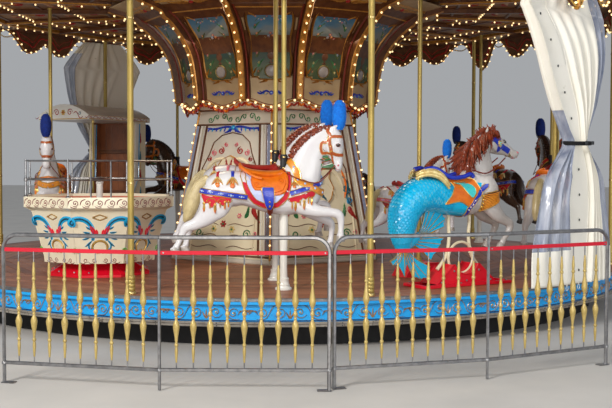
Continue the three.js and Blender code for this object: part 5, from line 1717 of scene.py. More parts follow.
def horse_body(coat, name):
    """The carved horse without its harness, its hooves and its hair. X is forward, Y is to its left."""
    parts = Shape()
    trunk = [(-0.735, 0, 1.36, 0.06, 0.06), (-0.70, 0, 1.352, 0.125, 0.105),
             (-0.60, 0, 1.37, 0.165, 0.152), (-0.48, 0, 1.378, 0.178, 0.168),
             (-0.36, 0, 1.378, 0.168, 0.155), (-0.25, 0, 1.348, 0.165, 0.152),
             (-0.13, 0, 1.322, 0.17, 0.165), (0.0, 0, 1.32, 0.172, 0.182),
             (0.11, 0, 1.335, 0.165, 0.188), (0.21, 0, 1.348, 0.148, 0.17),
             (0.285, 0, 1.358, 0.115, 0.125), (0.325, 0, 1.362, 0.07, 0.08)]
    flesh(parts, trunk, coat, 22, 4, 0.05)
    neck = [(0.08, 0, 1.36, 0.135, 0.2), (0.15, 0, 1.47, 0.115, 0.19), (0.192, 0, 1.575, 0.093, 0.162),
            (0.236, 0, 1.69, 0.073, 0.135),
            (0.3, 0, 1.79, 0.06, 0.112), (0.372, 0, 1.862, 0.052, 0.088), (0.42, 0, 1.893, 0.045, 0.06)]
    flesh(parts, neck, coat, 20, 4)
    head = [(0.418, 0, 1.935, 0.036, 0.026), (0.44, 0, 1.9, 0.055, 0.06), (0.452, 0, 1.845, 0.066, 0.084),
            (0.456, 0, 1.775, 0.07, 0.092),
            (0.462, 0, 1.712, 0.061, 0.086), (0.482, 0, 1.655, 0.046, 0.062),
            (0.496, 0, 1.605, 0.041, 0.045), (0.494, 0, 1.568, 0.04, 0.038),
            (0.482, 0, 1.548, 0.03, 0.026)]
    flesh(parts, head, coat, 18, 4)
    for s in (-1, 1):
        near = s < 0
        hind = [(-0.6, s * 0.082, 1.36, 0.092, 0.15), (-0.625, s * 0.1, 1.25, 0.085, 0.142),
                (-0.69, s * 0.108, 1.14, 0.064, 0.095),
                (-0.79, s * 0.108, 1.065, 0.046, 0.058)]
        if near:
            hind += [(-0.88, s * 0.108, 1.03, 0.036, 0.045), (-0.918, s * 0.108, 0.965, 0.026, 0.032),
                     (-0.952, s * 0.108, 0.885, 0.024, 0.027),
                     (-0.968, s * 0.108, 0.857, 0.03, 0.031), (-0.98, s * 0.108, 0.835, 0.027, 0.03)]
        else:
            hind += [(-0.862, s * 0.108, 1.018, 0.036, 0.045), (-0.882, s * 0.108, 0.95, 0.026, 0.032),
                     (-0.895, s * 0.108, 0.88, 0.024, 0.027),
                     (-0.902, s * 0.108, 0.855, 0.03, 0.031), (-0.908, s * 0.108, 0.835, 0.027, 0.03)]
        flesh(parts, hind, coat, 14, 4)
        flesh(parts, [(-0.53, s * 0.1, 1.3, 0.07, 0.09), (-0.6, s * 0.118, 1.2, 0.055, 0.1),
                      (-0.7, s * 0.115, 1.12, 0.04, 0.06)], coat, 12, 4)
        if near:
            fore = [(0.12, s * 0.085, 1.27, 0.082, 0.12), (0.2, s * 0.1, 1.215, 0.062, 0.082),
                    (0.31, s * 0.105, 1.178, 0.05, 0.056),
                    (0.43, s * 0.105, 1.166, 0.042, 0.044), (0.495, s * 0.105, 1.148, 0.04, 0.043),
                    (0.516, s * 0.105, 1.09, 0.031, 0.034),
                    (0.516, s * 0.105, 1.01, 0.025, 0.027), (0.514, s * 0.105, 0.975, 0.03, 0.032),
                    (0.512, s * 0.105, 0.945, 0.027, 0.029)]
        else:
            fore = [(0.14, s * 0.085, 1.26, 0.08, 0.11), (0.23, s * 0.1, 1.175, 0.056, 0.068),
                    (0.34, s * 0.105, 1.112, 0.045, 0.05),
                    (0.43, s * 0.105, 1.066, 0.038, 0.042), (0.45, s * 0.105, 1.01, 0.029, 0.032),
                    (0.442, s * 0.105, 0.93, 0.024, 0.026),
                    (0.436, s * 0.105, 0.895, 0.029, 0.031), (0.43, s * 0.105, 0.872, 0.027, 0.029)]
        flesh(parts, fore, coat, 14, 4)
        flesh(parts, [(0.08, s * 0.1, 1.42, 0.05, 0.07), (0.15, s * 0.12, 1.33, 0.055, 0.09),
                      (0.19, s * 0.118, 1.24, 0.04, 0.06)], coat, 12, 4)
        flesh(parts, [(0.43, s * 0.052, 1.81, 0.02, 0.05), (0.425, s * 0.06, 1.755, 0.022, 0.05),
                      (0.43, s * 0.052, 1.7, 0.018, 0.035)], coat, 10, 3)
        flesh(parts, [(0.49, s * 0.05, 1.81, 0.018, 0.024), (0.492, s * 0.056, 1.79, 0.018, 0.024),
                      (0.495, s * 0.045, 1.745, 0.014, 0.02)], coat, 8, 3)
        flesh(parts, [(0.43, s * 0.03, 1.92, 0.016, 0.02), (0.462, s * 0.04, 1.942, 0.014, 0.018),
                      (0.5, s * 0.042, 1.962, 0.006, 0.007)], coat, 10, 3)
        flesh(parts, [(0.505, s * 0.026, 1.62, 0.016, 0.02), (0.508, s * 0.03, 1.595, 0.016, 0.02),
                      (0.5, s * 0.026, 1.57, 0.014, 0.018)], coat, 8, 3)
    return melt(parts, name, 0.0115, 4, 0.18)


HOOVES = ((-0.988, -0.108, 0.84, -0.5), (-0.912, 0.108, 0.84, -0.35), (0.512, -0.105, 0.952, 0.0),
          (0.427, 0.105, 0.878, -0.15))


def add_hooves(shape, mat, coat):
    for x, y, z, lean in HOOVES:
        axis = Vector((sin(lean), 0, cos(lean)))
        profile = [(0.04, -0.048), (0.041, -0.042), (0.034, 0.0), (0.031, 0.006)]
        turned(shape, profile, mat, (x, y, z - 0.002), 16, axis=axis)
        turned(shape, [(0.031, 0.0), (0.035, 0.006), (0.035, 0.014), (0.03, 0.019)], coat,
               (x, y, z - 0.002), 16, axis=axis)


def add_face(shape, tree, lid, blush):
    for side in (-1, 1):
        put = side_skin(tree, side)
        x, z = (0.491, 1.775)
        dome(shape, x, z, 0.0125, put, 0.011, EYE_DARK, 12, 1.25)
        # Painted glint: a small white dot on the eye
        dome(shape, x + 0.004, z + 0.004, 0.003, put, 0.0125, WHITE_PAINT, 6)
        for lift, bend in ((0.012, 1), (-0.012, -1)):
            line = [put(x - 0.02 + 0.04 * t, z + lift * sin(pi * t) + 0.001 * bend, 0.004)
                    for t in (i / 8 for i in range(9))]
            tube(shape, line, 0.0035, lid, 6)
        x, z = (0.501, 1.592)
        dome(shape, x - 0.006, z, 0.01, put, 0.004, blush, 10, 1.3, 0.8)
        dome(shape, x - 0.006, z, 0.006, put, 0.007, EYE_DARK, 8, 1.4, 0.8)
        mouth = [put(*p, 0.001) for p in ((0.506, 1.556), (0.482, 1.558), (0.457, 1.568), (0.438, 1.582))]
        tube(shape, smooth_path(mouth, 3), 0.0028, blush, 6)
        for p in ((0.364, 1.731), (0.376, 1.695), (0.396, 1.662)):
            tube(shape, [put(p[0] - 0.006, p[1] + 0.01, 0.0), put(*p, 0.002),
                         put(p[0] + 0.01, p[1] - 0.008, 0.0)], 0.0022, lid, 5)


def add_mane(shape, mat, crest, high=0.036, wide=0.05, pitch=0.017):
    """A close carved mane: a rounded crest under strands that are combed over it to both sides."""
    path = smooth_path([(x, 0, z) for x, z in crest], 10)
    last = len(path) - 1
    keys = path[::8] + [path[-1]]
    swell = [0.5 + 0.5 * sin(pi * (i + 0.5) / len(keys)) for i in range(len(keys))]
    flesh(shape, [(p.x, 0, p.z, wide * 0.85 * s, high * 0.85 * s) for p, s in zip(keys, swell)], mat, 14, 4)
    walk, placed = 0.0, 0
    for i in range(1, last):
        walk += (path[i] - path[i - 1]).length
        if walk < pitch * placed:
            continue
        placed += 1
        p = path[i]
        along = (path[i + 1] - path[i - 1]).normalized()
        up = Vector((-along.z, 0, along.x))
        if up.z < 0:
            up = -up
        full = 0.55 + 0.45 * sin(pi * min(max(i / last, 0.12), 0.88))
        for side in (-1, 1):
            sway, curl = dice.uniform(-0.3, 0.3), dice.uniform(0.7, 1.2) * (1 if placed % 2 else -1)
            pts, radii = [], []
            for k in range(6):
                t = k / 5
                a = pi * (0.02 + 0.68 * t)
                out = up * (high * full * cos(a)) + Vector((0, side * wide * full * sin(a), 0))
                pts.append(p + out + along * (0.012 * sin(2.2 * pi * t * curl + sway) - 0.02 * t))
                radii.append(0.0145 * (1 - 0.35 * t) * full)
            tube(shape, pts, radii, mat, 4)


def add_tail(shape, mat, root, course, girths, strands=14):
    """A full carved tail: a smooth body along a course, with long shallow strands."""
    places = [root] + list(course)
    stations = [(x, y, z, g * 0.72, g) for (x, y, z), g in zip(places, girths)]
    flesh(shape, stations, mat, 14, 4)
    rows = resampled(stations, 4)
    for j in range(strands):
        a = tau * (j + dice.uniform(-0.2, 0.2)) / strands
        twist = dice.uniform(-0.25, 0.25)
        pts, radii = [], []
        for i, (x, y, z, w, d) in enumerate(rows):
            t = i / (len(rows) - 1)
            along = (Vector(rows[min(i + 1, len(rows) - 1)][:3]) - Vector(rows[max(i - 1,
                0)][:3])).normalized()
            depth = Vector((0, 1, 0)).cross(along).normalized()
            b = a + twist * sin(pi * t)
            pts.append(Vector((x, y + w * 0.9 * cos(b), z)) + depth * (d * 0.9 * sin(b)))
            radii.append(0.0075 * (1 - 0.5 * t) + 0.0015)
        tube(shape, pts, radii, mat, 6)
    turned(shape, [(0.03, -0.02), (0.036, 0.0), (0.03, 0.02), (0.0, 0.03)], mat, root, 12,
           axis=(Vector(root) - Vector(course[0])))


def tassel(shape, put, x, z, length, cap, body, tip):
    dome(shape, x, z, length * 0.17, put, 0.014, cap, 8)
    leaf(shape, x, z - length * 0.1, -pi / 2, length * 0.85, length * 0.36, put, 0.016, body)
    leaf(shape, x, z - length * 0.45, -pi / 2, length * 0.5, length * 0.2, lambda u, v,
         h: put(u, v, h + 0.008), 0.01, tip)


def fan_tassel(shape, put, x, z, size, cap, body=CREAM_GOLD, ball=ORANGE):
    slab(shape, [(x - size * 0.16, z + size * 0.95), (x + size * 0.16, z + size * 0.95),
                 (x + size * 0.13, z + size * 0.45),
                 (x - size * 0.13, z + size * 0.45)], put, 0.012, cap, 0.003)
    for a in (-0.62, -0.22, 0.22, 0.62):
        leaf(shape, x + a * size * 0.1, z + size * 0.42, -pi / 2 + a, size * 0.95, size * 0.3, put, 0.016,
             body)
        leaf(shape, x + a * size * 0.2, z + size * 0.2, -pi / 2 + a, size * 0.7, size * 0.08,
             lambda u, v, h: put(u, v, h + 0.01), 0.006, ORANGE)
    dome(shape, x, z - size * 0.38, size * 0.26, put, 0.02, ball, 10)
    carve(shape, [(x - size * 0.34, z + size * 0.05), (x, z + size * 0.2),
                  (x + size * 0.34, z + size * 0.05)], size * 0.12,
          lambda u, v, h: put(u, v, h + 0.012), 0.006, GOLD_LINE)


PLAIN = dict(saddle=ORANGE, cloth=LILAC, trim=FLAT_RED, band=ROYAL, fringe=FLAT_RED, bridle=LEATHER,
             collar=AMBER, hang=GOLD_LINE)


def add_harness(shape, tree, style, full=True):
    s = {**PLAIN, **style}
    for side in (-1, 1):
        put = side_skin(tree, side)
        blanket = [(-0.388, 1.538), (-0.374, 1.436), (-0.341, 1.336), (-0.273, 1.253), (-0.164, 1.206),
                   (-0.054, 1.218), (0.030, 1.292), (0.064, 1.417), (0.054, 1.531), (-0.054, 1.531),
                   (-0.225, 1.531)]
        inner = [(-0.347, 1.515), (-0.332, 1.424), (-0.295, 1.348), (-0.247, 1.287), (-0.164, 1.250),
                 (-0.068, 1.260), (-0.005, 1.320), (0.026, 1.424), (0.020, 1.515), (-0.078, 1.515),
                 (-0.225, 1.515)]
        sheet_on(shape, put, blanket, 0.007, s["trim"], 0.0042, GOLD_LINE)
        sheet_on(shape, put, inner, 0.012, s["cloth"], 0.0036, GOLD_LINE)
        flap = [(-0.293, 1.487), (-0.291, 1.424), (-0.259, 1.372), (-0.210, 1.372), (-0.173, 1.360),
                (-0.115, 1.331), (-0.041, 1.328), (0.015, 1.362), (0.034, 1.436), (0.020, 1.521),
                (-0.078, 1.509), (-0.200, 1.497)]
        sheet_on(shape, put, flap, 0.026, s["saddle"], 0.005, s["saddle"])
        deep = lambda u, v, h, put=put: put(u, v, h + 0.026)
        carve(shape, [(-0.273, 1.436), (-0.259, 1.397), (-0.218, 1.389), (-0.182, 1.404)], 0.012, deep,
              0.007, s["saddle"])
        carve(shape, volute(*(-0.244, 1.424), 0.02, 0.005, 0, side * 1.2), 0.008, deep, 0.006, s["saddle"])
        carve(shape, [(-0.151, 1.350), (-0.078, 1.345), (-0.011, 1.369), (0.014, 1.424), (0.010, 1.485)],
              0.01, deep, 0.006, s["saddle"])
        carve(shape, volute(*(-0.023, 1.436), 0.026, 0.006, pi, side * 1.3), 0.009, deep, 0.006,
              s["saddle"])
        girth = [(-0.198, 1.389), (-0.095, 1.387), (-0.090, 1.314), (-0.095, 1.240), (-0.110, 1.209),
                 (-0.124, 1.201), (-0.144, 1.209), (-0.164, 1.240), (-0.186, 1.311)]
        sheet_on(shape, put, girth, 0.034, s["band"], 0.004, GOLD_LINE)
        top = lambda u, v, h, put=put: put(u, v, h + 0.034)
        for p in ((-0.129, 1.267), (-0.127, 1.231)):
            dome(shape, *p, 0.0095, top, 0.009, GOLD_LINE, 10)
        slab(shape, [(-0.151, 1.213), (-0.095, 1.213), (-0.100, 1.177), (-0.122, 1.152), (-0.144, 1.177)],
             put, 0.03, RED_BROWN, 0.004)

        # Fringes under the front and rear bands, with hanging tassels
        rear = [(-0.740, 1.336), (-0.616, 1.314), (-0.471, 1.294), (-0.484, 1.257), (-0.518, 1.267),
                (-0.535, 1.231), (-0.564, 1.238), (-0.584, 1.270), (-0.616, 1.255), (-0.640, 1.213),
                (-0.664, 1.231),
                (-0.684, 1.270), (-0.706, 1.250), (-0.726, 1.294)]
        sheet_on(shape, put, rear, 0.008, s["fringe"], 0.003, GOLD_LINE)
        for p, size in (((-0.716, 1.250), 0.085), ((-0.662, 1.257), 0.06), ((-0.616, 1.240), 0.088),
                        ((-0.572, 1.255), 0.05), ((-0.530, 1.262), 0.075), ((-0.498, 1.267), 0.06)):
            tassel(shape, put, *p, size, GOLD_LINE, s["hang"], ORANGE)
        for c in ((-0.650, 1.275), (-0.554, 1.270)):
            arch = [(c[0] + 0.045 * cos(a), c[1] - 0.02 + 0.04 * sin(a))
                    for a in (pi * i / 8 for i in range(9))]
            carve(shape, arch, 0.011, lambda u, v, h, put=put: put(u, v, h + 0.008), 0.007, GOLD_LINE)
        front = [(0.034, 1.294), (0.154, 1.326), (0.274, 1.372), (0.279, 1.331), (0.252, 1.301),
                 (0.225, 1.311), (0.191, 1.287), (0.166, 1.301), (0.130, 1.257), (0.093, 1.270),
                 (0.061, 1.262)]
        sheet_on(shape, put, front, 0.008, s["fringe"], 0.003, GOLD_LINE)
        for p, size in (((0.073, 1.250), 0.06), ((0.103, 1.257), 0.085), ((0.144, 1.277), 0.05),
                        ((0.181, 1.270), 0.085), ((0.220, 1.301), 0.06), ((0.249, 1.301), 0.075)):
            tassel(shape, put, *p, size, GOLD_LINE, s["hang"], ORANGE)
        if full:
            fan_tassel(shape, put, *(-0.596, 1.446), 0.088, s["fringe"])
            fan_tassel(shape, put, *(-0.462, 1.443), 0.094, s["band"])
            fan_tassel(shape, put, *(0.093, 1.424), 0.062, ORANGE)
        lift = lambda x, z, out: (x, side * out, z)
        rear_guide = [put(*(-0.328, 1.305), 0), put(*(-0.402, 1.315), 0), put(*(-0.475, 1.325), 0),
                      put(*(-0.548, 1.334), 0), put(*(-0.622, 1.343), 0), put(*(-0.689, 1.351), 0),
                      put(*(-0.735, 1.360), 0), (-0.79, side * 0.05, 1.37), (-0.8, 0, 1.372)]
        mid = strap(shape, tree, rear_guide, 0.046, 0.013, s["band"], 0.0045, GOLD_LINE)
        for k in range(3, len(mid) - 8, 5):
            turned(shape, [(0.011, 0), (0.009, 0.003), (0.0, 0.004)], PALE_BLUE, mid[k], 8,
                   axis=(0, side, 0))
            for way in (-1, 1):
                a = mid[k + way] if 0 <= k + way < len(mid) else mid[k]
                turned(shape, [(0.005, 0), (0.004, 0.002), (0.0, 0.003)], WHITE_PAINT, a, 6,
                       axis=(0, side, 0))
        front_guide = [put(*(0.054, 1.338), 0), put(*(0.117, 1.354), 0), put(*(0.185, 1.375), 0),
                       put(*(0.246, 1.397), 0), (0.345, side * 0.03, 1.43),
                       (0.35, 0, 1.43)]
        mid = strap(shape, tree, front_guide, 0.042, 0.013, s["band"], 0.0045, GOLD_LINE)
        for k in range(3, len(mid) - 4, 6):
            turned(shape, [(0.011, 0), (0.009, 0.003), (0.0, 0.004)], PALE_BLUE, mid[k], 8,
                   axis=(0, side, 0))
        collar = [(0.02, 0, 1.66), lift(*(0.054, 1.619), 0.07), lift(*(0.105, 1.558), 0.2),
                  lift(*(0.166, 1.494), 0.25), lift(*(0.252, 1.424), 0.2),
                  lift(*(0.323, 1.360), 0.1), (0.36, side * 0.02, 1.34), (0.36, 0, 1.335)]
        mid = strap(shape, tree, collar, 0.056, 0.014, s["collar"], 0.006, GOLD_LINE)
        for k in range(6, len(mid) - 6, 4):
            turned(shape, [(0.011, 0), (0.009, 0.003), (0.0, 0.004)], PALE_BLUE if k % 8 else CREAM_GOLD,
                   mid[k], 8, axis=(0, side, 0))

        # Bridle
        for guide, w in (([(0.4, 0, 1.99), lift(*(0.398, 1.912), 0.09), lift(*(0.401, 1.851), 0.1),
                           lift(*(0.416, 1.766), 0.1), lift(*(0.435, 1.678), 0.1)], 0.027),
                         ([lift(*(0.401, 1.854), 0.1), lift(*(0.460, 1.857), 0.09),
                           lift(*(0.523, 1.851), 0.03), (0.56, 0, 1.852)], 0.023),
                         ([lift(*(0.433, 1.680), 0.1), lift(*(0.479, 1.680), 0.09),
                           lift(*(0.535, 1.685), 0.03), (0.57, 0, 1.686)], 0.026),
                         ([lift(*(0.398, 1.851), 0.1), lift(*(0.355, 1.800), 0.1),
                           lift(*(0.342, 1.741), 0.08), lift(*(0.369, 1.687), 0.07),
                           lift(*(0.430, 1.678), 0.09)], 0.024),
                         ([lift(*(0.433, 1.678), 0.1), lift(*(0.423, 1.613), 0.06), (0.43, 0, 1.56)],
                          0.014)):
            strap(shape, tree, guide, w, 0.006, s["bridle"], 0.0022, GOLD_LINE if w > 0.02 else s["bridle"])
        rosette(shape, *(0.401, 1.851), 0.022, put, 0.014, WHITE_PAINT, GOLD_LINE)
        for p in ((0.418, 1.766), (0.425, 1.719), (0.435, 1.678)):
            dome(shape, *p, 0.009, put, 0.01, GOLD_LINE, 8)
        # Flowers under the jaw
        for k, p in enumerate(((0.367, 1.643), (0.386, 1.609), (0.413, 1.582), (0.384, 1.643),
                               (0.406, 1.546))):
            rosette(shape, *p, 0.014, put, 0.014, (PINK, GARLAND_RED, WHITE_PAINT)[k % 3], GOLD_LINE)
            leaf(shape, *p, -pi / 2 + 0.8 * (k - 2), 0.045, 0.018, put, 0.01, GREEN)
            leaf(shape, *p, pi / 2 + 0.6 * (k - 2), 0.04, 0.016, put, 0.01, GREEN)
        rein = [side_skin(tree, side)(*(0.447, 1.587), 0.008), Vector((0.42, side * 0.075, 1.535)),
                Vector((0.355, side * 0.12, 1.47)),
                Vector((0.28, side * 0.155, 1.433)), Vector((0.13, side * 0.165, 1.47)),
                Vector((0.03, side * 0.11, 1.52)), Vector((-0.02, side * 0.04, 1.56))]
        tube(shape, smooth_path(rein, 6), 0.0055, RED_BROWN, 6)

    seat = [(-0.405, 0, 1.585, 0.085, 0.012), (-0.385, 0, 1.565, 0.12, 0.022),
            (-0.33, 0, 1.538, 0.138, 0.028), (-0.24, 0, 1.516, 0.14, 0.034),
            (-0.14, 0, 1.506, 0.128, 0.038), (-0.05, 0, 1.512, 0.105, 0.036),
            (0.015, 0, 1.535, 0.07, 0.032), (0.05, 0, 1.56, 0.04, 0.02)]
    flesh(shape, seat, s["saddle"], 18, 4)
    for side in (-1, 1):
        roll = [(-0.4, side * 0.03, 1.6), (-0.385, side * 0.1, 1.578), (-0.33, side * 0.14, 1.53),
                (-0.26, side * 0.155, 1.49), (-0.2, side * 0.16, 1.475)]
        tube(shape, smooth_path(roll, 5), 0.014, s["saddle"], 8)


def add_sleeve(shape, tree_top=1.44, top=1.69):
    turned(shape, [(0.0335, tree_top), (0.0335, top - 0.004), (0.031, top), (0.0245, top)], BLACK, sides=20)
    for z in (1.555, 1.655):
        turned(shape, [(0.0335, z), (0.038, z + 0.003), (0.038, z + 0.018), (0.0335, z + 0.021)], BLACK,
               sides=20)
        block(shape, (-0.012, -0.042, z + 0.002), (0.012, -0.036, z + 0.019), BRASS, 0.002)
    block(shape, (-0.006, -0.04, 1.56), (0.006, -0.035, 1.655), BLACK, 0.002)


FIGURES = {}


def horse_parts(coat, hoof, mane, tail, lid, style, plume):
    """The whole figure as one shape; the bare skin is built once and kept in FIGURES."""
    if "skin" not in FIGURES:
        FIGURES["skin"] = horse_body(HORSE_WHITE, "horse")
        FIGURES["tree"] = skin_tree(FIGURES["skin"])
    tree = FIGURES["tree"]
    figure = Shape()
    skin = FIGURES["skin"]
    skin.mats = [coat]
    figure.merge(skin)
    add_hooves(figure, hoof, coat)
    add_face(figure, tree, lid, PINK if coat is HORSE_WHITE else MANE_BROWN)
    crest = [(0.423, 1.927), (0.342, 1.917), (0.259, 1.878), (0.179, 1.817), (0.115, 1.744),
             (0.081, 1.678), (0.064, 1.613), (0.061, 1.558)]
    add_mane(figure, mane, crest)
    for j in range(5):
        lock(figure, (0.435 + 0.006 * j, (j - 2) * 0.012, 1.94), (0.8, (j - 2) * 0.12, -0.6), 0.075, 0.013,
             mane, 0.9, 0.6, 7, (0, 1, 0.2 * (j - 2)))
    add_tail(figure, tail, (-0.7, 0, 1.468), ((-0.762, 0, 1.405), (-0.806, 0, 1.31), (-0.838, 0, 1.215),
                                              (-0.872, 0, 1.125), (-0.9, 0, 1.075)),
             (0.032, 0.05, 0.062, 0.063, 0.047, 0.014))
    add_harness(figure, tree, style)
    add_sleeve(figure)
    feathers(figure, (0.505, 0, 2.05), 0.27, 0.07, plume, 0.02)
    turned(figure, [(0.014, 0), (0.017, 0.01), (0.012, 0.03), (0.02, 0.045)], GOLD_LINE, (0.498, 0, 1.905),
           12)
    return figure


def make_guide(shape, lift):
    foot = DECK_TOP + 0.0003
    top = GUIDE_TOP + lift
    turned(shape, [(0.078, foot), (0.078, foot + 0.012), (0.074, foot + 0.018), (0.06, foot + 0.024),
                   (0.056, foot + 0.036), (0.058, foot + 0.044),
                   (0.052, foot + 0.052), (0.047, foot + 0.085), (0.05, foot + 0.095),
                   (0.05, foot + 0.104), (0.044, foot + 0.11)],
           WHITE_PAINT, sides=32)
    rows = [(0.036, foot + 0.108), (0.033, foot + 0.2), (0.034, foot + 0.34), (0.037, foot + 0.46),
            (0.0395, foot + 0.58), (0.0395, top - 0.03)]
    sides, verts, faces = 32, [], []
    for r, z in rows:
        for k in range(sides):
            rr = r * (1.0 if k % 2 else 0.93)
            verts.append((rr * cos(tau * k / sides), rr * sin(tau * k / sides), z))
    for i in range(len(rows) - 1):
        faces += [(i * sides + k, i * sides + (k + 1) % sides, (i + 1) * sides + (k + 1) % sides,
                   (i + 1) * sides + k) for k in range(sides)]
    shape.add(verts, faces, WHITE_PAINT)
    turned(shape, [(0.0395, top - 0.03), (0.04, top - 0.026), (0.04, top - 0.006), (0.036, top),
                   (POLE_R, top), (POLE_R, CEILING_Z - 0.02),
                   (POLE_R + 0.006, CEILING_Z - 0.014), (POLE_R + 0.006, CEILING_Z - 0.0003)], POST_GOLD,
                   sides=20)


def make_horses():
    brown = dict(coat=HORSE_DARK, hoof=HOOF_DARK, mane=MANE_DARK, tail=MANE_DARK, lid=MANE_BROWN,
                 plume=PLUME_NAVY)
    white = dict(coat=HORSE_WHITE, hoof=HOOF, mane=MANE_BROWN, tail=TAIL_CREAM, lid=MANE_BROWN,
                 plume=PLUME_BLUE)
    rose = dict(saddle=GARLAND_RED, cloth=PINK, trim=MAROON, band=PINK, fringe=GARLAND_RED,
                bridle=GARLAND_RED, collar=PINK)
    kinds = {
        "front": (white, {}), "rose": (white, rose), "orange": ({**white, "plume": PLUME_NAVY},
            dict(cloth=CREAM, band=ORANGE, fringe=ORANGE, trim=ORANGE)),
        "brown_red": (brown, dict(saddle=GARLAND_RED, cloth=CREAM, band=MAROON, bridle=GARLAND_RED,
                                  collar=GARLAND_RED)),
        "brown_blue": (brown, dict(saddle=ORANGE, cloth=PALE_BLUE, band=ROYAL, bridle=ORANGE)),
    }
    order = ("front", "rose", "front", "brown_red", "brown_blue", "brown_red", "brown_blue", "orange")
    slots = {"front": "horse_paint", "rose": "horse_paint", "orange": "horse_paint",
             "brown_red": "bay_horse_paint", "brown_blue": "bay_horse_paint"}
    built = {}
    for i, ((angle, radius, lift), kind) in enumerate(zip(HORSES, order)):
        if kind not in built:
            look, style = kinds[kind]
            built[kind] = horse_parts(look["coat"], look["hoof"], look["mane"], look["tail"], look["lid"],
                                      style, look["plume"])
        place = standing(radians(angle), radius, lift)
        copy = Shape().merge(built[kind], place)
        piece(copy, f"jumping_horse_{i + 1:02d}", f"horse_{i + 1:02d}_body", [f"horse_{i + 1:02d}"],
              slots[kind], 50)
        guide = Shape()
        make_guide(guide, lift)
        rail = Shape().merge(guide, standing(radians(angle), radius))
        piece(rail, f"horse_guide_{i + 1:02d}", "platform", [f"guide_pole_{i + 1:02d}"], "gold_metal", 30)
    return built


FISH_BLUE = finish_of("fish_blue", (0.0, 0.5, 0.82), (0.0, 0.43, 0.76), 0.22, coat=0.4, scale=5)
# Lighter blue for the scales that carry a painted highlight
SCALE_HIGHLIGHT_BLUE = finish_of("scale_painted_highlight", (0.12, 0.62, 0.84), (0.04, 0.53, 0.8), 0.22, coat=0.4, scale=12)
TURQUOISE = finish_of("turquoise", (0.06, 0.68, 0.66), (0.04, 0.58, 0.6), 0.22, coat=0.5, scale=8)
HIPPO_GREY = finish_of("hippo_grey", (0.6, 0.57, 0.55), (0.48, 0.45, 0.43), 0.26, coat=0.5, scale=4,
                       grain=30, depth=0.0015,
                       wear=(0.34, 0.3, 0.28), worn=0.01)
RED_PAINT = finish_of("red_paint", (0.74, 0.0, 0.018), (0.66, 0.0, 0.015), 0.4, coat=0.15, scale=4,
                      wear=(0.4, 0.01, 0.01), worn=0.02)
STAND_CREAM = finish_of("stand_cream", (0.78, 0.7, 0.5), (0.7, 0.6, 0.4), 0.4, coat=0.2, scale=8)

FISH_SPINE = ((0.28, 0, 1.37, 0.09, 0.11), (0.18, 0, 1.325, 0.15, 0.17), (0.02, 0, 1.275, 0.16, 0.165),
              (-0.18, 0, 1.29, 0.16, 0.168),
              (-0.36, 0, 1.325, 0.16, 0.168), (-0.54, 0, 1.305, 0.155, 0.165),
              (-0.665, 0, 1.19, 0.142, 0.155),
              (-0.705, 0, 1.03, 0.115, 0.135), (-0.695, 0, 0.9, 0.075, 0.105),
              (-0.675, 0, 0.81, 0.04, 0.085))


def fin(shape, rays, width, mat, rib):
    """A fan-shaped fin, folded at its rays, which are lists of (x, z) points from root to tip."""
    steps, lines = 8, []
    curves = [smooth_path([(x, 0, z) for x, z in ray], steps) for ray in rays]
    count = min(len(c) for c in curves)
    curves = [[c[round(i * (len(c) - 1) / (count - 1))] for i in range(count)] for c in curves]
    for j, c in enumerate(curves):
        lines.append((c, 1.0))
        if j < len(curves) - 1:
            between = [(a + b) / 2 for a, b in zip(c, curves[j + 1])]
            between[-1] = between[-2].lerp(between[-1], 0.25)
            lines.append((between, 0.42))
    for side in (-1, 1):
        verts, faces = [], []
        for line, puff in lines:
            for i, p in enumerate(line):
                t = i / (count - 1)
                body = width * (1 - 0.62 * t) * puff
                verts.append(p + Vector((0, side * max(body, 0.003), 0)))
        for j in range(len(lines) - 1):
            for i in range(count - 1):
                a = j * count + i
                faces.append((a, a + 1, a + count + 1, a + count))
        shape.add(verts, faces, mat)
        for c in curves:
            radii = [0.0055 * (1 - 0.4 * i / (count - 1)) for i in range(count)]
            tube(shape, [p + Vector((0, side * width * (1 - 0.62 * i / (count - 1)), 0)) for i,
                         p in enumerate(c)], radii, rib, 5)
    edge = [line[-1] for line, _ in lines]
    verts, faces = [], []
    for (line, puff), p in zip(lines, edge):
        body = max(width * 0.38 * puff, 0.003)
        verts += [p + Vector((0, -body, 0)), p + Vector((0, body, 0))]
    faces = [(2 * j, 2 * j + 1, 2 * j + 3, 2 * j + 2) for j in range(len(lines) - 1)]
    shape.add(verts, faces, mat)
    tube(shape, edge, 0.004, rib, 5)


def girth_x(z):
    """Where the fish ends and the horse begins, at a height."""
    return -0.03 if z > 1.43 else 0.103 - (1.36 - z) * 0.53


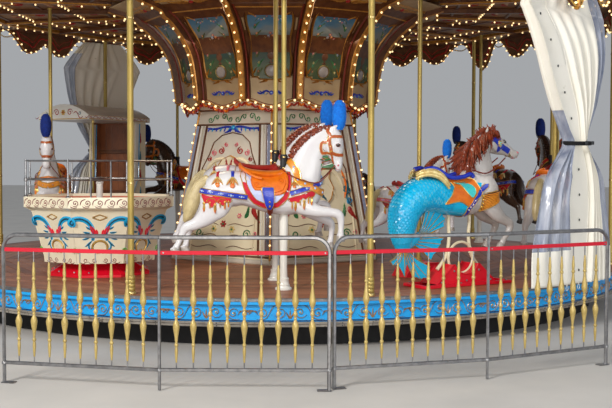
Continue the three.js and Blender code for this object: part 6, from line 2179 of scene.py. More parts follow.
def hippo_skin():
    parts = Shape()
    flesh(parts, FISH_SPINE, FISH_BLUE, 22, 4, 0.04)
    neck = [(0.13, 0, 1.37, 0.13, 0.19), (0.2, 0, 1.5, 0.112, 0.178), (0.215, 0, 1.61, 0.09, 0.15),
            (0.222, 0, 1.72, 0.072, 0.12),
            (0.25, 0, 1.81, 0.058, 0.092), (0.29, 0, 1.862, 0.048, 0.06)]
    flesh(parts, neck, FISH_BLUE, 20, 4)
    head = [(0.262, 0, 1.868, 0.04, 0.035), (0.315, 0, 1.852, 0.06, 0.075), (0.38, 0, 1.812, 0.066, 0.098),
            (0.455, 0, 1.785, 0.062, 0.088),
            (0.54, 0, 1.755, 0.047, 0.064), (0.61, 0, 1.722, 0.04, 0.05), (0.665, 0, 1.7, 0.039, 0.044),
            (0.69, 0, 1.692, 0.028, 0.03)]
    flesh(parts, head, FISH_BLUE, 18, 4)
    for s in (-1, 1):
        fore = [(0.19, s * 0.085, 1.3, 0.085, 0.12), (0.275, s * 0.1, 1.215, 0.07, 0.1),
                (0.36, s * 0.105, 1.12, 0.055, 0.072),
                (0.45, s * 0.105, 1.065, 0.044, 0.05), (0.51, s * 0.105, 1.04, 0.042, 0.045),
                (0.525, s * 0.105, 0.99, 0.034, 0.036),
                (0.49, s * 0.105, 0.93, 0.027, 0.029), (0.45, s * 0.105, 0.88, 0.025, 0.027),
                (0.432, s * 0.105, 0.852, 0.031, 0.033),
                (0.422, s * 0.105, 0.835, 0.028, 0.03)]
        flesh(parts, fore, FISH_BLUE, 14, 4)
        flesh(parts, [(0.2, s * 0.1, 1.47, 0.05, 0.08), (0.25, s * 0.122, 1.36, 0.055, 0.1),
                      (0.29, s * 0.115, 1.26, 0.04, 0.06)], FISH_BLUE, 12, 4)
        flesh(parts, [(0.34, s * 0.058, 1.85, 0.018, 0.045), (0.37, s * 0.064, 1.79, 0.02, 0.055),
                      (0.41, s * 0.056, 1.745, 0.016, 0.035)],
              FISH_BLUE, 10, 3)
        flesh(parts, [(0.262, s * 0.03, 1.885, 0.018, 0.022), (0.275, s * 0.04, 1.925, 0.015, 0.02),
                      (0.283, s * 0.044, 1.972, 0.006, 0.007)],
              FISH_BLUE, 10, 3)
        flesh(parts, [(0.655, s * 0.022, 1.725, 0.014, 0.018), (0.685, s * 0.026, 1.714, 0.015, 0.018),
                      (0.7, s * 0.02, 1.7, 0.01, 0.012)],
              FISH_BLUE, 8, 3)
    skin = melt(parts, "hippocampus", 0.0115, 4, 0.35)
    skin.mats = [FISH_BLUE, HIPPO_GREY]
    skin.slots = []
    for f in skin.faces:
        c = sum((skin.verts[i] for i in f), Vector()) / len(f)
        skin.slots.append(1 if c.x > girth_x(c.z) else 0)
    return skin


def add_scales(shape, tree):
    rows = resampled([s for s in FISH_SPINE if s[0] < -0.1], 7)
    last = len(rows) - 1
    for i, (x, y, z, w, d) in enumerate(rows[:-7]):
        centre = Vector((x, y, z))
        along = Vector(rows[min(i + 1, last)][:3]) - Vector(rows[max(i - 1, 0)][:3])
        along.normalize()
        up = Vector((0, 1, 0)).cross(along).normalized()
        count = 26
        for k in range(count):
            a = tau * (k + 0.5 * (i % 2)) / count
            if sin(a) * up.z * d < -0.75 * d:
                continue
            guess = centre + Vector((0, 1, 0)) * (w * cos(a)) + up * (d * sin(a))
            near = tree.find_nearest(guess)
            p, n = near[0], near[1].normalized()
            back = (along - n * along.dot(n)).normalized()
            side = n.cross(back).normalized()
            size = 0.026 * (0.7 + 0.3 * w / 0.16)
            # Scales higher on the tail take the lighter blue more often: a painted highlight where light
            # falls from above
            light = max(0.0, (p.z - 1.12) / 0.35) * (0.75 if dice.random() < 0.55 else 0.25) > 0.22
            verts = [p - n * 0.001]
            for j in range(7):
                b = -1.35 + 2.7 * j / 6
                verts.append(p + back * (size * 0.92 * cos(b)) + side * (size * 0.66 * sin(b)) + n
                             * (0.0045 * cos(b) + 0.0005))
            shape.add(verts, [(0, j + 1, j + 2) for j in range(6)], SCALE_HIGHLIGHT_BLUE if light else FISH_BLUE)


def make_hippocampus():
    place = standing(HIPPO_ANGLE, HIPPO_R)
    skin = hippo_skin()
    tree = skin_tree(skin)
    h = Shape().merge(skin)
    add_scales(h, tree)
    # Tail: the lower fan, its side lobe and the fan that curls up inside the arch
    root = (-0.69, 0.79)
    tips = [(-0.838, 0.713), (-0.807, 0.676), (-0.747, 0.676), (-0.671, 0.566), (-0.648, 0.691),
            (-0.568, 0.554), (-0.491, 0.534), (-0.400, 0.537), (-0.378, 0.642)]
    rays = [[(root[0] + 0.018 * (j - 4) / 4, 0.84), (root[0] + (t[0] - root[0]) * 0.45,
                                                     root[1] - (root[1] - t[1]) * 0.42), t] for j,
                                                     t in enumerate(tips)]
    fin(h, rays, 0.021, FISH_BLUE, GOLD_LINE)
    side_tips = [(-0.369, 0.705), (-0.281, 0.791), (-0.252, 0.849), (-0.215, 0.908), (-0.352, 0.923)]
    rays = [[(-0.69, 0.85 + 0.012 * j), (-0.55, 0.84 + 0.022 * j), t] for j, t in enumerate(side_tips)]
    fin(h, rays, 0.018, FISH_BLUE, GOLD_LINE)
    upper_tips = [(-0.437, 1.189), (-0.378, 1.201), (-0.309, 1.189), (-0.230, 1.157), (-0.196, 1.087),
                  (-0.215, 1.014), (-0.309, 0.984)]
    rays = [[(-0.6 + 0.004 * j, 0.9), (-0.5 + 0.018 * j, 0.985 - 0.006 * j), t] for j,
            t in enumerate(upper_tips)]
    fin(h, rays, 0.018, FISH_BLUE, GOLD_LINE)
    flesh(h, [(-0.66, 0, 0.86, 0.04, 0.06), (-0.57, 0, 0.9, 0.035, 0.05), (-0.5, 0, 0.95, 0.02, 0.03)],
          FISH_BLUE, 12, 4)
    for side in (-1, 1):
        put = side_skin(tree, side)
        cloth = [(-0.230, 1.450), (-0.203, 1.396), (-0.224, 1.362), (-0.251, 1.311), (-0.314, 1.235),
                 (-0.241, 1.245), (-0.159, 1.257), (-0.093, 1.237), (-0.042, 1.208), (-0.002, 1.218),
                 (0.029, 1.262),
                 (0.114, 1.308), (0.103, 1.374), (0.055, 1.464), (-0.025, 1.477), (-0.124, 1.464)]
        sheet_on(h, put, cloth, 0.008, ORANGE, 0.0055, GOLD_LINE)
        teal = [(-0.207, 1.450), (-0.179, 1.420), (-0.136, 1.425), (-0.110, 1.396), (-0.082, 1.357),
                (-0.039, 1.311), (-0.002, 1.289), (0.039, 1.331), (0.046, 1.374), (0.025, 1.406),
                (-0.025, 1.425),
                (-0.008, 1.462), (-0.096, 1.469)]
        sheet_on(h, put, teal, 0.014, TURQUOISE, 0.005, GOLD_LINE)
        lifted = lambda u, v, k, put=put: put(u, v, k + 0.014)
        for line in ([(-0.167, 1.445), (-0.096, 1.396), (-0.002, 1.311)],
                     [(-0.096, 1.445), (-0.039, 1.386), (0.015, 1.342)]):
            carve(h, line, 0.007, lifted, 0.003, TEAL)
        fringe = [(0.129, 1.311), (0.231, 1.342), (0.345, 1.364), (0.390, 1.342), (0.388, 1.289),
                  (0.348, 1.257), (0.260, 1.213), (0.126, 1.164)]
        sheet_on(h, put, fringe, 0.014, BROWN_FRAME, 0.004, GOLD_LINE)
        strands = 9
        for k in range(strands):
            t = k / (strands - 1)
            a, b = Vector((0.134, 1.303)).lerp(Vector((0.129, 1.171)),
                                               t), Vector((0.379, 1.352)).lerp(Vector((0.348, 1.259)), t)
            tube(h, [put(*a.lerp(b, s), 0.016 + 0.002 * sin(s * 9 + k))
                     for s in (i / 10 for i in range(11))],
                 [0.006 * (1 - 0.3 * i / 10) for i in range(11)], AMBER, 6)
        for k in range(5):
            p = Vector((0.132, 1.303)).lerp(Vector((0.126, 1.169)), k / 4)
            dome(h, *p, 0.012, put, 0.026, GOLD_LINE, 8)
        dome(h, *(0.382, 1.311), 0.013, put, 0.028, TURQUOISE, 8)
        # Girth with studs
        guide = [(x, side * 0.3, z) for x, z in ((0.112, 1.435), (0.096, 1.362), (0.035, 1.252),
                                                 (0.006, 1.179), (-0.025, 1.112))]
        guide += [(-0.02, side * 0.05, 1.1), (-0.02, 0, 1.1)]
        mid = strap(h, tree, guide, 0.044, 0.01, ROYAL, 0.0045, GOLD_LINE)
        for k in range(8, len(mid) - 4, 3):
            turned(h, [(0.0085, 0), (0.006, 0.004), (0.0, 0.005)], WHITE_PAINT, mid[k], 8,
                   axis=(0, side, 0))
        # Cantle scroll, saddle roll and seat edge
        cantle = [(-0.575, side * 0.04, 1.495), (-0.53, side * 0.085, 1.525), (-0.46, side * 0.115, 1.533),
                  (-0.38, side * 0.135, 1.51),
                  (-0.325, side * 0.152, 1.465), (-0.278, side * 0.162, 1.405)]
        path = smooth_path(cantle, 5)
        for dy, dz, r in ((0, 0, 0.024), (0.01, -0.026, 0.019), (-0.012, 0.018, 0.017)):
            tube(h, [p + Vector((0.4 * dz, side * dy, dz)) for p in path],
                 [r * (0.55 + 0.55 * sin(pi * i / (len(path) - 1))) for i in range(len(path))],
                 CREAM_GOLD, 9)
        ear = volute(*(-0.548, 1.494), 0.036, 0.008, 0.3, 1.3)
        carve(h, ear, 0.016, lambda u, v, k: Vector((u, side * (0.06 + k), v - 0.03)), 0.02, CREAM_GOLD)
        roll = [(-0.506, 1.557), (-0.409, 1.567), (-0.324, 1.525), (-0.245, 1.486), (-0.167, 1.479),
                (-0.068, 1.491), (0.015, 1.513), (0.049, 1.484)]
        ys = (0.075, 0.1, 0.118, 0.124, 0.124, 0.12, 0.112, 0.11)
        tube(h, smooth_path([(x, side * y, z) for (x, z), y in zip(roll, ys)], 5), 0.021, ROYAL, 10)
        # Bridle
        for guide, w in (([(0.302, 1.889), (0.356, 1.850), (0.409, 1.807), (0.480, 1.762), (0.561, 1.716)],
                          0.048),
                         ([(0.436, 1.901), (0.422, 1.850), (0.409, 1.807), (0.402, 1.747), (0.405, 1.689)],
                          0.04)):
            strap(h, tree, [(x, side * 0.12, z) for x, z in guide], w, 0.007, ROYAL, 0.003, ROYAL)
        rosette(h, *(0.409, 1.805), 0.036, lambda u, v, k, put=put: put(u, v, k + 0.007), 0.014,
                CREAM_GOLD, ORANGE, 8)
        rosette(h, *(0.409, 1.805), 0.018, lambda u, v, k, put=put: put(u, v, k + 0.016), 0.012, TURQUOISE,
                ORANGE, 6)
        tube(h, smooth_path([put(*p, 0.004) for p in ((0.561, 1.716), (0.587, 1.691), (0.584, 1.661),
                                                      (0.555, 1.652))], 4), 0.006, BRASS, 6)
        x, z = (0.508, 1.830)
        dome(h, x, z, 0.02, put, 0.015, EYE_DARK, 12, 1.25)
        for lift in (0.016, -0.013):
            tube(h, [put(x - 0.026 + 0.052 * t, z + lift * sin(pi * t), 0.005)
                     for t in (i / 8 for i in range(9))], 0.0042, HIPPO_GREY, 6)
        dome(h, *(0.681, 1.725), 0.013, put, 0.006, PINK, 10, 1.2, -0.5)
        dome(h, *(0.683, 1.725), 0.007, put, 0.009, GARLAND_RED, 8, 1.2, -0.5)
        tube(h, smooth_path([put(*p, 0.001) for p in ((0.681, 1.679), (0.644, 1.664), (0.608, 1.669))], 4),
             0.0035, PINK, 6)
        # Hand grip and the rein behind it
        tube(h, smooth_path([((0.049, 1.652)[0], side * 0.1, (0.049, 1.652)[1]), (0.13, side * 0.11, 1.71),
                             ((0.248, 1.774)[0], side * 0.085, (0.248, 1.774)[1])], 5),
             0.013, BLACK, 8)
        tube(h, smooth_path([(0.03, side * 0.12, 1.55), (0.12, side * 0.14, 1.525),
                             (0.2, side * 0.13, 1.522), (0.3, side * 0.1, 1.55),
                             (0.4, side * 0.07, 1.6), (0.5, side * 0.055, 1.67)], 6), 0.0065, RED_BROWN, 6)
    # Mane: long wavy locks that fall on both flanks
    crest = smooth_path([(x, 0, z) for x, z in ((0.409, 1.923), (0.352, 1.932), (0.267, 1.923),
                                                (0.188, 1.868), (0.110, 1.813), (0.068, 1.728),
                                                (0.049, 1.642), (0.043, 1.557))], 8)
    for j in range(40):
        p = crest[int(j / 39 * (len(crest) - 1))]
        t = j / 39
        for side in (-1, 1):
            for layer in range(4):
                reach = (0.1 + 0.17 * sin(pi * min(t * 0.95 + 0.05, 1))) * (1.0 if layer < 2 else 0.8)
                root = p + Vector((0.02 - 0.012 * layer + dice.uniform(-0.01, 0.01),
                                   side * (0.02 + 0.014 * layer), -0.008 * layer))
                back = Vector((-0.55 + 0.75 * t * (layer / 3) + dice.uniform(-0.15, 0.15),
                               side * (0.6 - 0.25 * t), -0.35 - 0.5 * t))
                if t < 0.2:
                    back = Vector((-0.25, side * 0.7, -0.3))
                    reach = 0.075
                lock(h, root, back, reach * dice.uniform(0.85, 1.15), 0.021, MANE_BROWN,
                     dice.uniform(0.5, 1.5) * (1 if j % 2 else -1), 1.1, 5,
                     (1, 0, 0.3))
        lock(h, p, Vector((-0.8, 0, 0.35)) if t > 0.2 else Vector((-0.3, 0, 0.6)), 0.07, 0.022, MANE_BROWN,
             dice.uniform(-1.5, 1.5), 0.4, 5, (0, 1, 0))
    for x, y, z, lean in ((0.412, -0.105, 0.835, 0.35), (0.412, 0.105, 0.835, 0.35)):
        turned(h, [(0.04, -0.05), (0.041, -0.044), (0.034, 0.0), (0.031, 0.006)], HOOF, (x, y, z), 16,
               axis=(sin(lean), 0, cos(lean)))
    seat = [(-0.44, 0, 1.512, 0.09, 0.02), (-0.36, 0, 1.49, 0.115, 0.026), (-0.24, 0, 1.452, 0.12, 0.03),
            (-0.12, 0, 1.445, 0.116, 0.03),
            (0.0, 0, 1.455, 0.1, 0.03), (0.05, 0, 1.47, 0.06, 0.02)]
    flesh(h, seat, ORANGE, 16, 4)
    piece(Shape().merge(h, place), "hippocampus_figure", "platform", ["hippocampus"], "sea_horse_paint", 50)

    # Stand
    s = Shape()
    foot = DECK_TOP + 0.0003
    for route in (((-0.16, 1.24), (-0.158, 1.05), (-0.15, 0.9), (-0.185, 0.735), (-0.29, 0.61)),
                  ((0.1, 1.24), (0.098, 1.05), (0.09, 0.9), (0.125, 0.735), (0.23, 0.61))):
        path = smooth_path([(x, 0, z) for x, z in route], 6)
        tube(s, path, 0.0175, STAND_CREAM, 10, flat=1.0)
        for p in (path[2], path[-8]):
            turned(s, [(0.0175, -0.012), (0.021, -0.008), (0.021, 0.008), (0.0175, 0.012)], STAND_CREAM, p,
                   12, axis=(path[3] - path[1]))
    tube(s, [(-0.03 + 0.15 * cos(a), -0.03, 0.715 + 0.15 * sin(a))
             for a in (tau * i / 40 for i in range(40))], 0.0135, STAND_CREAM, 10,
         closed=True, up=(0, 1, 0))
    notch = [(-0.03 + 0.15 * cos(a), 0.715 + 0.15 * sin(a))
             for a in (radians(202 + 8.5 * i) for i in range(17))]
    outline = [(-0.39, foot + 0.03), (-0.185, 0.66), *notch, (0.125, 0.66), (0.33, foot + 0.03)]
    for y in (-0.12, 0.108):
        block(s, (-0.39, y, foot), (0.33, y + 0.012, foot + 0.032), RED_PAINT, 0.003)
    verts = []
    for y in (-0.118, 0.118):
        verts += [Vector((x, y, z)) for x, z in outline]
    n = len(outline)
    rims = [(k, (k + 1) % n, (k + 1) % n + n, k + n) for k in range(n)]
    s.add(verts, [tuple(reversed(range(n))), tuple(range(n, 2 * n))] + rims, RED_PAINT)
    for y in (-0.121, 0.121):
        loop = [(x, y, z) for x, z in outline]
        tube(s, loop + [loop[0]], 0.006, RED_PAINT, 6)
        for x, z in ((-0.33, 0.5), (-0.18, 0.6), (0.12, 0.6), (0.27, 0.5), (-0.03, 0.505)):
            turned(s, [(0.011, 0), (0.011, 0.004), (0.007, 0.008), (0, 0.009)], STEEL, (x, y, z), 6,
                   axis=(0, 1 if y > 0 else -1, 0))
    for y in (-0.15, 0.15):
        block(s, (-0.56, y - 0.02, foot), (0.5, y + 0.02, foot + 0.03), RED_PAINT, 0.004)
        for x in (-0.5, -0.12, 0.44):
            turned(s, [(0.012, 0), (0.012, 0.006), (0.008, 0.01), (0, 0.011)], STEEL, (x, y, foot + 0.03),
                   6)
    for x in (-0.54, 0.0, 0.48):
        block(s, (x - 0.02, -0.13, foot), (x + 0.02, 0.13, foot + 0.029), RED_PAINT, 0.003)
    piece(Shape().merge(s, place), "hippocampus_cradle", "platform", ["hippocampus_stand"], "red_paint", 40)


def make_pony(built):
    """The small fixed horse inside, with red harness, on its own stand and pole."""
    place = standing(PONY_ANGLE, PONY_R)
    scale = Matrix.Translation((0, 0, PONY_LIFT)) @ Matrix.Diagonal((PONY_SCALE, PONY_SCALE, PONY_SCALE, 1))
    piece(Shape().merge(built["rose"], place @ scale), "inner_pony_figure", "platform", ["inner_pony"],
          "horse_paint", 50)
    s = Shape()
    foot = DECK_TOP + 0.0003
    outline = ((-0.26, foot), (0.26, foot), (0.17, foot + 0.13), (-0.17, foot + 0.13))
    verts = [Vector((x, y, z)) for y in (-0.11, 0.11) for x, z in outline]
    s.add(verts, [(0, 1, 2, 3), (7, 6, 5, 4), (0, 4, 5, 1), (1, 5, 6, 2), (2, 6, 7, 3), (3, 7, 4, 0)],
          RED_PAINT)
    for y in (-0.111, 0.111):
        loop = [(x, y, z) for x, z in outline]
        tube(s, loop + [loop[0]], 0.006, RED_PAINT, 6)
    turned(s, [(0.05, foot + 0.13), (0.05, foot + 0.142), (0.034, foot + 0.15), (0.034, foot + 0.185),
               (POLE_R, foot + 0.19),
               (POLE_R, CEILING_Z - 0.0003)], POST_GOLD, sides=20)
    piece(Shape().merge(s, place), "pony_pole_and_foot", "platform", ["pony_stand"], "gold_metal", 35)


# Tub, coach and curtains

TUB_CREAM = finish_of("tub_cream", (0.83, 0.76, 0.58), (0.77, 0.69, 0.5), 0.3, coat=0.4, scale=3,
                      wear=(0.62, 0.53, 0.38), worn=0.01)
TUB_TEAL = finish_of("tub_teal", (0.008, 0.07, 0.12), (0.006, 0.045, 0.085), 0.4, coat=0.1, scale=20)
TUB_CYAN = finish_of("tub_cyan", (0.0, 0.4, 0.7), (0.0, 0.32, 0.62), 0.4, coat=0.1, scale=20)
LEAF_GREEN = finish_of("leaf_green", (0.22, 0.5, 0.12), (0.12, 0.34, 0.07), 0.35, coat=0.3, scale=20)
CURTAIN_CLOTH = finish_of("curtain_cloth", (0.9, 0.87, 0.79), (0.84, 0.81, 0.72), 0.8, scale=2.2,
                          grain=600, depth=0.0005,
                          wear=(0.62, 0.58, 0.48), worn=0.0)
CURTAIN_CLOTH.node_tree.nodes["Principled BSDF"].inputs["Sheen Weight"].default_value = 0.15
CLEAR_SHEET = finish_of("clear_sheet", (0.6, 0.64, 0.75), (0.24, 0.29, 0.42), 0.12, coat=0.6, scale=9,
                        grain=22, depth=0.03,
                        stretch=(1, 1, 0.12))
CLEAR_SHEET.node_tree.nodes["Principled BSDF"].inputs["Alpha"].default_value = 0.62

TUB_FACE = radians(13.6 + 38)
TUB_CORNER = TUB_FACE + pi / 8
TUB_SKIN = ((0.595, 0.6006), (0.601, 0.66), (0.723, 1.108), (0.737, 1.133), (0.786, 1.158), (0.806, 1.165),
            (0.806, 1.27))


def between(table, z):
    """The radius at a height on a list of (radius, height) points."""
    for (r0, z0), (r1, z1) in zip(table, table[1:]):
        if z <= z1:
            return r0 + (r1 - r0) * (z - z0) / (z1 - z0)
    return table[-1][0]


def tub_side(k):
    a = TUB_FACE + k * pi / 4
    out, across = Vector((sin(a), -cos(a), 0)), Vector((cos(a), sin(a), 0))
    return lambda u, v, h: out * (between(TUB_SKIN, v) * cos(pi / 8) + h) + across * u + Vector((0, 0, v))


def mirror_line(points, way):
    return [(u * way, v) for u, v in points]


def tub_ornament(shape, put):
    # Running scrolls on the rim band
    for j in range(5):
        u = -0.235 + 0.1175 * j
        carve(shape, volute(u, 1.215, 0.04, 0.006, pi * 1.1, 1.55), 0.0115, put, 0.005, MAROON)
        carve(shape, arc_curve(u - 0.068, 1.192, u - 0.015, 1.252, 0.25), 0.013, put, 0.005, MAROON)
        carve(shape, arc_curve(u - 0.05, 1.185, u + 0.02, 1.176, -0.18), 0.011, put, 0.005, MAROON)
        dome(shape, u, 1.215, 0.006, put, 0.007, MAROON, 6)
    # Gold diamond
    diamond = [(-0.072, 1.069), (0, 1.097), (0.072, 1.069), (0, 1.041)]
    for p, q in zip(diamond, diamond[1:] + diamond[:1]):
        carve(shape, [p, ((p[0] + q[0]) / 2, (p[1] + q[1]) / 2), q], 0.017, put, 0.007, BROWN_FRAME, 0)
        carve(shape, [p, ((p[0] + q[0]) / 2, (p[1] + q[1]) / 2), q], 0.0115, put, 0.01, GOLD_LINE, 0)
    for way in (-1, 1):
        # Scroll arm that curls at its outer end
        arm = mirror_line(((0.238, 0.995), (0.267, 0.995), (0.287, 1.011), (0.278, 1.035), (0.235, 1.054),
                           (0.179, 1.054), (0.128, 1.032), (0.093, 0.995), (0.071, 0.950), (0.060, 0.899),
                           (0.071, 0.838)), way)
        arm = [tuple(p[:2]) for p in smooth_path([(u, v, 0) for u, v in arm], 4)]
        share = lambda t, w: w * (0.45 + 0.55 * sin(pi * min(0.12 + 0.8 * t, 1.0)))
        carve(shape, arm, lambda t: share(t, 0.06), put, 0.004, TUB_CYAN)
        carve(shape, arm, lambda t: share(t, 0.04), put, 0.008, TUB_TEAL)
        vein = [(u + way * 0.004, v + 0.005) for u, v in arm[4:-3]]
        carve(shape, vein, 0.005, put, 0.0105, TUB_CYAN)
        carve(shape, volute(*mirror_line([(0.259, 1.011)], way)[0], 0.014, 0.003, 0 if way < 0 else pi,
                            way * 1.2), 0.007, put, 0.01, TUB_CYAN)
        for (u, v), a, size in (((0.087, 0.950), 2.9, 0.06), ((0.095, 0.915), 3.3, 0.075),
                                ((0.101, 0.870), 3.75, 0.08), ((0.087, 0.830), 4.2, 0.085)):
            a = pi - a if way > 0 else a
            u = u * way
            for w, h, mat in ((0.034, 0.004, TUB_CYAN), (0.02, 0.008, TUB_TEAL)):
                leaf(shape, u, v, a, size, w, put, h, mat, way * 0.5)
        for (u, v), a, size in (((0.055, 0.899), 1.7, 0.11), ((0.044, 0.878), 1.15, 0.075)):
            leaf(shape, u * way, v, pi - a if way > 0 else a, size, 0.048, put, 0.007, RED_PAINT,
                 -way * 0.5)
            leaf(shape, u * way, v, pi - a if way > 0 else a, size * 0.8, 0.016, put, 0.01, PINK,
                 -way * 0.5)
        tail = mirror_line(((0.077, 0.838), (0.106, 0.799), (0.103, 0.759), (0.079, 0.737)), way)
        carve(shape, [tuple(p[:2]) for p in smooth_path([(u, v, 0) for u, v in tail], 4)], 0.026, put,
              0.005, TUB_CYAN)
        carve(shape, [tuple(p[:2]) for p in smooth_path([(u, v, 0) for u, v in tail], 4)], 0.014, put,
              0.008, TUB_TEAL)
        # Small green bell at the side and a scroll on the foot band
        u, v = (-0.248, 0.737)
        slab(shape, [(u * way - 0.024, v - 0.022), (u * way + 0.024, v - 0.022),
                     (u * way + 0.02, v + 0.01), (u * way, v + 0.028),
                     (u * way - 0.02, v + 0.01)], put, 0.006, LEAF_GREEN, 0.003)
        dome(shape, u * way, v - 0.002, 0.012, put, 0.01, GREEN, 8)
        for j in range(2):
            c = way * (0.055 + 0.085 * j)
            carve(shape, volute(c, 0.636, 0.028, 0.005, pi if way > 0 else 0, way * 1.4), 0.011, put,
                  0.004, MAROON)
            carve(shape, arc_curve(c, 0.611, c + way * 0.06, 0.62, -way * 0.2), 0.011, put, 0.004, MAROON)
    # Gold ring, open below
    ring = [(0.074 * cos(a), 0.768 + 0.066 * sin(a)) for a in (-0.95 + (pi + 1.9) * i / 26
        for i in range(27))]
    carve(shape, ring, 0.03, put, 0.006, BROWN_FRAME, 0.08)
    carve(shape, ring, 0.022, put, 0.011, GOLD_LINE, 0.08)
    for way in (-1, 1):
        carve(shape, [(way * 0.045, 0.716), (way * 0.028, 0.706), (way * 0.014, 0.716),
                      (way * 0.012, 0.735)], 0.014, put, 0.011, GOLD_LINE)
    carve(shape, [(-0.03, 0.775), (0, 0.79), (0.03, 0.775)], 0.007, put, 0.004, TUB_CREAM)


def make_tub():
    place = standing(TUB_ANGLE, TUB_R)
    shell = Shape()
    turned(shell, TUB_SKIN, TUB_CREAM, sides=8, phase=TUB_CORNER)
    shell.faces, shell.slots = [f for f in shell.faces if len(f) == 4], [0] * sum(len(f) == 4
        for f in shell.faces)
    turned(shell, [(0.806, 1.27), (0.774, 1.27), (0.766, 1.24)], TUB_CREAM, sides=8, phase=TUB_CORNER)
    turned(shell, [(0.766, 1.24), (0.646, 1.06), (0.45, 1.04), (0.45, 1.0), (0.44, 0.7), (0.045, 0.69),
                   (0.045, 0.6006)], SALMON, sides=8,
           phase=TUB_CORNER)
    turned(shell, [(0.045, 0.6006), (0.595, 0.6006)], TUB_CREAM, sides=8, phase=TUB_CORNER)
    shell.slots = [s for f, s in zip(shell.faces, shell.slots) if len(f) == 4]
    shell.faces = [f for f in shell.faces if len(f) == 4]
    for k in range(8):
        tub_ornament(shell, tub_side(k))
        a = TUB_CORNER + k * pi / 4
        edge = [Vector((r * sin(a), -r * cos(a), z)) for r, z in TUB_SKIN]
        tube(shell, edge, 0.004, TUB_CREAM, 6)
        # Seat planks, one bench to each side
        b = TUB_FACE + k * pi / 4
        turn = Matrix.Rotation(b, 4, "Z")
        for j in range(3):
            r0 = 0.428 + 0.056 * j
            half = r0 * sin(pi / 8) / cos(pi / 8) - 0.006
            block(shell, (-half, -r0 - 0.05, 1.043 + 0.0045 * j), (half, -r0, 1.053 + 0.0045 * j), SALMON,
                  0.003, turn)
    for r in (0.12, 0.25, 0.38):
        turned(shell, [(r, 0.695), (r + 0.006, 0.7), (r + 0.012, 0.695)], BROWN_FRAME, sides=24)
    turned(shell, [(0.045, 0.69), (0.062, 0.69), (0.062, 0.712), (0.045, 0.716)], STEEL, sides=20)
    piece(Shape().merge(shell, place), "tub_carved_shell", "tub", ["tub_shell"], "tub_paint", 30)

    rail = Shape()
    top, middle, low, r = 1.63, 1.44, 1.2703, 0.788
    ends = [Vector((r * sin(TUB_CORNER + k * pi / 4), -r * cos(TUB_CORNER + k * pi / 4), 0))
            for k in range(8)]
    up = Vector((0, 0, 1))
    for k, p in enumerate(ends):
        turned(rail, [(0.026, low), (0.026, low + 0.006), (0.02, low + 0.01), (0.0115, low + 0.016),
                      (0.0102, low + 0.02), (0.0102, top + 0.004),
                      (0.009, top + 0.012), (0.0, top + 0.014)], STEEL, p, 14)
        turned(rail, [(0.0125, middle - 0.018), (0.018, middle - 0.014), (0.018, middle + 0.014),
                      (0.0125, middle + 0.018)], STEEL, p, 14)
        q = ends[(k + 1) % 8]
        tube(rail, [p + up * top, q + up * top], 0.01, STEEL, 12)
        tube(rail, [p + up * middle, q + up * middle], 0.008, STEEL, 12)
        for t in (0.36, 0.68):
            if k == 7:
                m = p.lerp(q, t)
                tube(rail, [m + up * low, m + up * top], 0.009, STEEL, 10)
    piece(Shape().merge(rail, place), "tub_handrail", "tub", ["tub_rail"], "rail_steel", 35)

    base = Shape()
    foot = DECK_TOP + 0.0003
    skirt = ((0.545, foot), (0.545, foot + 0.025), (0.385, 0.565), (0.37, 0.58), (0.37, 0.5995),
             (0.0, 0.5995))
    turned(base, skirt, RED_PAINT, sides=8, phase=TUB_CORNER)
    for k in range(8):
        a, b = TUB_CORNER + k * pi / 4, TUB_FACE + k * pi / 4
        tube(base, [(r * sin(a), -r * cos(a), z) for r, z in skirt[1:4]], 0.006, RED_PAINT, 8)
        out, across = Vector((sin(b), -cos(b), 0)), Vector((cos(b), sin(b), 0))
        for u in (-0.11, 0.11):
            seat = out * (0.505 * cos(pi / 8)) + across * u + Vector((0, 0, 0.5))
            turned(base, [(0.012, 0), (0.012, 0.006), (0.008, 0.01), (0, 0.011)], STEEL, seat, 6,
                   axis=out * 0.47 + Vector((0, 0, 0.88)))
    turned(base, [(0.034, 0.6), (0.034, 1.39), (0.04, 1.394), (0.04, 1.412), (0.034, 1.418),
                  (0.03, 1.436)], WHITE_PAINT, sides=24)
    wheel = 1.45
    tube(base, [(0.1 * cos(a), 0.1 * sin(a), wheel) for a in (tau * i / 36 for i in range(36))], 0.0115,
         STEEL, 10, closed=True)
    for k in range(4):
        a = pi / 4 + k * pi / 2
        tube(base, [(0.02 * cos(a), 0.02 * sin(a), wheel), (0.1 * cos(a), 0.1 * sin(a), wheel)], 0.007,
             STEEL, 8)
    turned(base, [(0.046, wheel - 0.014), (0.048, wheel + 0.004), (0.04, wheel + 0.012),
                  (0.0, wheel + 0.015)], GALVANISED, sides=24)
    piece(Shape().merge(base, place), "tub_foot_and_wheel", "platform", ["tub_base"], "red_paint", 35)


# Coach

COACH_EAVES = 2.2
COACH_SIDE = ((-0.6, 0.5153), (-0.42, 0.4553), (0.36, 0.4553), (0.56, 0.5153), (0.66, 0.82), (0.56, 1.01),
              (0.33, 1.06), (0.12, 0.93),
              (-0.15, 0.95), (-0.33, 1.15), (-0.35, 1.42), (-0.362, 1.75), (-0.38, 2.2), (-0.62, 2.2))


def upright_plate(shape, outline, y0, y1, face, back, edge):
    n = len(outline)
    verts = [Vector((x, y, z)) for y in (y0, y1) for x, z in outline]
    shape.add(verts, [tuple(range(n))], face)
    shape.add(verts, [tuple(reversed(range(n, 2 * n)))], back)
    return shape.add(verts, [(i, i + n, (i + 1) % n + n, (i + 1) % n) for i in range(n)], edge)


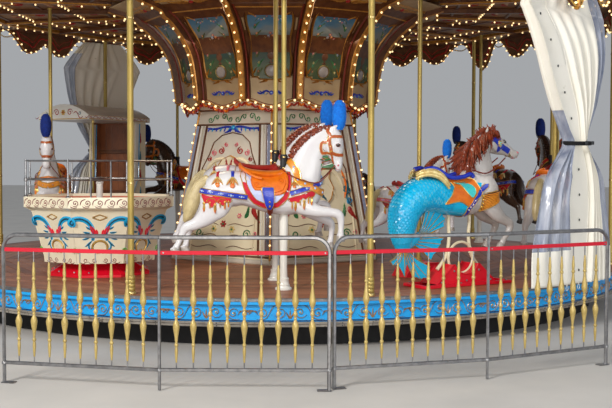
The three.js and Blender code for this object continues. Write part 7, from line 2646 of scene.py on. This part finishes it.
def coach_side(shape, way):
    half = COACH_WIDTH / 2
    inner, outer = way * (half - 0.036), way * half
    low = smooth_path([(x, 0, z) for x, z in COACH_SIDE[3:10]], 5)
    outline = list(COACH_SIDE[:3]) + [(p.x, p.z) for p in low] + list(COACH_SIDE[10:])
    y0, y1 = min(inner, outer), max(inner, outer)
    faces = (CREAM, COACH_BROWN) if way < 0 else (COACH_BROWN, CREAM)
    upright_plate(shape, outline, y0, y1, *faces, CREAM)
    border = [(p.x, p.z) for p in low] + [(-0.352, 1.42), (-0.365, 1.75), (-0.385, 2.18)]
    middle = Vector((-0.05, 0.75))
    inset = []
    for x, z in border:
        p = Vector((x, z))
        d = Vector((-1, 0)) if z > 1.2 and x < -0.3 else (middle - p).normalized()
        inset.append(p + d * 0.045)
    line = [tuple(p) for p in inset]
    for y, face in ((outer, way), (inner, -way)):
        put = lambda u, v, h, y=y, face=face: Vector((u, y + face * h, v))
        carve(shape, line, 0.085, put, 0.012, WHITE_PAINT, 0)
        bead = [tuple(Vector(p) + ((Vector((-1, 0)) if p[1] > 1.2 and p[0] < -0.3
                                    else (middle - Vector(p)).normalized()) * 0.052)) for p in line]
        carve(shape, bead, 0.016, put, 0.014, LEAF_BLUE, 0)
        for j in range(2, len(line) - 2, 2):
            a = atan2(line[j + 1][1] - line[j - 1][1], line[j + 1][0] - line[j - 1][0])
            for bend in (1, -1):
                leaf(shape, *line[j], a + 0.5 * bend, 0.05, 0.014, lambda u, v, h,
                     put=put: put(u, v, h + 0.01), 0.005, (OLIVE, GOLD_LINE)[j // 2 % 2],
                     bend * 1.2)
        if y == outer:
            for cu, r in ((-0.28, 0.11), (0.02, 0.12), (0.33, 0.1)):
                for turn in (1, -1):
                    carve(shape, volute(cu + turn * r * 0.62, 0.7, r * 0.5, 0.01, 0 if turn > 0 else pi,
                                        turn * 1.4), 0.014, put, 0.007, GOLD_LINE)
                rosette(shape, cu, 0.7, 0.032, put, 0.012, GARLAND_RED, GOLD_LINE)
                for a in (0.5, 1.2, 1.9, 2.6):
                    leaf(shape, cu, 0.72, a, 0.1, 0.024, put, 0.006, TEAL)
            carve(shape, [(-0.56, 0.55), (-0.4, 0.5), (0.34, 0.5), (0.52, 0.55)], 0.02, put, 0.008,
                  GOLD_LINE, 0)
            carve(shape, [(-0.5, 1.0), (-0.5, 1.5), (-0.5, 2.1)], 0.012, put, 0.006, GOLD_LINE, 0.05)
            for j in range(4):
                acanthus(shape, -0.5, 1.12 + 0.26 * j, pi / 2, 0.15, put, 0.007, (TEAL, GARLAND_RED)[j % 2])


def make_coach():
    place = standing(COACH_ANGLE, COACH_R)
    half = COACH_WIDTH / 2
    body = Shape()
    sill = 0.5153
    for way in (-1, 1):
        coach_side(body, way)
        twist = [Vector((0.48, way * (half - 0.018), 0.9 + 1.3 * i / 40)) for i in range(41)]
        tube(body, twist, 0.0135, POST_GOLD, 12)
        for z in (1.02, 1.6, 2.17):
            turned(body, [(0.0135, -0.02), (0.02, -0.012), (0.02, 0.012), (0.0135, 0.02)], BRASS,
                   (0.48, way * (half - 0.018), z), 14)
    inside = half - 0.036
    planks = 7
    for j in range(planks):
        y0 = -inside + 2 * inside * j / planks
        y1 = -inside + 2 * inside * (j + 1) / planks - 0.004
        block(body, (-0.56, y0, sill), (0.56, y1, sill + 0.04), OLD_TIMBER, 0.004)
        block(body, (-0.61, y0, sill + 0.04), (-0.572, y1, COACH_EAVES - 0.001), COACH_BROWN, 0.004)
    for j in range(6):
        x = -0.575 + j * 0.0735
        block(body, (x, -inside, 0.895), (x + 0.066, inside, 0.92), COACH_BROWN, 0.006)
    block(body, (-0.575, -inside, 0.86), (-0.145, inside, 0.893), BROWN_FRAME, 0.003)
    block(body, (-0.18, -inside, sill + 0.04), (-0.142, inside, 0.86), COACH_BROWN, 0.004)
    for y in (-0.2, 0.2):
        block(body, (-0.1415, y - 0.13, 0.6), (-0.134, y + 0.13, 0.82), BROWN_FRAME, 0.003)
    for z in (1.15, 1.75):
        block(body, (-0.572, -inside, z), (-0.552, inside, z + 0.06), BROWN_FRAME, 0.004)
    piece(Shape().merge(body, place), "coach_carved_body", "platform", ["coach_body"], "coach_paint", 30)

    top = Shape()
    low, edge_z, crown = COACH_EAVES + 0.0003, 0.06, 0.2145
    wide = half + 0.03
    section = [(-wide, low), (-wide, low + edge_z)]
    for i in range(1, 16):
        t = i / 16
        y = -wide + 2 * wide * t
        section.append((y, low + edge_z + (crown - edge_z) * sin(pi * t) ** 0.85))
    section += [(wide, low + edge_z), (wide, low)]
    rows = 14
    verts, faces, n = [], [], len(section)
    for i in range(rows + 1):
        x = -0.68 + 1.3 * i / rows
        verts += [Vector((x, y, z)) for y, z in section]
    for i in range(rows):
        faces += [(i * n + k, i * n + k + 1, (i + 1) * n + k + 1, (i + 1) * n + k) for k in range(n - 1)]
        faces.append((i * n, (i + 1) * n, (i + 1) * n + n - 1, i * n + n - 1))
    faces += [tuple(reversed(range(n))), tuple(rows * n + k for k in range(n))]
    top.add(verts, faces, WHITE_PAINT)
    for way in (-1, 1):
        put = lambda u, v, h, way=way: Vector((u, way * (wide + h), v))
        for x0, x1 in ((-0.67, 0.61),):
            carve(top, [(x0, low + 0.01), (0, low + 0.01), (x1, low + 0.01)], 0.014, put, 0.005, GOLD_LINE,
                  0)
            carve(top, [(x0, low + 0.056), (0, low + 0.056), (x1, low + 0.056)], 0.01, put, 0.005,
                  GOLD_LINE, 0)
        for j in range(10):
            u = -0.6 + 0.13 * j
            carve(top, volute(u, low + 0.033, 0.017, 0.003, pi, 1.3), 0.008, put, 0.004, GARLAND_RED)
            carve(top, s_curve(u + 0.015, low + 0.03, u + 0.115, low + 0.036, 0.16), 0.009, put, 0.004,
                  GARLAND_RED)
    for x, way in ((-0.68, -1), (0.62, 1)):
        put = lambda u, v, h, x=x, way=way: Vector((x + way * h, u, v))
        carve(top, [(-wide + 0.01, low + 0.012), (0, low + 0.012), (wide - 0.01, low + 0.012)], 0.016, put,
              0.005, GOLD_LINE, 0)
        for turn in (-1, 1):
            carve(top, volute(turn * 0.12, low + 0.1, 0.055, 0.01, 0 if turn > 0 else pi, turn * 1.4),
                  0.016, put, 0.007, GARLAND_RED)
            carve(top, s_curve(turn * 0.18, low + 0.08, turn * 0.36, low + 0.045, turn * 0.2), 0.016, put,
                  0.007, GARLAND_RED)
            carve(top, volute(turn * 0.3, low + 0.09, 0.03, 0.006, pi if turn > 0 else 0, turn * 1.2),
                  0.012, put, 0.007, TEAL)
        rosette(top, 0, low + 0.1, 0.042, put, 0.014, GOLD_LINE, GARLAND_RED)
    piece(Shape().merge(top, place), "coach_arched_canopy", "platform", ["coach_canopy"], "coach_roof", 35)


# Gathered curtains

CURTAIN_TIE = 1.81
# Distance from the axis, height, half width and half depth of the gathered cloth
CURTAIN_ROUTE = ((4.26, 0.472, 0.7, 0.14), (4.262, 0.8, 0.69, 0.145), (4.266, 1.25, 0.575, 0.15),
                 (4.27, 1.49, 0.48, 0.15),
                 (4.27, 1.69, 0.26, 0.14), (4.27, CURTAIN_TIE, 0.148, 0.12), (4.264, 1.94, 0.21, 0.115),
                 (4.257, 2.17, 0.36, 0.115),
                 (4.247, 2.41, 0.475, 0.115), (4.235, 2.64, 0.565, 0.1), (4.205, 2.86, 0.632, 0.075),
                 (4.165, 3.02, 0.678, 0.05), (4.143, 3.1, 0.68, 0.04),
                 (4.14, 3.3, 0.52, 0.034), (4.14, 3.485, 0.33, 0.03))
# Cloth width and folds of the left window, the flat band with eyelets, the white cloth and the right window
CURTAIN_PARTS = ((0.58, 3), (0.34, 0), (0.8, 4), (0.3, 2))
# Height, and where across the curtain the flat band starts and ends and the right window starts
CURTAIN_SEAMS = ((0.47, 0.42, 0.6, 0.84), (0.8, 0.41, 0.61, 0.82), (1.25, 0.33, 0.65, 0.79),
                 (1.49, 0.32, 0.64, 0.79),
                 (1.72, 0.16, 0.66, 0.8),
                 (CURTAIN_TIE, 0.1, 0.62, 0.8), (1.93, 0.06, 0.55, 0.8), (2.41, 0.035, 0.36, 0.88),
                 (3.1, 0.025, 0.25, 0.85),
                 (3.5, 0.025, 0.25, 0.85))
WINDOW_LOW, WINDOW_HIGH, LEFT_WINDOW_HIGH = 0.8, 3.3, 2.1


def wave(phase):
    """One pleat: rounded, a little fuller at its crests than a sine."""
    s = sin(phase)
    return s * (1.22 - 0.22 * s * s)


def seams_at(z):
    for low, high in zip(CURTAIN_SEAMS, CURTAIN_SEAMS[1:]):
        if z <= high[0]:
            t = max(z - low[0], 0) / (high[0] - low[0])
            return tuple(a + (b - a) * t for a, b in zip(low[1:], high[1:]))
    return CURTAIN_SEAMS[-1][1:]


def part_steps(folds):
    return max(folds * 12, 8)


def curtain_row(z, width, depth):
    """One level of the curtain as (x, y) points: each part is folded until it takes up its own cloth."""
    marks = (0.0, *seams_at(z), 1.0)
    row = []
    for (cloth, folds), start, end in zip(CURTAIN_PARTS, marks, marks[1:]):
        steps = part_steps(folds)

        def points(swing):
            out = []
            for k in range(steps + 1):
                across = 2 * (start + (end - start) * k / steps) - 1
                bulge = max(depth - 0.036, 0) * sqrt(max(1 - across * across, 0))
                out.append(Vector((across * width * 0.97,
                                   swing * wave(tau * folds * k / steps) - 0.6 * bulge)))
            return out

        small, large = 0.0, 0.02 if z > WINDOW_HIGH else 0.08
        for _ in range(20):
            half = (small + large) / 2
            pts = points(half)
            if sum((b - a).length for a, b in zip(pts, pts[1:])) < cloth:
                small = half
            else:
                large = half
        row += points(small)[1 if row else 0:]
    return row


def make_curtain(index, angle):
    keys = smooth_path([(r, z, w) for r, z, w, _ in CURTAIN_ROUTE], 8)
    depths = smooth_path([(d, 0, 0) for *_, d in CURTAIN_ROUTE], 8)
    rows = [(r, z, curtain_row(z, w, depth.x)) for (r, z, w), depth in zip(keys, depths)]
    count, columns = len(rows), len(rows[0][2])
    turn = Matrix.Rotation(angle, 4, "Z")
    base = Shape()
    base.mats = [CURTAIN_CLOTH, CLEAR_SHEET]
    for r, z, pts in rows:
        for k, p in enumerate(pts):
            ripple = 0.003 * sin(9.0 * z + 0.26 * k) * sin(2.3 * z + k * 0.31)
            base.verts.append(turn @ Vector((p.x, -r + p.y + ripple, z)))
    firsts = [0]
    for _, folds in CURTAIN_PARTS:
        firsts.append(firsts[-1] + part_steps(folds))
    for i in range(count - 1):
        z = (rows[i][1] + rows[i + 1][1]) / 2
        for k in range(columns - 1):
            a = i * columns + k
            top = LEFT_WINDOW_HIGH if k < firsts[1] else WINDOW_HIGH
            window = WINDOW_LOW < z < top and (k < firsts[1] or firsts[3] <= k)
            base.faces.append((a, a + 1, a + columns + 1, a + columns))
            base.slots.append(int(window))
    cloth = piece(base, f"curtain_cloth_{index}", "platform", [f"curtain_{index}"], "curtain_cloth", 60)
    thick = cloth.modifiers.new("cloth_thickness", "SOLIDIFY")
    thick.thickness = 0.0015

    def on_cloth(part, share, z, out=0.0):
        k = firsts[part] + round(share * part_steps(CURTAIN_PARTS[part][1]))
        i = max(n for n in range(count - 1) if rows[n][1] <= max(z, rows[0][1]))
        (r, low, pts), (r1, high, pts1) = rows[i], rows[i + 1]
        t = (z - low) / (high - low)
        p = pts[k].lerp(pts1[k], t)
        return turn @ Vector((p.x, -r - (r1 - r) * t + p.y - out, z))

    face = turn @ Vector((0, -1, 0))
    eyelets = Shape()
    for j in range(12):
        p = on_cloth(1, 0.5, 0.6 + 0.24 * j, 0.004)
        turned(eyelets, [(0.011, 0), (0.0125, 0.002), (0.008, 0.004), (0.0045, 0.002), (0.0, 0.001)],
               BLACK_STEEL, p, 12, axis=face)
    for part in (1, 3):
        tube(eyelets, [on_cloth(part, 0.0, WINDOW_LOW + 2.45 * i / 32, 0.0015) for i in range(33)], 0.003,
             CURTAIN_CLOTH, 5)
    tube(eyelets, [on_cloth(1, 1.0, 0.5 + 2.9 * i / 36, 0.001) for i in range(37)], 0.003, CURTAIN_CLOTH, 5)
    eyes = piece(eyelets, f"curtain_eyelets_{index}", "platform", [], "curtain_cloth", 40)

    tie = Shape()
    r, z, w, d = CURTAIN_ROUTE[5]
    loops = []
    for i in range(48):
        a = tau * i / 48
        loops.append(turn @ Vector(((w + 0.006) * cos(a), -r - 0.02 + (d + 0.012) * sin(a),
                                    z + 0.006 * sin(a + 0.6))))
    for dz, rad in ((-0.014, 0.0055), (-0.005, 0.0062), (0.005, 0.0062), (0.014, 0.0055)):
        tube(tie, [p + Vector((0, 0, dz)) for p in loops], rad, BLACK, 6, closed=True)
    for side in (-0.05, 0.06):
        p = turn @ Vector((side, -r - d - 0.04, z))
        block(tie, (-0.02, -0.006, -0.017), (0.02, 0.006, 0.017), BLACK_STEEL, 0.003,
              Matrix.Translation(p) @ turn)
    band = piece(tie, f"curtain_tie_{index}", "platform", [], "skirt_rubber", 40)

    hooks = Shape()
    top = [(1, 0.1), (1, 0.9)] + [(2, (k + 0.75) / 4) for k in range(4)] + [(3, 0.375), (3, 0.875)]
    for part, share in top:
        p = on_cloth(part, share, 3.465)
        loop = [p + Vector((0, 0, 0.012 + 0.014 * sin(a))) + turn @ Vector((0, 0.01 * cos(a), 0))
                for a in (tau * i / 12 for i in range(12))]
        tube(hooks, loop, 0.0022, STEEL, 6, closed=True)
    for part, share, way in ((0, 0.85, -1), (1, 0.5, 1), (2, 0.3, -1), (2, 0.8, 1)):
        p = on_cloth(part, share, 0.48)
        loop = [p + turn @ Vector((0.018 * sin(tau * t) * way, -0.006, -0.062 * sin(pi * t)))
                for t in (i / 12 for i in range(13))]
        tube(hooks, smooth_path(loop, 2), 0.0026, WHITE_PAINT, 6)
    rings = piece(hooks, f"curtain_hooks_{index}", "platform", [], "rail_steel", 40)
    for k in range(0, columns, 6):
        line = [base.verts[i * columns + k] for i in range(count)]
        sum((b - a).length for a, b in zip(line, line[1:]))


def make_curtains():
    for i, angle in enumerate((radians(45), radians(-135))):
        make_curtain(i + 1, angle)


add_camera()
light_the_stage()
make_base()
make_deck()
make_fascia()
make_posts()
make_fence()
make_roof()
make_boards()
make_ceiling()
make_upper_drum()
make_lower_drum()
make_column()
horses = make_horses()
make_hippocampus()
make_pony(horses)
make_tub()
make_coach()
make_curtains()
